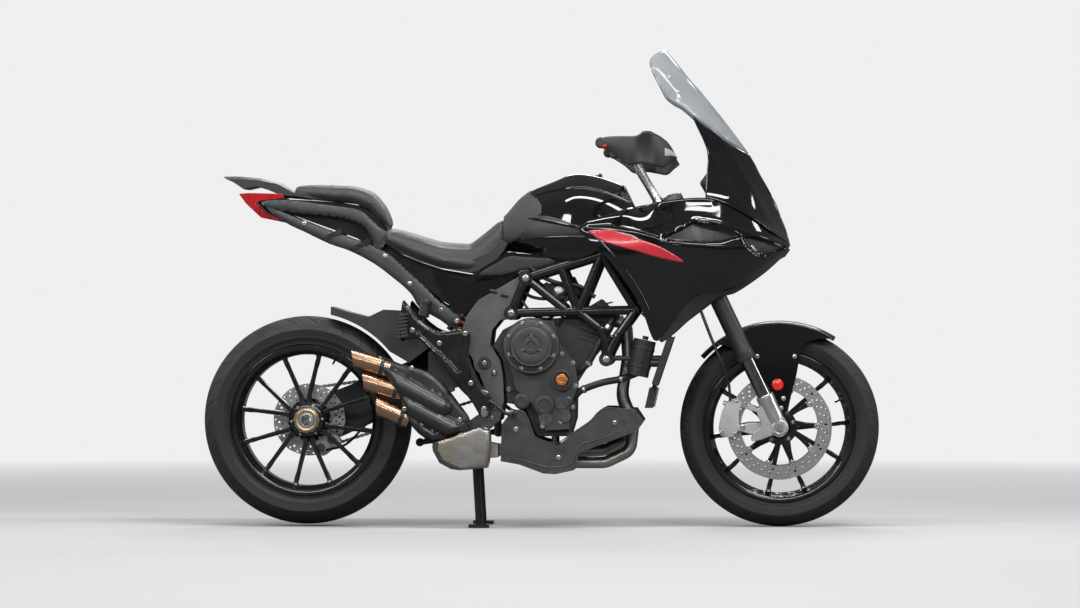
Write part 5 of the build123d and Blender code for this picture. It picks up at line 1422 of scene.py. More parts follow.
# mesh in the vent and in the intake: a lattice of fine bars on a dark ground
for name, lean in (("vent", 0.35), ("intake", -0.45)):
    outline = fairingSet[name]
    form = patchForm(outline, lambda x, z: fairingHalf(x, z) - 13, 0.0, 14.4)
    makePiece(name + "Ground", form, "plasticBlack", "chassis", thick=1.0)
    form = newForm()
    xs = [p[0] for p in outline]
    zs = [p[1] for p in outline]
    for turn in (lean, lean + math.pi / 2):
        step = (math.cos(turn), math.sin(turn))
        for k in range(-60, 61):
            base = ((min(xs) + max(xs)) / 2 - step[1] * k * 6, (min(zs) + max(zs)) / 2 + step[0] * k * 6)
            run = []
            for t in range(-50, 51):
                x, z = base[0] + step[0] * t * 4, base[1] + step[1] * t * 4
                if insideOf(outline, x, z) and rimGap(outline, x, z) > 3:
                    run.append(Vector((x, -fairingHalf(x, z) + 11, z)))
                    continue
                if len(run) > 1:
                    addRod(form, run[0], run[-1], 0.7, 5)
                run = []
    makePiece(name + "Mesh", mirrored(form), "framePaint", "chassis")

# grey inner lip under the side panel
lipLow = [(372, 562), (410, 590), (450, 626), (500, 664), (550, 700), (600, 716), (680, 770), (735, 818)]
lipHigh = [(362, 572), (384, 592), (446, 682), (492, 714), (549, 723), (610, 742), (682, 796), (748, 838)]


def lipDepth(x, z):
    # it turns in below its upper line
    return fairingHalf(x, max(z, 620)) - 9 - 26 * max(0, min(1, (between(lipHigh, x) - z) / 50))


form = sheetForm(lipLow, lipHigh, 80, 10, lipDepth)
makePiece("fairingLip", form, "panGrey", "chassis", thick=3)

# nose: the side sheets above the crease and a rounded strip down the middle
noseSet = {
    "rearEdge": [(505, 1000), (508, 1045), (510, 1085), (513, 1120), (511, 1148), (501, 1178),
                 (489, 1205), (467, 1250)],
    "front": [(764, 856), (760, 872), (746, 910), (732, 943), (720, 975), (705, 1007), (689, 1040),
              (671, 1074), (656, 1104), (640, 1132)],
    "foot": [(505, 1000), (560, 985), (640, 944), (705, 900), (762, 862)],
    "rim": [(467, 1250), (503, 1226), (549, 1186), (595, 1156), (640, 1132)],
    "roundness": 0.42,
}


def noseSkin(rows, columns, frontLine):
    # between the rear edge and the front line, from the foot to the rim
    rear = smoothRoute([(x, 0, z) for x, z in noseSet["rearEdge"]], 8)
    front = smoothRoute([(x, 0, z) for x, z in frontLine], 8)
    foot = smoothRoute([(x, 0, z) for x, z in noseSet["foot"]], 8)
    rim = smoothRoute([(x, 0, z) for x, z in noseSet["rim"]], 8)

    def read(line, t):
        place = t * (len(line) - 1)
        i = min(int(place), len(line) - 2)
        return line[i].lerp(line[i + 1], place - i)

    loops = []
    for r in range(rows + 1):
        v = r / rows
        loop = []
        for c in range(columns + 1):
            u = c / columns
            p = (read(rear, v) * (1 - u) + read(front, v) * u + read(foot, u) * (1 - v) + read(rim, u) * v
                 - (read(rear, 0) * (1 - u) * (1 - v) + read(front, 0) * u * (1 - v)
                    + read(rear, 1) * (1 - u) * v + read(front, 1) * u * v))
            loop.append(p)
        loops.append(loop)
    return loops


noseFolds = [
    ([(560, 1180), (600, 1110), (650, 1020), (700, 930), (745, 872)], 5.0, 26, 10),
    ([(520, 1130), (560, 1060), (610, 985), (660, 935), (720, 890)], 5.0, 30, 10),
    ([(508, 996), (560, 984), (640, 944), (705, 900)], 3.0, 10, 10),
]


def noseDepth(x, z):
    return folded(fairingHalf(x, z), noseFolds, x, z)


# where the side sheets end: behind the middle line by a share of the nose's half width
innerLine = []
for i, (x, z) in enumerate(noseSet["front"]):
    before = Vector(noseSet["front"][max(i - 1, 0)])
    after = Vector(noseSet["front"][min(i + 1, len(noseSet["front"]) - 1)])
    run = (after - before).normalized()
    out = Vector((run.y, -run.x))
    half = fairingHalf(x - 20, z)
    innerLine.append((x - out.x * noseSet["roundness"] * half, z - out.y * noseSet["roundness"] * half))
loops = noseSkin(60, 46, innerLine)
form = newForm()
sheet = [[Vector((p.x, -noseDepth(p.x, p.z), p.z)) for p in loop] for loop in loops]
addSkin(form, sheet, closed=False, ends=False)
makePiece("noseSides", mirrored(form), "bodyPaint", "chassis", replaces=("nose_fairing",),
          thick=fairingSet["wall"], sharp=60)

# the strip: from one side sheet round the middle line to the other
edgeLine = [loop[-1] for loop in sheet]
midLine = smoothRoute([(x, 0, z) for x, z in noseSet["front"]], 8)


def stripLoops(low, high, squeeze=1.0, steps=16):
    loops = []
    count = len(edgeLine)
    for r in range(count):
        v = r / (count - 1)
        if v < low - 1e-6 or v > high + 1e-6:
            continue
        place = v * (len(midLine) - 1)
        i = min(int(place), len(midLine) - 2)
        middle = midLine[i].lerp(midLine[i + 1], place - i)
        edge = edgeLine[r]
        loop = []
        for k in range(-steps, steps + 1):
            turn = math.radians(90 * k / steps)
            p = edge.lerp(Vector((middle.x, edge.y, middle.z)), math.cos(turn) ** 0.85)
            loop.append(Vector((p.x, edge.y * -math.sin(turn) * squeeze, p.z)))
        loops.append(loop)
    return loops


form = newForm()
addSkin(form, stripLoops(0.56, 1.0), closed=False, ends=False)
makePiece("noseBridge", form, "bodyPaint", "chassis", thick=fairingSet["wall"], sharp=60)
form = newForm()
addSkin(form, stripLoops(0.0, 0.57), closed=False, ends=False)
makePiece("headlampLens", form, "lampLens", "chassis", replaces=("headlamp",), thick=2.5, sharp=60)
form = newForm()
inside = [[p + Vector((-26, 0, 0)) for p in loop] for loop in stripLoops(0.02, 0.57, 0.86)]
addSkin(form, inside, closed=False, ends=False)
makePiece("headlampBowl", form, "plasticBlack", "chassis", thick=2)
form = newForm()
for side in (-1, 1):
    for k, (x, z, r) in enumerate(((718, 900, 15), (700, 936, 17), (682, 972, 14))):
        addLathe(form, [(r * 0.2, -9), (r * 0.5, -7), (r, 4), (r + 2, 5), (r + 2, 7), (r - 1, 6),
                        (r * 0.45, -5), (0, -6)],
                 (x, side * (15 + 5 * k), z), (0.92, side * 0.2, 0.3), 28)
makePiece("headlampReflectors", form, "barAlloy", "chassis")
form = newForm()
for side in (-1, 1):
    addTube(form, [(742, side * 16, 866), (722, side * 36, 905), (704, side * 50, 950),
                   (688, side * 54, 990)],
            3.2, 8, 6)
makePiece("daylightStrips", form, "indicatorLens", "chassis")

# chin under the lamp
form = newForm()
chin = [(690, 800), (720, 810), (748, 824), (764, 846), (752, 852), (720, 838), (690, 826)]
chinLoops = []
for k in range(-10, 11):
    y = 8.2 * k
    pull = (abs(y) / 82) ** 2
    chinLoops.append([(x - 62 * pull, y, z - 6 * pull) for x, z in chin])
addSkin(form, chinLoops)
makePiece("noseChin", form, "panGrey", "chassis", bevel=1.5)
print("fairing and nose built")


# windscreen

screenSet = {
    "middle": [(386, 1454), (388, 1451), (394, 1444), (405, 1431), (430, 1401), (457, 1366), (488, 1332),
               (518, 1295), (549, 1257), (579, 1218), (610, 1177), (636, 1141)],
    "edge": [(382, 1454), (366, 1448), (349, 1437), (337, 1421), (340, 1398), (354, 1370), (370, 1338),
             (390, 1306), (432, 1281), (474, 1244), (500, 1222), (524, 1204)],
    "half": [10, 44, 70, 92, 114, 128, 140, 150, 156, 158, 150, 136],
}


def buildScreen():
    middle = smoothRoute([(x, 0, z) for x, z in screenSet["middle"]], 6)
    edge = smoothRoute([(x, 0, z) for x, z in screenSet["edge"]], 6)
    half = [v.x for v in smoothRoute([(h, 0, 0) for h in screenSet["half"]], 6)]
    loops = []
    for m, e, h in zip(middle, edge, half):
        loop = []
        for k in range(-16, 17):
            turn = math.radians(90 * k / 16)
            p = m.lerp(e, 1 - math.cos(turn))
            loop.append(Vector((p.x, h * math.sin(turn), p.z)))
        loops.append(loop)
    form = newForm()
    addSkin(form, loops, closed=False, ends=False)
    makePiece("windscreen", form, "screenSheet", "chassis", replaces=("windscreen",), thick=3.6, sharp=60)
    bolts = newForm()
    for i in (30, 38):
        for side in (-1, 1):
            k = 16 + side * 12
            place = loops[i][k]
            across = loops[i][k + 1] - loops[i][k - 1]
            around = across.cross(loops[i + 1][k] - loops[i - 1][k]).normalized()
            if around.x < 0:
                around = -around
            addBolt(bolts, place - around * 1, around, 4.2, 3.4, "round")
    makePiece("screenScrews", bolts, "boltSteel", "chassis")
    rim = newForm()
    for side in (0, -1):
        addTube(rim, [loop[side] for loop in loops[::4]], 2.2, 8, 4)
    addTube(rim, loops[0][::3] + [loops[0][-1]], 2.2, 8, 4)
    makePiece("screenRim", rim, "screenSheet", "chassis")


buildScreen()

# the deck behind the screen's foot
form = newForm()
deck = []
for k in range(-12, 13):
    y = 10.5 * k
    pull = (abs(y) / 126) ** 2
    deck.append([(628 - 60 * pull, y, 1118 + 14 * pull), (560 - 20 * pull, y, 1108 + 30 * pull),
                 (520, y * 0.94, 1092 + 30 * pull), (520, y * 0.94, 1086 + 30 * pull),
                 (560 - 20 * pull, y, 1100 + 30 * pull), (622 - 60 * pull, y, 1108 + 14 * pull)])
addSkin(form, deck)
makePiece("noseDeck", form, "plasticBlack", "chassis", bevel=1)
print("screen built")


# fuel tank

tankSet = {
    "sections": [
        (-112, [(50, 846), (72, 872), (66, 912), (30, 940)]),
        (-58, [(88, 840), (112, 880), (94, 950), (42, 1000)]),
        (40, [(136, 832), (160, 890), (132, 985), (60, 1048)]),
        (110, [(160, 836), (186, 896), (156, 1000), (70, 1070)]),
        (200, [(164, 842), (190, 900), (150, 995), (66, 1056)]),
        (345, [(150, 850), (168, 895), (120, 950), (54, 996)]),
    ],
    "top": [(-112, 946), (-89, 968), (-58, 1001), (-28, 1026), (12, 1041), (58, 1057), (92, 1074),
            (150, 1072), (212, 1058), (258, 1041), (304, 1024), (345, 1000)],
    "rake": 25.5, "forkOffset": 33, "headRoom": 75.5,
    "filler": (140, 0, 0),
}


def tankLoop(x):
    # a closed section, from the bottom up the right side and down the left one
    half = sectionAt(tankSet["sections"], x)
    top = smoothRead(tankSet["top"], x)
    corners = [(0, half[0][1] - 4), (half[0][0] * 0.6, half[0][1] - 2)] + half
    corners.append((half[3][0] * 0.45, top - 2))
    corners.append((0, top))
    line = smoothRoute([(y, 0, z) for y, z in corners], 7)
    return [Vector((x, -p.x, p.z)) for p in line] + [Vector((x, p.x, p.z)) for p in reversed(line[1:-1])]


def behindHead(p):
    # the tank ends on a plane behind the steering head, so that the fork can turn in front of it
    rake = math.radians(tankSet["rake"])
    back = Vector((-math.cos(rake), 0, -math.sin(rake)))
    gap = (p - frontAxle - back * tankSet["forkOffset"]).dot(back)
    return p + back * max(0, tankSet["headRoom"] - gap)


def tankDepth(x, z):
    return halfAt(tankSet["sections"], x, z)


form = newForm()
addSkin(form, [[behindHead(p) for p in tankLoop(-112 + 457 * k / 70)] for k in range(71)])
makePiece("fuelTank", form, "bodyPaint", "chassis", replaces=("fuel_tank",), sharp=60)

form = newForm()
beadAlong(form, [(-40, 1000), (0, 1012), (60, 1024), (130, 1030), (200, 1016), (270, 988), (320, 962)],
          tankDepth, 7, 1.6, 0.4)
beadAlong(form, [(-52, 940), (-10, 936), (60, 924), (140, 906), (220, 884), (300, 862)], tankDepth, 6,
          1.4, 0.4)
form["points"] = [behindHead(p) for p in form["points"]]
makePiece("tankFolds", form, "bodyPaint", "chassis", sharp=60)

# satin knee panel between the seat and the tank's side
kneeLow = [(-60, 872), (-30, 868), (20, 862), (80, 866), (150, 880)]
kneeHigh = [(-20, 944), (10, 948), (60, 938), (110, 918), (150, 896)]
form = sheetForm(kneeLow, kneeHigh, 50, 20, lambda x, z: tankDepth(x, z) + 1.6)
makePiece("kneePanel", form, "satinBlack", "chassis", thick=2, sharp=60)

# glossy lower cheek of the tank with its bright lower edge
cheekLow = [(-62, 868), (-40, 846), (10, 828), (60, 812), (110, 812), (170, 836), (220, 860)]
cheekHigh = [(-62, 872), (-30, 878), (20, 884), (80, 886), (140, 884), (190, 878), (224, 866)]


def cheekDepth(x, z):
    return tankDepth(x, max(z, 838)) + 5 * max(0, 1 - ((z - 855) / 34) ** 2) + 1


form = sheetForm(cheekLow, cheekHigh, 60, 20, cheekDepth)
makePiece("tankCheek", form, "bodyPaint", "chassis", thick=2.5, sharp=60)

# filler: ring, lid with a key flap, and the hinge; the lid and its pin are a body of their own
form = newForm()
addLathe(form, [(37, 1066), (47, 1066), (49, 1068), (47, 1071), (40, 1072.5), (37.5, 1071)],
         tankSet["filler"], (0, 0, 1), 64, closed=True)
for k in range(8):
    turn = k * math.pi / 4 + 0.39
    addBolt(form, (140 + 43.5 * math.cos(turn), 43.5 * math.sin(turn), 1070.5), (0, 0, 1), 2.2, 2, "round")
makePiece("fillerRing", form, "framePaint", "chassis", bevel=0.4)
form = newForm()
addLathe(form, [(0, 1064.4), (35, 1064.4), (36, 1066), (36, 1071), (34, 1073.6), (26, 1074.2),
                (24, 1072.8), (0, 1072.8)],
         tankSet["filler"], (0, 0, 1), 64)
addSlab(form, [(126, 1072), (128, 1075.2), (156, 1075.2), (158, 1072)], -8, 8)
addSlab(form, [(166, 1070), (166, 1074), (180, 1076), (184, 1072), (178, 1070)], -11, 11)
addRod(form, (182, -14.6, 1074), (182, 14.6, 1074), 4.8, 20)
makePiece("fillerLid", form, "satinBlack", "fuel_lid", replaces=("fuel_cap",), bevel=0.5)
form = newForm()
for side in (-1, 1):
    addSlab(form, [(176, 1060), (176, 1074), (180, 1079), (185, 1079), (188, 1074), (188, 1060)],
            side * 16.4, side * 23.6)
addRod(form, (182, -24, 1074), (182, 24, 1074), 2.4, 16)
makePiece("fillerHinge", form, "satinBlack", "chassis", bevel=0.6)
print("tank built")


# front end: everything that turns with the bars

forkSet = {
    "half": 107,                    # from the middle to each leg
    "offset": 33,                   # of the steering stem behind the legs
    "clampEye": 37.5,
    "stemEye": 31,
}

# up along the legs and square to them, at a rake of 25.5 degrees
forkUp = Vector((-0.43051, 0, 0.90259))
forkBack = Vector((-0.90259, 0, -0.43051))


def forkPoint(distance, side=0, back=0):
    return frontAxle + forkUp * distance + forkBack * back + Vector((0, side, 0))


leg = forkPoint(0, -forkSet["half"])
form = newForm()
addLathe(form, [(0, 779), (9, 779), (10, 781), (20, 781), (23, 778), (27.5, 777), (28.6, 774),
                (28.6, 752), (27.6, 748), (27.6, 580), (28.8, 576), (28.8, 540), (27.4, 534), (27.4, 262),
                (28.8, 256), (28.8, 244), (28.0, 241), (22.4, 240), (22.4, 300)], leg, forkUp, 48)
makePiece("forkUppers", mirrored(form), "satinBlack", "steering", replaces=("fork_uppers",), bevel=0.4)
form = newForm()
addLathe(form, [(22, 243), (28.6, 242.4), (28.9, 239), (28.4, 231), (26, 227.4), (22.2, 227.2)], leg,
         forkUp, 48)
makePiece("dustSeals", mirrored(form), "gripRubber", "steering")
form = newForm()
addLathe(form, [(21.5, 96), (21.5, 330)], leg, forkUp, 48)
makePiece("forkStanchions", mirrored(form), "darkChrome", "steering", replaces=("fork_stanchions",))
form = newForm()
addLathe(form, [(0, 781), (6, 781), (6.4, 783), (5, 784.4), (0, 784.4)], leg, forkUp, 24)
addBolt(form, forkPoint(774, -forkSet["half"]), forkUp, 11, 6.5, "hex")
makePiece("forkCaps", mirrored(form), "copperAnodised", "steering")

# fork feet: a collar, a web and the axle's clamp
lugOutline = [(662, 356), (676, 372), (697, 383), (712, 368), (728, 350), (746, 330), (757, 304),
              (748, 284), (730, 275), (708, 280), (676, 268), (645, 263), (652, 282), (668, 300),
              (672, 320), (664, 336)]
form = newForm()
web = [(p.x, p.z) for p in smoothRoute([(x, 0, z) for x, z in lugOutline], 5, closed=True)]
addSlab(form, web, -124, -94)
makePiece("forkFeet", mirrored(form), "castAlloy", "steering", replaces=("fork_lugs",), bevel=4.5,
          segments=4)
form = newForm()
addLathe(form, [(22, 108), (25.6, 108), (27.8, 105), (28, 92), (26.4, 84), (26.4, 40), (24, 22), (15, 13),
                (0, 12)],
         leg, forkUp, 48)
addLathe(form, [(24, -95), (24, -127), (21.5, -128), (17, -128), (15, -126)], frontAxle, (0, 1, 0), 48)
for arm in ([(613, 380), (640, 374), (668, 362), (672, 346), (640, 356), (612, 366)],
            [(606, 312), (640, 318), (676, 318), (684, 280), (640, 284), (604, 294)]):
    addSlab(form, arm, -97, -85)
makePiece("forkCollars", mirrored(form), "castAlloy", "steering", bevel=2, segments=3)
form = newForm()
addRod(form, frontAxle - Vector((0, 131, 0)), frontAxle + Vector((0, 131, 0)), 12.4, 32)
makePiece("frontSpindle", form, "boltSteel", "steering", bevel=1)
form = newForm()
addLathe(form, [(8.4, -131.8), (11.6, -131.8), (12.2, -131), (12.2, -126)], frontAxle, (0, 1, 0), 32)
for x, z in ((712, 287), (745, 291)):
    addBolt(form, (x, -124, z), (0, -1, 0), 4.4, 3.6, "cap")
for place in ((624, -97, 373), (618, -97, 303)):
    addBolt(form, place, (0, -1, 0), 6.4, 5.2, "cap")
makePiece("footBolts", mirrored(form), "boltSteel", "steering")

# radial calipers
caliperOutline = [(613, 380), (598, 391), (574, 384), (556, 352), (547, 318), (546, 298), (557, 276),
                  (588, 275), (603, 292), (607, 318), (606, 346)]
form = newForm()
shape = [(p.x, p.z) for p in smoothRoute([(x, 0, z) for x, z in caliperOutline], 4, closed=True)]
addSlab(form, shape, -94, -78)
addSlab(form, shape, -57, -48.5)
for low, high in (((556, 352), (574, 384)), ((546, 298), (557, 276))):
    addSlab(form, [low, high, (high[0] + 8, high[1] - 4), (low[0] + 9, low[1] - 2)], -94, -48.5)
makePiece("frontCalipers", mirrored(form), "castAlloy", "steering", replaces=("front_calipers",), bevel=3,
          segments=3)
form = newForm()
for x, z in ((585, 358), (578, 312)):
    addLathe(form, [(0, -93.8), (13, -93.8), (15.5, -92.5), (17, -90), (17, -86)], (x, 0, z), (0, 1, 0), 32)
makePiece("caliperPots", mirrored(form), "darkCast", "steering", bevel=0.8)
form = newForm()
for x, z in ((600, 383), (563, 376), (594, 285), (553, 290)):
    addBolt(form, (x, -93.4, z), (0, -1, 0), 4.2, 2.4, "cap")
for x, z in ((560, 350), (556, 310)):
    addRod(form, (x, -93.6, z), (x, -49, z), 3.4, 16)
makePiece("caliperBolts", mirrored(form), "boltSteel", "steering")
form = newForm()
for low, high in ((-76.5, -72), (-64.5, -59.5)):
    addSlab(form, [(604, 378), (566, 372), (556, 320), (562, 288), (600, 292)], low, high)
makePiece("brakePads", mirrored(form), "darkCast", "steering", bevel=1)

# front mudguard: a crowned skin with rolled edges, and the stays down to the fork feet
fenderSet = {
    "from": 58, "to": 138,          # degrees round the axle
    "crown": 324.5,                 # radius over the middle
    "half": 69,
    "sideRim": 318,
    "stay": [(560, 553), (600, 540), (630, 516), (655, 480), (690, 420), (715, 365), (735, 347), (752, 350),
             (768, 410), (783, 470), (793, 530), (806, 560), (846, 573), (880, 573)],
}
form = newForm()
loops = []
for step in range(81):
    turn = fenderSet["from"] + (fenderSet["to"] - fenderSet["from"]) * step / 80
    reach = min(1, min(step, 80 - step) / 9)
    loop = []
    for k in range(-14, 15):
        y = fenderSet["half"] * k / 14 * (0.72 + 0.28 * reach ** 0.5)
        share = abs(k) / 14
        radius = fenderSet["crown"] - 6 * share ** 2 - 8 * max(0, share - 0.82) / 0.18
        radius += 1.6 * math.exp(-((abs(y) - 34) / 5) ** 2)
        rimPoint = polarPoint(frontAxle, radius, turn)
        loop.append((rimPoint.x, y, rimPoint.z))
    loops.append(loop)
addSkin(form, loops, closed=False, ends=False)
makePiece("frontMudguard", form, "bodyPaint", "steering", replaces=("front_fender",), thick=2.6, sharp=60)
form = newForm()
for low, high in ((-79, -69), (69, 79)):
    rim = []
    for k in range(25):
        rimPoint = polarPoint(frontAxle, fenderSet["sideRim"], 128 - 68 * k / 24)
        rim.append((rimPoint.x, rimPoint.z))
    addSlab(form, rim[::-1] + fenderSet["stay"], low, high)
makePiece("mudguardSides", form, "bodyPaint", "steering", bevel=3, segments=3)
boltsAt("mudguardBolts", [(735, -79, 362), (742, -79, 392), (662, -79, 520), (776, -79, 520)], 5, 3,
        "steering", both=True)
form = newForm()
addLathe(form, [(0, -83.6), (15, -83.6), (17, -82.4), (17.6, -79)], (724, 0, 434), (0, 1, 0), 48)
makePiece("forkReflectors", mirrored(form), "reflectorRed", "steering")


# fork clamps
def clampPlate(low, high):
    # a plate with an eye round each leg and a bulge behind for the stem
    half, eye = forkSet["half"], forkSet["clampEye"]
    outline = []
    for centre, radius, start, end in (((half, 0), eye, -80, 100),
                                       ((0, forkSet["offset"]), forkSet["stemEye"], 60, 120),
                                       ((-half, 0), eye, 80, 260)):
        for k in range(13):
            turn = math.radians(start + (end - start) * k / 12)
            outline.append((centre[0] + radius * math.cos(turn), centre[1] + radius * math.sin(turn)))
    loops = []
    for height, grow in ((low, -2), (low + 2, 0), (high - 2, 0), (high, -2)):
        loop = []
        for y, back in outline:
            size = math.hypot(y, back) or 1
            loop.append(forkPoint(height, y + grow * y / size, back + grow * back / size))
        loops.append(loop)
    form = newForm()
    addSkin(form, loops)
    return form


makePiece("lowerClamp", clampPlate(541, 573), "satinBlack", "steering", replaces=("triple_clamps",))
makePiece("upperClamp", clampPlate(752.5, 773), "plateGrey", "steering")
form = newForm()
addLathe(form, [(15.9, 545), (15.9, 770)], forkPoint(0, 0, forkSet["offset"]), forkUp, 32)
makePiece("steeringStem", form, "framePaint", "steering")
form = newForm()
addBolt(form, forkPoint(767, 0, forkSet["offset"]), forkUp, 15, 6, "hex")
for height in (549, 565, 763):
    addBolt(form, forkPoint(height, -forkSet["half"] - 18, 32), forkBack, 5, 4.5, "cap")
makePiece("clampBolts", mirrored(form), "boltSteel", "steering")

# handlebar, risers and what the hands hold
barRoute = [Vector(p) for p in ((292, 0, 1118), (292, -92, 1118), (262, -190, 1146), (232, -262, 1155),
                                (196, -440, 1158))]

# stops along the bar's bends: from which point of the route, and how far towards the next one
barStops = [(0, 0), (0, 0.9), (1, 0.3), (1, 0.75), (2, 0.25), (2, 0.7), (3, 0.15), (3, 1)]
form = newForm()
addTube(form, [barRoute[i].lerp(barRoute[i + 1], share) for i, share in barStops], 10.9, 20, 6)
makePiece("handleBar", mirrored(form), "satinBlack", "steering", replaces=("handlebar",))
form = newForm()
foot = forkPoint(775, -46, 37)
riserTop = Vector((292, -46, 1106))
addLathe(form, [(17, 0), (17, 10), (14, 18), (13, 60), (14.5, (riserTop - foot).length)], foot,
         riserTop - foot, 32)
addSlab(form, [(346, 1000), (374, 1000), (330, 1060), (306, 1104), (280, 1108)], -58, -50)
addBlock(form, (292, -46, 1118), (31, 25, 29))
makePiece("barRisers", mirrored(form), "barAlloy", "steering", bevel=3, segments=3)
form = newForm()
for x in (280.5, 303.5):
    addBolt(form, (x, -46, 1131.5), (0, 0, 1), 4, 3, "cap")
makePiece("riserBolts", mirrored(form), "boltSteel", "steering")

gripAlong = (barRoute[4] - barRoute[3]).normalized()
gripEnd = barRoute[4] + gripAlong * 4
gripStart = gripEnd - gripAlong * 128
form = newForm()
profile = [(11, 0), (16.9, 0.5), (16.9, 6), (14.6, 8)]
for k in range(19):
    profile += [(14.8, 10 + 6 * k), (15.9, 11.4 + 6 * k), (15.9, 13.6 + 6 * k), (14.8, 15 + 6 * k)]
profile += [(15.2, 125), (16.6, 126.5), (16.4, 128), (11, 128)]
addLathe(form, profile, gripStart, gripAlong, 36)
makePiece("handGrips", mirrored(form), "gripRubber", "steering", replaces=("controls",))
form = newForm()
pod = gripStart - gripAlong * 23
for shift, size in ((Vector((0, 0, 0)), (38, 40, 42)), (Vector((10, 2, 6)), (24, 30, 20))):
    addBlock(form, pod + shift, size)
makePiece("switchPods", mirrored(form), "plasticBlack", "steering", bevel=6, segments=4)
form = newForm()
for dx, dz, wide, tall in ((-19.6, 8, 16, 7), (-19.6, -4, 9, 7), (-19.6, -13, 12, 6)):
    addBlock(form, pod + Vector((dx, 0, dz)), (3, wide, tall))
makePiece("switchButtons", mirrored(form), "panGrey", "steering", bevel=1.2)
form = newForm()
lever = [gripStart + gripAlong * -14 + Vector((22, 0, -3)), gripStart + gripAlong * 4 + Vector((45, 0, -6)),
         gripStart + gripAlong * 50 + Vector((50, 0, -6)), gripStart + gripAlong * 96 + Vector((50, 0, -6)),
         gripEnd + gripAlong * -8 + Vector((54, 0, -6))]
addTube(form, lever, [6.5, 5.4, 4.6, 4.4, 5.0], 12, 6)
makePiece("handLevers", mirrored(form), "framePaint", "steering")
form = newForm()
addTube(form, [gripStart - gripAlong * 30 + Vector((10, 0, 0)), gripStart - gripAlong * 16
               + Vector((22, 0, -3))],
        [9, 7], 12, 4)
makePiece("leverPerches", mirrored(form), "darkCast", "steering")

guardSet = {
    "plan": [(182, -452), (240, -453), (296, -451), (340, -436), (380, -408), (408, -370), (421, -330),
             (419, -292)],
    "top": [(180, 1158), (204, 1174), (250, 1178), (305, 1180), (323, 1193), (356, 1188), (395, 1165),
            (413, 1142), (422, 1122)],
    "low": [(180, 1150), (207, 1140), (246, 1116), (276, 1092), (312, 1097), (350, 1091), (386, 1086),
            (407, 1102), (422, 1112)],
}


def guardLoops(lift=0.0, low=0.0, high=1.0):
    # upright lines along the guard's plan, from low to high shares of its height
    plan = smoothRoute([(x, y, 0) for x, y in guardSet["plan"]], 6)
    loops = []
    for i, p in enumerate(plan):
        before, after = plan[max(i - 1, 0)], plan[min(i + 1, len(plan) - 1)]
        run = (after - before).normalized()
        out = Vector((-run.y, run.x, 0))
        if out.y > 0 and p.x < 300:
            out = -out
        if out.x < 0 and p.x > 350:
            out = -out
        top = smoothRead(guardSet["top"], p.x)
        foot = smoothRead(guardSet["low"], p.x)
        loop = []
        for k in range(13):
            v = low + (high - low) * k / 12
            bulge = math.sin(math.pi * v) * 5 - 5 + lift
            loop.append(Vector((p.x, p.y, foot + (top - foot) * v)) + out * bulge)
        loops.append(loop)
    return loops


form = newForm()
addSkin(form, guardLoops(), closed=False, ends=False)
makePiece("handGuards", mirrored(form), "plasticBlack", "steering", replaces=("handguards",), thick=3.4,
          sharp=60)
form = newForm()
addSkin(form, guardLoops(0.6, 0.40, 0.68)[25:38], closed=False, ends=False)
makePiece("guardIndicators", mirrored(form), "indicatorLens", "steering", thick=1.6, sharp=60)
form = newForm()
addBlock(form, (206, -450, 1150), (14, 8, 9))
makePiece("guardReflectors", mirrored(form), "reflectorRed", "steering", bevel=1.5)
form = newForm()
addRod(form, gripEnd + gripAlong * 0.4, gripEnd + gripAlong * 10, 12, 24)
makePiece("barEnds", mirrored(form), "satinBlack", "steering", bevel=1.2)

# brake hoses, held all the way, with their end fittings
hoseRoute = [(580, -98.6, 386), (574, -112, 440), (553, -142, 500), (524, -147, 570), (497, -146, 640),
             (472, -140, 708), (452, -122, 762)]
form = newForm()
addTube(form, hoseRoute, 3.9, 14, 10)
makePiece("brakeHoses", mirrored(form), "hoseRubber", "steering", replaces=("brake_hoses",))
form = newForm()
line = smoothRoute(hoseRoute, 10)
for a, b in ((line[0], line[3]), (line[-4], line[-1])):
    addRod(form, a, b, 4.0, 6)
makePiece("hoseFittings", mirrored(form), "boltSteel", "steering")
print("front end built")

# chassis parts that keep the CAD's form, some with broken edges


def softCopy(node, look, width, sharp=32):
    # the node's own mesh with its flat faces joined up and its edges rounded
    source = cadNodes[node]
    tool = bmesh.new()
    tool.from_mesh(source.data)
    tool.transform(source.matrix_world)
    bmesh.ops.remove_doubles(tool, verts=tool.verts[:], dist=2e-5)
    bmesh.ops.dissolve_limit(tool, angle_limit=math.radians(0.6), verts=tool.verts[:], edges=tool.edges[:])
    mesh = bpy.data.meshes.new(node + "Soft")
    tool.to_mesh(mesh)
    tool.free()
    for face in mesh.polygons:
        face.use_smooth = True
    mesh.set_sharp_from_angle(angle=math.radians(sharp))
    mesh.materials.clear()
    mesh.materials.append(finish[look])
    piece = bpy.data.objects.new(node + "Soft", mesh)
    bpy.context.scene.collection.objects.link(piece)
    softEdges(piece, width, 3, sharp)
    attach(piece, "chassis")
    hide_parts(node)


# finish and width of the rounded edge
softLooks = {
    "side_plates": ("plateGrey", 3.0),
    "engine": ("darkCast", 3.0),
    "swingarm": ("satinBlack", 6.0),
    "hugger": ("plasticBlack", 3.0),
    "belly_pan": ("panGrey", 2.5),
    "subframe": ("framePaint", 3.0),
    "rear_caliper": ("castAlloy", 2.5),
    "radiator": ("satinBlack", 1.5),
    "side_panels": ("bodyPaint", 1.5),
    "exhaust": ("rawSteel", 6.0),
}
plainLooks = {"frame": "framePaint", "engine_covers": "caseGrey", "centre_stand": "framePaint",
              "side_stand": "framePaint"}
for node, (look, width) in softLooks.items():
    softCopy(node, look, width)
for node, look in plainLooks.items():
    dress(node, look)


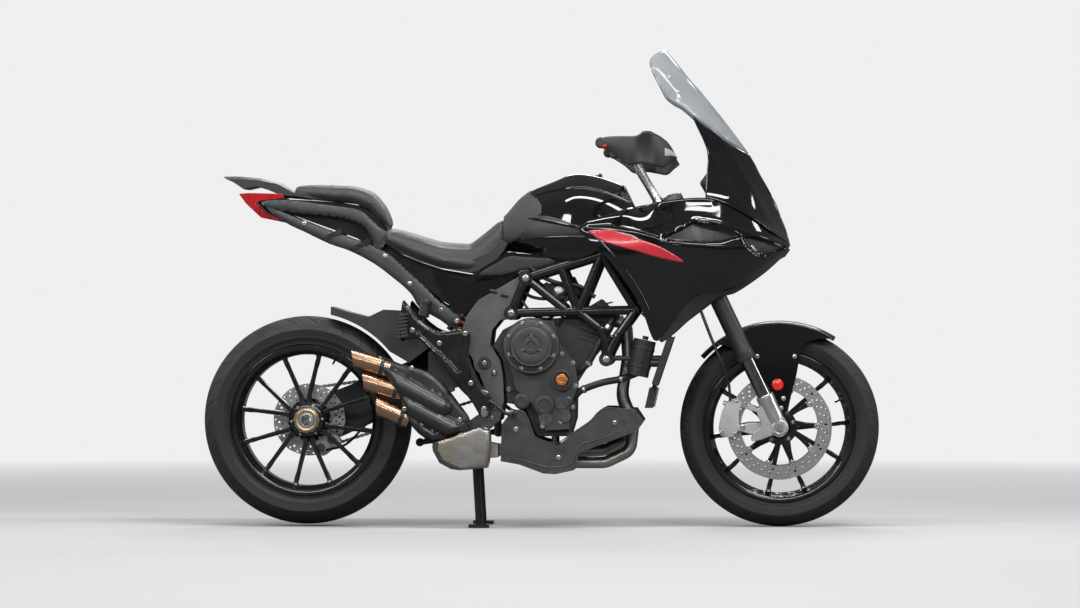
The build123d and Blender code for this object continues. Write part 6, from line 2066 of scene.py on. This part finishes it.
# engine: clutch cover with its ribs, filler, pump and case screws
engineSet = {"clutch": (-22, 553), "filler": (69, 449), "generator": (40, 500), "pulley": (60, 716)}
cx, cz = engineSet["clutch"]
form = newForm()
addLathe(form, [(84.6, -150), (84.6, -172), (82, -177), (76, -181), (66, -183), (64, -189), (60, -194),
                (54, -197.4), (46, -198.2), (32, -197.8), (30, -195.5), (26, -195.5), (24, -198.6),
                (14, -199), (12, -196.8), (0, -196.8)], (cx, 0, cz), (0, 1, 0), 96)
makePiece("clutchCover", form, "caseGrey", "chassis", bevel=0.6)
form = newForm()
for k in range(3):
    turn = 90 + 120 * k
    addRod(form, polarPoint((cx, -198, cz), 22, turn), polarPoint((cx, -186, cz), 70, turn), 4.4, 12, 3.4)
for k in range(48):
    addBlock(form, polarPoint((cx, -163, cz), 83.4, 7.5 * k), (2.2, 15, 3.4), (0, -7.5 * k, 0))
makePiece("clutchRibs", form, "caseGrey", "chassis", bevel=0.8)
boltsAt("clutchScrews", [polarPoint((cx, -181, cz), 73, 22 + 45 * k) for k in range(8)], 4.2, 4.6)
form = newForm()
fx, fz = engineSet["filler"]
addLathe(form, [(33, -150), (33, -164), (31, -168), (25, -169.6), (22, -168), (18, -168)], (fx, 0, fz),
         (0, 1, 0), 56)
makePiece("fillerBoss", form, "darkCast", "chassis", bevel=0.6)
form = newForm()
addLathe(form, [(18, -166), (18, -172.5), (16.4, -174), (9, -174.4), (7.5, -173), (0, -173)], (fx, 0, fz),
         (0, 1, 0), 48)
for k in range(18):
    addBlock(form, polarPoint((fx, -169.5, fz), 18, 20 * k), (1.6, 5.4, 2.4), (0, -20 * k, 0))
makePiece("fillerPlug", form, "copperAnodised", "chassis", bevel=0.5)
caseScrews = [(-92, 420), (-84, 352), (-40, 318), (10, 308), (66, 322), (104, 366), (112, 430),
              (104, 500), (70, 528)]
boltsAt("caseScrews", [(x, -152, z) for x, z in caseScrews], 4.6, 5)
form = newForm()
for x, z, r in ((16, 372, 30), (-52, 384, 22), (84, 384, 15)):
    addLathe(form, [(r + 3, -146), (r + 3, -153), (r, -156), (r * 0.62, -157.5), (r * 0.55, -155.5),
                    (0, -155.5)],
             (x, 0, z), (0, 1, 0), 56)
makePiece("pumpCovers", form, "caseGrey", "chassis", bevel=0.8)
form = newForm()
for k in range(7):
    z = 566 + 17 * k
    addBlock(form, (150, 0, z), (142, 214 - 2 * k, 3.4), (0, -14, 0))
makePiece("cylinderFins", form, "darkCast", "chassis", bevel=0.8)
form = newForm()
addTube(form, [(112, -124, 470), (150, -136, 500), (182, -142, 560), (214, -136, 620), (236, -112, 660)],
        9.5, 16, 8)
addTube(form, [(300, -120, 470), (250, -128, 452), (190, -132, 440), (130, -132, 418), (110, -128, 400)],
        10.5, 16, 8)
makePiece("coolantHoses", form, "hoseRubber", "chassis")
form = newForm()
for a, b in (((148, -135.2, 497), (154, -137.2, 505)), ((206, -137.6, 604), (212, -136.4, 614)),
             ((252, -127.8, 452.6), (243, -128.6, 451)), ((140, -132.2, 422), (133, -131.6, 419))):
    addRod(form, a, b, 12.4, 24)
makePiece("hoseClamps", form, "boltSteel", "chassis")
form = newForm()
addTube(form, [(20, -100, 742), (44, -128, 716), (64, -132, 680), (70, -126, 640), (60, -118, 610)],
        5, 12, 8)
addTube(form, [(-60, -136, 700), (-30, -140, 660), (-8, -140, 640), (40, -132, 640), (90, -128, 700)],
        4, 12, 8)
makePiece("engineWires", form, "hoseRubber", "chassis")
form = newForm()
for y in (-84, -28, 28, 84):
    addLathe(form, [(26, 0), (26, 30), (22, 36), (22, 60)], (110, y * 0.8, 700), (-0.45, 0, 0.9), 32)
makePiece("throttleBodies", form, "plasticBlack", "chassis", bevel=1)

# side plates: pivot bolt, bosses and fixings
plateBosses = [(-166, 500, 20), (-251, 628, 12), (-172, 415, 13), (-230, 521, 9), (-142, 333, 8),
               (-137, 470, 9)]
form = newForm()
for x, z, r in plateBosses:
    addLathe(form, [(r, -135), (r, -138.5), (r - 1.5, -140), (r * 0.55, -140), (r * 0.5, -138.4),
                    (0, -138.4)],
             (x, 0, z), (0, 1, 0), 40)
makePiece("plateBosses", mirrored(form), "darkCast", "chassis")
boltsAt("plateScrews", [(x, -139, z) for x, z, _ in plateBosses], 5.4, 4.4, both=True)
boltsAt("frameScrews", [(-40, -163, 758), (-84, -163, 652), (204, -163, 512)], 7.4, 5, both=True)
form = newForm()
for x, z in ((-40, 758), (-84, 652), (204, 512), (191, 831)):
    addLathe(form, [(0, -163.6), (11, -163.6), (13, -161.5), (13, -150)], (x, 0, z), (0, 1, 0), 32)
makePiece("frameBosses", mirrored(form), "framePaint", "chassis", bevel=0.6)

# radiator: fins between tanks, seen from the front, and the small canister
form = newForm()
low, high = Vector((351, 0, 434)), Vector((400, 0, 579))
lean = (high - low).normalized()
for k in range(46):
    at = low + lean * (3 + 3.2 * k)
    addSlab(form, [(at.x + 6, at.z), (at.x + 9.4, at.z - 1), (at.x + 9.6, at.z - 0.2),
                   (at.x + 6.2, at.z + 0.9)], -150, 150)
makePiece("radiatorFins", form, "finAlloy", "chassis")
form = newForm()
for k in range(31):
    y = -150 + 10 * k
    addRod(form, (low.x + 9, y, low.z), (high.x + 9, y, high.z), 1.3, 6)
makePiece("radiatorTubes", form, "satinBlack", "chassis")
form = newForm()
for k in range(18):
    z = 366 + 3.2 * k
    x = 345 + (z - 363) * 0.23
    addSlab(form, [(x + 2, z), (x + 3.6, z), (x + 3.6, z + 1), (x + 2, z + 1)], -112, 112)
makePiece("coolerFins", form, "finAlloy", "chassis")
form = newForm()
start, end = Vector((298, -150, 462)), Vector((322, -150, 570))
along = (end - start).normalized()
addLathe(form, [(0, 0), (24, 0), (32, 5), (34, 12), (34, 30), (33, 32), (34, 34), (34, 92), (31, 102),
                (20, 108), (0, 110)],
         start, along, 48)
makePiece("canister", form, "plasticBlack", "chassis", bevel=0.6)
form = newForm()
for s in (30, 84):
    addLathe(form, [(34.3, s - 5), (35.4, s - 4.4), (35.4, s + 4.4), (34.3, s + 5)], start, along, 48)
addRod(form, end + along * 1, end + along * 12, 9, 24)
makePiece("canisterBands", form, "satinBlack", "chassis", bevel=0.4)

# exhaust: collars on the headers, the box's seams, shield and slash-cut tips
form = newForm()
for y in (-62, 40):
    for x, z in ((226, 634), (240, 626)):
        addLathe(form, [(18.2, -3), (21, -2.4), (21, 2.4), (18.2, 3)], (x, y, z), (0.86, 0, -0.5), 32)
    addLathe(form, [(18.2, -9), (20.5, -8), (20.5, 8), (18.2, 9)], (267, y, 470), (0.05, 0, 1), 32)
makePiece("headerCollars", form, "rawSteel", "chassis", bevel=0.4)
boxOutline = [(-318, 240), (-306, 256), (-208, 293), (-177, 304), (-152, 294), (-148, 240), (-156, 190),
              (-236, 180), (-294, 203)]
form = newForm()
seam = [Vector((p.x, -188, p.z)) for p in smoothRoute([(x, 0, z) for x, z in boxOutline], 4, closed=True)]
addTube(form, [(-232 + (p.x + 232) * 1.004, -188, 240 + (p.z - 240) * 1.004) for p in seam[::3]], 1.8, 8,
        3, closed=True)
makePiece("mufflerSeam", form, "rawSteel", "chassis")
tipSet = {
    "lines": (((-574, 519), (-462, 486)), ((-541, 449), (-420, 414)), ((-501, 376), (-402, 333))),
    "y": -196,
    "radius": 27.6,
    "wall": 3.4,
    "slash": 24,                    # degrees
}


def tipLine(end, start):
    # both ends of a tip's middle line, and its direction
    a, b = Vector((start[0], tipSet["y"], start[1])), Vector((end[0], tipSet["y"], end[1]))
    return a, b, (b - a).normalized()


form = newForm()
# sleeves and caps inside the tips: soot colour, with painted shade where each cap closes the bore
dark = newForm()
for end, start in tipSet["lines"]:
    a, b, run = tipLine(end, start)
    up = Vector((-run.z, 0, run.x))
    if up.z < 0:
        up = -up
    side = Vector((0, 1, 0))
    long = (b - a).length
    slope = math.tan(math.radians(tipSet["slash"]))
    tipRadius, bore = tipSet["radius"], tipSet["radius"] - tipSet["wall"]
    # radius, depth along the tip, and whether the slash bends this ring
    profile = [(bore, -40, 0), (bore, 0, 1), (bore + 1, 1.2, 1), (tipRadius - 0.8, 1.2, 1),
               (tipRadius, 0, 1), (tipRadius, -6, 1), (tipRadius, -long + 8, 0),
               (tipRadius - 1.5, -long, 0)]
    loops = []
    for radius, depth, cut in profile:
        loop = []
        for k in range(56):
            turn = 2 * math.pi * k / 56
            place = (b + up * math.sin(turn) * radius + side * math.cos(turn) * radius
                     + run * (depth - tipRadius * slope))
            loop.append(place + run * (math.sin(turn) * radius * slope * cut))
        loops.append(loop)
    addSkin(form, loops, ends=False)
    addLathe(dark, [(0, -42), (24, -42), (24.6, -4)], b - run * 14, run, 40)
makePiece("exhaustTips", form, "bronzeTip", "chassis", replaces=("exhaust_tips",))
makePiece("exhaustBores", dark, "sootyShadeSteel", "chassis")

shieldOutline = [(-492, 508), (-484, 522), (-450, 509), (-419, 496), (-380, 487), (-343, 476),
                 (-310, 455), (-283, 428), (-262, 402), (-243, 376), (-226, 354), (-213, 334),
                 (-209, 300), (-240, 287), (-266, 278), (-318, 261), (-353, 280), (-372, 297),
                 (-389, 317), (-402, 333), (-412, 352), (-416, 372), (-420, 394), (-432, 408),
                 (-444, 430), (-452, 448), (-462, 462), (-478, 480)]


def shieldFace(x, z):
    # three lobes that run back to the tips, folded between them
    bulge = 0.0
    for end, start in tipSet["lines"]:
        gap, _ = distanceTo([end, (start[0] + 170, start[1] - 120)], x, z)
        bulge = max(bulge, 25.0 * max(0.0, 1 - (gap / 31.0) ** 2) ** 0.6)
    edge = rimGap(shieldOutline, x, z)
    return 214 + bulge * min(1, 0.25 + edge / 26) - 9 * max(0, 1 - edge / 9) ** 2


def facePatch(outline, depth, longest, sides, smooth=3):
    # a plate with this outline whose face follows depth(x, z); its rim turns in by sides
    line, points, cells = netOver(outline, longest, 9, smooth)
    part = newForm()
    addTo(part, [(p.x, -depth(p.x, p.z), p.z) for p in points], cells)
    addSkin(part, [[Vector((p.x, -depth(p.x, p.z), p.z)) for p in line],
                   [Vector((p.x, -depth(p.x, p.z) + sides, p.z)) for p in line]], ends=False)
    return part


form = facePatch(shieldOutline, shieldFace, 7.5, 74, 5)
makePiece("silencerShield", form, "shieldGraphite", "chassis", replaces=("silencer",), sharp=44)
boltsAt("shieldScrews", [(-382, -237, 486), (-236, -233, 330), (-404, -233, 362)], 5, 4)
form = newForm()
for end, start in tipSet["lines"]:
    a, _, run = tipLine(end, start)
    addLathe(form, [(28.2, -6), (30.4, -5), (31, 0), (30.4, 5), (28.2, 6)], a + run * 12, run, 44)
makePiece("tipCollars", form, "shieldGraphite", "chassis", bevel=0.4)
form = newForm()
addRod(form, (-262, -150, 420), (-262, -236, 420), 7, 20)
makePiece("shieldMount", form, "satinBlack", "chassis", bevel=0.6)

# belly pan folds and screws
form = newForm()
for line in ([(-113, 312), (-84, 346), (-50, 353), (-31, 325), (-10, 275), (55, 255)],
             [(55, 255), (100, 285), (154, 322), (200, 362), (292, 357)],
             [(-108, 210), (-56, 206), (14, 186), (52, 184), (100, 196), (126, 250), (186, 270),
              (294, 312)]):
    beadAlong(form, line, lambda x, z: 166, 2.6, 0.0, 0.5)
makePiece("panFolds", form, "panGrey", "chassis")
boltsAt("panScrews", [(-70, -166.5, 300), (60, -166.5, 215), (230, -166.5, 320)], 5.4, 3.6, both=True)

# shock absorber: coil, body and its collars
shockSet = {"low": (-268, -20, 571), "high": (-176, -20, 742), "coil": 29, "wire": 6, "turns": 7}
form = newForm()
low, high = Vector(shockSet["low"]), Vector(shockSet["high"])
run = (high - low).normalized()
tall = (high - low).length
across = run.cross(Vector((0, 1, 0))).normalized()
coil = []
for k in range(shockSet["turns"] * 10 + 1):
    turn = 2 * math.pi * k / 10
    place = low + run * (26 + (tall - 62) * k / (shockSet["turns"] * 10))
    coil.append(place + (across * math.cos(turn) + Vector((0, 1, 0)) * math.sin(turn)) * shockSet["coil"])
addTube(form, coil, shockSet["wire"], 12, 2)
makePiece("shockCoil", form, "copperAnodised", "chassis", replaces=("shock_absorber",))
form = newForm()
addLathe(form, [(0, 0), (14, 0), (18, 6), (18, 18), (34, 20), (35, 24), (34, 26), (17, 27),
                (17, tall - 34), (34, tall - 33), (35.5, tall - 28), (34, tall - 22), (21, tall - 20),
                (21, tall - 6), (12, tall), (0, tall)], low, run, 40)
makePiece("shockBody", form, "satinBlack", "chassis", bevel=0.6)

# swingarm and rear brake details
boltsAt("swingarmScrews", [(-160, -100, 500)], 9, 6)
form = newForm()
rc = polarPoint(rearAxle, 92, -52)
for dx, dz in ((-16, -12), (16, 12)):
    addLathe(form, [(0, -33), (11, -33), (12.5, -31.5), (13, -28)], (rc.x + dx, 0, rc.z + dz),
             (0, 1, 0), 32)
makePiece("rearCaliperPots", form, "darkCast", "chassis", bevel=0.5)
form = newForm()
addTube(form, [(rc.x, -10, rc.z - 20), (-600, 60, 250), (-520, 96, 330), (-400, 98, 410),
               (-250, 98, 470)], 3.8, 12, 8)
makePiece("rearHose", form, "hoseRubber", "chassis")

# left side of the engine: generator cover with its ribs and screws
gx, gz = engineSet["generator"]
form = newForm()
addLathe(form, [(74.4, 150), (74.4, 160), (72, 166), (66, 169), (58, 170), (56, 172.4), (40, 174),
                (38, 172), (22, 172), (20, 174.4), (0, 174.4)], (gx, 0, gz), (0, 1, 0), 80)
makePiece("generatorCover", form, "caseGrey", "chassis", bevel=0.6)
form = newForm()
for k in range(6):
    addRod(form, polarPoint((gx, 172, gz), 24, 60 * k), polarPoint((gx, 171, gz), 54, 60 * k), 3.2, 10)
makePiece("generatorRibs", form, "caseGrey", "chassis")
boltsAt("generatorScrews", [polarPoint((gx, 168.5, gz), 66, 45 * k) for k in range(8)], 4.2, 4.4, way=1)
form = newForm()
for k in range(9):
    x = -72 + 19 * k
    addSlab(form, [(x, 296), (x + 5, 296), (x + 5, 282), (x, 282)], -96, 96)
makePiece("sumpRibs", form, "darkCast", "chassis", bevel=1)
form = newForm()
for k in range(8):
    for y in (-123.6, 123.6):
        addBlock(form, (158 + 2.6 * k, y, 566 + 14 * k), (92 - 5 * k, 4.5, 4.2), (0, 20, 0))
makePiece("cylinderRibs", form, "darkCast", "chassis", bevel=1)
form = newForm()
addSlab(form, [(-319, 258), (-318, 236), (-298, 199), (-262, 180), (-238, 177), (-242, 188), (-286, 210),
               (-302, 238), (-300, 262)], -237.4, -141)
makePiece("mufflerGuard", form, "satinBlack", "chassis", bevel=2)
form = newForm()
for k in range(3):
    addRod(form, (-150 + 34 * k, -139, 720 - 12 * k), (-128 + 34 * k, -139, 716 - 12 * k), 5.5, 16)
addTube(form, [(-30, -146, 792), (10, -140, 762), (60, -132, 742), (120, -128, 734), (170, -128, 700)],
        6.5, 14, 8)
addTube(form, [(-52, -140, 720), (-20, -128, 700), (30, -126, 696), (84, -126, 716)], 5, 12, 8)
makePiece("airHoses", form, "hoseRubber", "chassis")
form = newForm()
addSlab(form, [(10, 742), (96, 744), (118, 706), (92, 688), (26, 694)], -118, -96)
makePiece("throttleHousing", form, "plasticBlack", "chassis", bevel=5, segments=4)
form = newForm()
px, pz = engineSet["pulley"]
addLathe(form, [(0, -119), (15, -119), (20, -117), (21, -112)], (px, 0, pz), (0, 1, 0), 32)
makePiece("throttlePulley", form, "castAlloy", "chassis", bevel=0.6)
print("engine and exhaust built")

# seats: a cloth-filled cover with piping and stitches

seatSet = {
    "voxel": 0.007,                 # metres
    "pressure": 4.0,
    "frames": 20,
    "mostMove": 0.006,              # metres that the filling may push the cover
    "mostPast": 0.004,              # metres past the cushion's own box
    "dips": {"riderSeat": (-300, 110, 5), "passengerSeat": (-620, 80, 3)},      # X, reach and depth
}


def seatPiece(node, name):
    # the CAD's cushion remade as an even net, filled like a cushion and worn in the middle
    source = cadNodes[node]
    mesh = source.data.copy()
    mesh.name = name
    mesh.transform(source.matrix_world)
    seat = bpy.data.objects.new(name, mesh)
    bpy.context.scene.collection.objects.link(seat)
    bpy.context.view_layer.objects.active = seat
    even = seat.modifiers.new("even", "REMESH")
    even.mode = "VOXEL"
    even.voxel_size = seatSet["voxel"]
    even.use_smooth_shade = True
    soft = seat.modifiers.new("soft", "SMOOTH")
    soft.factor = 0.5
    soft.iterations = 18
    graph = bpy.context.evaluated_depsgraph_get()
    flat = bpy.data.meshes.new_from_object(seat.evaluated_get(graph))
    seat.modifiers.clear()
    seat.data = flat
    start = [v.co.copy() for v in flat.vertices]
    lows = [min(c[k] for c in start) for k in range(3)]
    highs = [max(c[k] for c in start) for k in range(3)]
    held = seat.vertex_groups.new(name="held")
    for v in flat.vertices:
        if v.normal.z < -0.25:
            held.add([v.index], 1.0, "REPLACE")
    cloth = seat.modifiers.new("cover", "CLOTH")
    cloth.settings.quality = 5
    cloth.settings.mass = 0.3
    cloth.settings.tension_stiffness = cloth.settings.compression_stiffness = 30
    cloth.settings.bending_stiffness = 4
    cloth.settings.use_pressure = True
    cloth.settings.uniform_pressure_force = seatSet["pressure"]
    cloth.settings.vertex_group_mass = "held"
    cloth.settings.effector_weights.gravity = 0
    cloth.point_cache.frame_start = 1
    cloth.point_cache.frame_end = seatSet["frames"]
    scene = bpy.context.scene
    for number in range(1, seatSet["frames"] + 1):
        scene.frame_set(number)
    graph = bpy.context.evaluated_depsgraph_get()
    filled = bpy.data.meshes.new_from_object(seat.evaluated_get(graph))
    seat.modifiers.clear()
    for v, before in zip(filled.vertices, start):
        move = v.co - before
        if move.length > seatSet["mostMove"]:
            v.co = before + move.normalized() * seatSet["mostMove"]
    seat.data = filled
    scene.frame_set(1)
    dipX, reach, deep = seatSet["dips"][name]
    for v in seat.data.vertices:
        # a slight dip where somebody sits
        if v.normal.z > 0.3:
            gap = math.hypot(v.co.x * 1000 - dipX, v.co.y * 1000)
            v.co.z -= deep * 0.001 * math.exp(-(gap / reach) ** 2)
        for k, (low, high) in enumerate(zip(lows, highs)):
            v.co[k] = max(low - seatSet["mostPast"], min(high + seatSet["mostPast"], v.co[k]))
    for face in seat.data.polygons:
        face.use_smooth = True
    seat.data.materials.clear()
    seat.data.materials.append(finish["seatHide"])
    finer = seat.modifiers.new("finer", "SUBSURF")
    finer.levels = finer.render_levels = 1
    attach(seat, "chassis")
    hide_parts(node)
    return seat


def seatTop(seat, route, lift):
    # the route's points moved to the nearest places of the seat
    tree = BVHTree.FromObject(seat, bpy.context.evaluated_depsgraph_get())
    points = []
    for p in route:
        place, normal, _, _ = tree.find_nearest(Vector(p) * 0.001)
        if place is not None:
            points.append((place + normal * lift * 0.001) * 1000)
    return points


def seamOn(seat, name, routes, radius=1.9, stitch=6.5):
    # a piping cord along each route, with a row of stitches beside it
    cord, thread = newForm(), newForm()
    for route in routes:
        line = seatTop(seat, smoothRoute(route, 14), -0.4)
        line = smoothRoute(line[::3], 4)
        addTube(cord, line[::2], radius, 8, 3)
        run = 0.0
        inner = seatTop(seat, [p + Vector((0, 7 * (-1 if p.y > 0 else 1), 0)) for p in line], 0.5)
        for a, b in zip(inner, inner[1:]):
            run += (b - a).length
            if run > stitch:
                run = 0.0
                along = (b - a).normalized() if (b - a).length > 1e-3 else Vector((1, 0, 0))
                addRod(thread, a - along * 1.9, a + along * 1.9, 0.55, 5)
    makePiece(name + "Piping", cord, "seatPiping", "chassis")
    makePiece(name + "Stitches", thread, "panGrey", "chassis")


riderSeat = seatPiece("rider_seat", "riderSeat")
seamOn(riderSeat, "riderSeat",
       [[(-455, s * 116, 902), (-400, s * 128, 884), (-330, s * 128, 862), (-260, s * 122, 850),
         (-205, s * 108, 852), (-170, s * 96, 872), (-140, s * 84, 898), (-116, s * 70, 920)]
         for s in (-1, 1)])
passengerSeat = seatPiece("passenger_seat", "passengerSeat")
seamOn(passengerSeat, "passengerSeat",
       [[(-748, s * 66, 1038), (-690, s * 92, 1036), (-620, s * 108, 1034), (-560, s * 112, 1030),
         (-520, s * 112, 1014), (-492, s * 106, 980), (-472, s * 104, 950)] for s in (-1, 1)]
       + [[(-640, -108, 1034), (-640, -60, 1044), (-640, 0, 1048), (-640, 60, 1044), (-640, 108, 1034)]])
print("seats built")


# tail

tailSet = {
    "upperRail": [(-462, 890), (-493, 917), (-532, 954), (-563, 969), (-670, 984), (-777, 997),
                  (-847, 991), (-822, 970), (-737, 957), (-639, 948), (-578, 935), (-532, 914),
                  (-517, 890), (-490, 838)],
    "lowerRail": [(-242, 643), (-303, 685), (-349, 731), (-395, 774), (-426, 804), (-456, 829),
                  (-499, 853), (-578, 881), (-670, 914), (-756, 948), (-846, 984), (-777, 929),
                  (-716, 899), (-639, 862), (-578, 841), (-502, 801), (-426, 743), (-389, 707),
                  (-364, 667), (-303, 631), (-267, 609)],
    "spoiler": [(-975, 1071), (-945, 1071.5), (-920, 1071), (-858, 1065), (-797, 1050), (-736, 1013),
                (-700, 998), (-780, 1005), (-834, 1029), (-871, 1041), (-911, 1031), (-950, 1058)],
    "light": [(-920, 1016), (-889, 1019), (-788, 1016), (-782, 1002), (-852, 995), (-869, 986),
              (-828, 952), (-788, 938), (-788, 930), (-852, 943), (-898, 986)],
    "inner": 90, "outer": 123.5,
}


def railSide(outline, edge, name, replaces=()):
    # one rail on both sides, with its face rounded over this far from the rim
    outer = tailSet["outer"]

    def face(x, z):
        return outer - 5 * max(0, 1 - rimGap(outline, x, z) / edge) ** 2

    form = facePatch(outline, face, 10.5, outer - tailSet["inner"])
    makePiece(name, mirrored(form), "panGrey", "chassis", replaces=replaces, sharp=50)


railSide(tailSet["lowerRail"], 16, "lowerTailRails", ("tail_rails",))
railSide(tailSet["upperRail"], 12, "upperTailRails")
form = newForm()
for x, z in ((-546, 858), (-632, 889)):
    addBlock(form, (x, -123.6, z), (62, 2.4, 15), (0, -24, 0))
makePiece("pannierSlots", mirrored(form), "framePaint", "chassis", bevel=1)
boltsAt("railScrews", [(-300, -123, 662), (-395, -123, 742), (-470, -123, 826), (-716, -123, 925)], 5,
        3.6, both=True)

form = newForm()
loops = []
for k in range(-12, 13):
    y = 84 * k / 12
    pull = (abs(k) / 12) ** 2.5
    loops.append([(-840 + (x + 840) * (1 - 0.10 * pull), y, 1030 + (z - 1030) * (1 - 0.22 * pull))
                  for x, z in tailSet["spoiler"]])
addSkin(form, loops)
makePiece("grabRail", form, "satinBlack", "chassis", replaces=("grab_rail",), bevel=2, sharp=44)

form = newForm()
for side in (-1, 1):
    low, high = sorted((side * 30, side * 94))
    addSlab(form, tailSet["light"], low, high)
addSlab(form, [(-918, 1012), (-898, 1014), (-898, 996), (-908, 998)], -34, 34)
makePiece("tailLight", form, "tailLens", "chassis", replaces=("tail_light",), bevel=1.6)
form = newForm()
addSlab(form, [(-880, 1012), (-792, 1010), (-786, 1003), (-850, 1001), (-862, 990), (-826, 957),
               (-794, 945), (-794, 935), (-848, 949), (-884, 988)], -88, 88)
makePiece("tailLightBody", form, "plasticBlack", "chassis", bevel=1.5)

# under-tank cover in satin, over the side panels
form = newForm()
cover = [(-205, 758), (-179, 784), (-105, 828), (-88, 833), (49, 824), (60, 801), (3, 783), (-43, 778),
         (-119, 760)]
form = facePatch(cover, lambda x, z: 136.4 - 4 * max(0, 1 - rimGap(cover, x, z) / 12) ** 2, 9.0, 8)
makePiece("underTankCovers", mirrored(form), "satinBlack", "chassis", sharp=50)

# instruments behind the screen
form = newForm()
dashLoops = []
for y, grow in ((-79, 0.8), (-74, 1.0), (74, 1.0), (79, 0.8)):
    dashLoops.append([(532 + (x - 532) * grow, y, 1040 + (z - 1040) * grow)
                      for x, z in ((487, 1048), (512, 1080), (537, 1080), (578, 998), (516, 998))])
addSkin(form, dashLoops)
makePiece("dashHousing", form, "plasticBlack", "chassis", replaces=("dashboard",), bevel=3, segments=3)
form = newForm()
face = Vector((512 - 487, 0, 1080 - 1048)).normalized()
out = Vector((-face.z, 0, face.x))
mid = Vector((499.5, 0, 1064))
glassCorners = ((-16, -66), (16, -66), (16, 66), (-16, 66))
addSkin(form, [[mid + face * a + Vector((0, b, 0)) + out * h for a, b in glassCorners] for h in (-1, 1.2)])
makePiece("dashGlass", form, "dashGlass", "chassis", bevel=0.8)

# bases that the two seats rest on
form = newForm()
addSlab(form, [(-476, 868), (-424, 834), (-364, 809), (-303, 789), (-211, 773), (-150, 787), (-108, 840),
               (-96, 862), (-120, 876), (-152, 838), (-211, 812), (-303, 822), (-364, 842), (-424, 862),
               (-468, 886)],
               -121, 121)
addSlab(form, [(-750, 1008), (-700, 1000), (-610, 992), (-548, 984), (-508, 966), (-466, 908),
               (-462, 926), (-492, 986), (-540, 1010), (-610, 1016), (-748, 1020)], -97, 97)
makePiece("seatBases", form, "plasticBlack", "chassis", bevel=2.5)

# the front of the rider's cover, laid over the back of the tank
coverJoint = [(-112, 852), (-90, 862), (-59, 876), (-30, 902), (5, 944), (12, 976)]
coverLimit = [(-112, 2000), (-30, 1999), (-29, 1013), (-10, 1000), (12, 977)]
form = newForm()
loops = []
for step in range(61):
    x = -113 + 124.5 * step / 60
    profile = [(-p.y, p.z) for p in tankLoop(max(x, -112))[:len(tankLoop(0)) // 2 + 1]]
    low, high = between(coverJoint, x), between(coverLimit, x)
    span = [Vector((0, y, z)) for y, z in profile[12:] if low <= z <= high]
    if len(span) < 3:
        continue
    loop = []
    for k in range(19):
        p = pointAlong(span, k / 18)
        rise = 3.4 * min(1, 0.3 + 4 * k / 18) * min(1, 0.3 + (60 - step) / 10)
        size = math.hypot(p.y, max(1, p.z - 880))
        loop.append(Vector((x, -(p.y + rise * p.y / size), p.z + rise * max(0, p.z - 880) / size)))
    loops.append(loop)
addSkin(form, loops, closed=False, ends=False)
makePiece("seatNose", mirrored(form), "seatHide", "chassis", thick=3, sharp=60)

# footrests: brackets, ribbed pegs, the folded passenger pegs, brake pedal and gear lever
bracket = [(-413, 684), (-396, 678), (-378, 656), (-361, 633), (-330, 608), (-300, 596), (-262, 599),
           (-240, 604), (-208, 594), (-208, 556), (-212, 520), (-192, 470), (-167, 424), (-148, 410),
           (-144, 376), (-146, 342), (-172, 336), (-196, 373), (-216, 402), (-240, 433), (-268, 470),
           (-300, 509), (-330, 540), (-361, 572), (-392, 572), (-420, 574)]
bracketHollow = [(-372, 612), (-300, 570), (-232, 572), (-238, 470), (-300, 530), (-366, 590)]


def bracketFace(x, z):
    # a rounded rim and a sunk middle
    return 200.5 - 6 * max(0, 1 - rimGap(bracket, x, z) / 9) ** 2 - 3.5 * insideOf(bracketHollow, x, z)


form = facePatch(bracket, bracketFace, 9.0, 9)
makePiece("footBrackets", mirrored(form), "framePaint", "chassis", replaces=("footrests",), sharp=44)
form = newForm()
addRod(form, (-159, -190, 350), (-159, -218, 350), 12, 28)
addLathe(form, [(0, -216), (12.4, -216)] + [(12.4 - 2.2 * (k % 2), -220 - 4 * k) for k in range(18)]
         + [(10, -291), (0, -291)],
         (-159, 0, 350), (0, 1, 0), 28)
makePiece("riderPegs", mirrored(form), "boltSteel", "chassis", bevel=0.5)
form = newForm()
addRod(form, (-146, -136.5, 368), (-158, -192, 368), 9, 20)
addRod(form, (-222, -136.5, 590), (-222, -192, 590), 9, 20)
addTube(form, [(-150, -196, 386), (-128, -204, 372), (-100, -210, 350), (-74, -212, 344)], 5.8, 12, 6)
addRod(form, (-72, -205, 344), (-72, -255, 344), 8.8, 20)
makePiece("pedals", mirrored(form), "framePaint", "chassis", bevel=1)
form = newForm()
for k in range(7):
    addBlock(form, (-412 + 1.2 * k, -222, 580 + 11 * k), (27, 62, 6.6), (0, -10, 0))
addBlock(form, (-409, -222, 614), (19, 56, 74), (0, -10, 0))
makePiece("passengerPegs", mirrored(form), "gripRubber", "chassis", bevel=1.6)
boltsAt("bracketScrews", [(-382, -201, 600), (-300, -201, 560), (-222, -201, 590), (-205, -201, 440),
                          (-165, -201, 362)],
        5.6, 4.4, both=True)

# fluid pot and its hose between the bracket and the tyre's guard
form = newForm()
addLathe(form, [(0, 0), (15, 0), (17, 3), (17, 40), (18.5, 42), (18.5, 50), (16, 53), (0, 53)],
         (-352, -150, 640), (0.2, 0, 1), 36)
makePiece("brakeFluidPot", form, "plasticBlack", "chassis", bevel=0.6)
form = newForm()
addTube(form, [(-352, -150, 640), (-350, -152, 610), (-330, -158, 560), (-290, -164, 500),
               (-240, -166, 430), (-200, -160, 390)], 5, 12, 8)
makePiece("fluidHose", form, "hoseRubber", "chassis")
print("tail built")
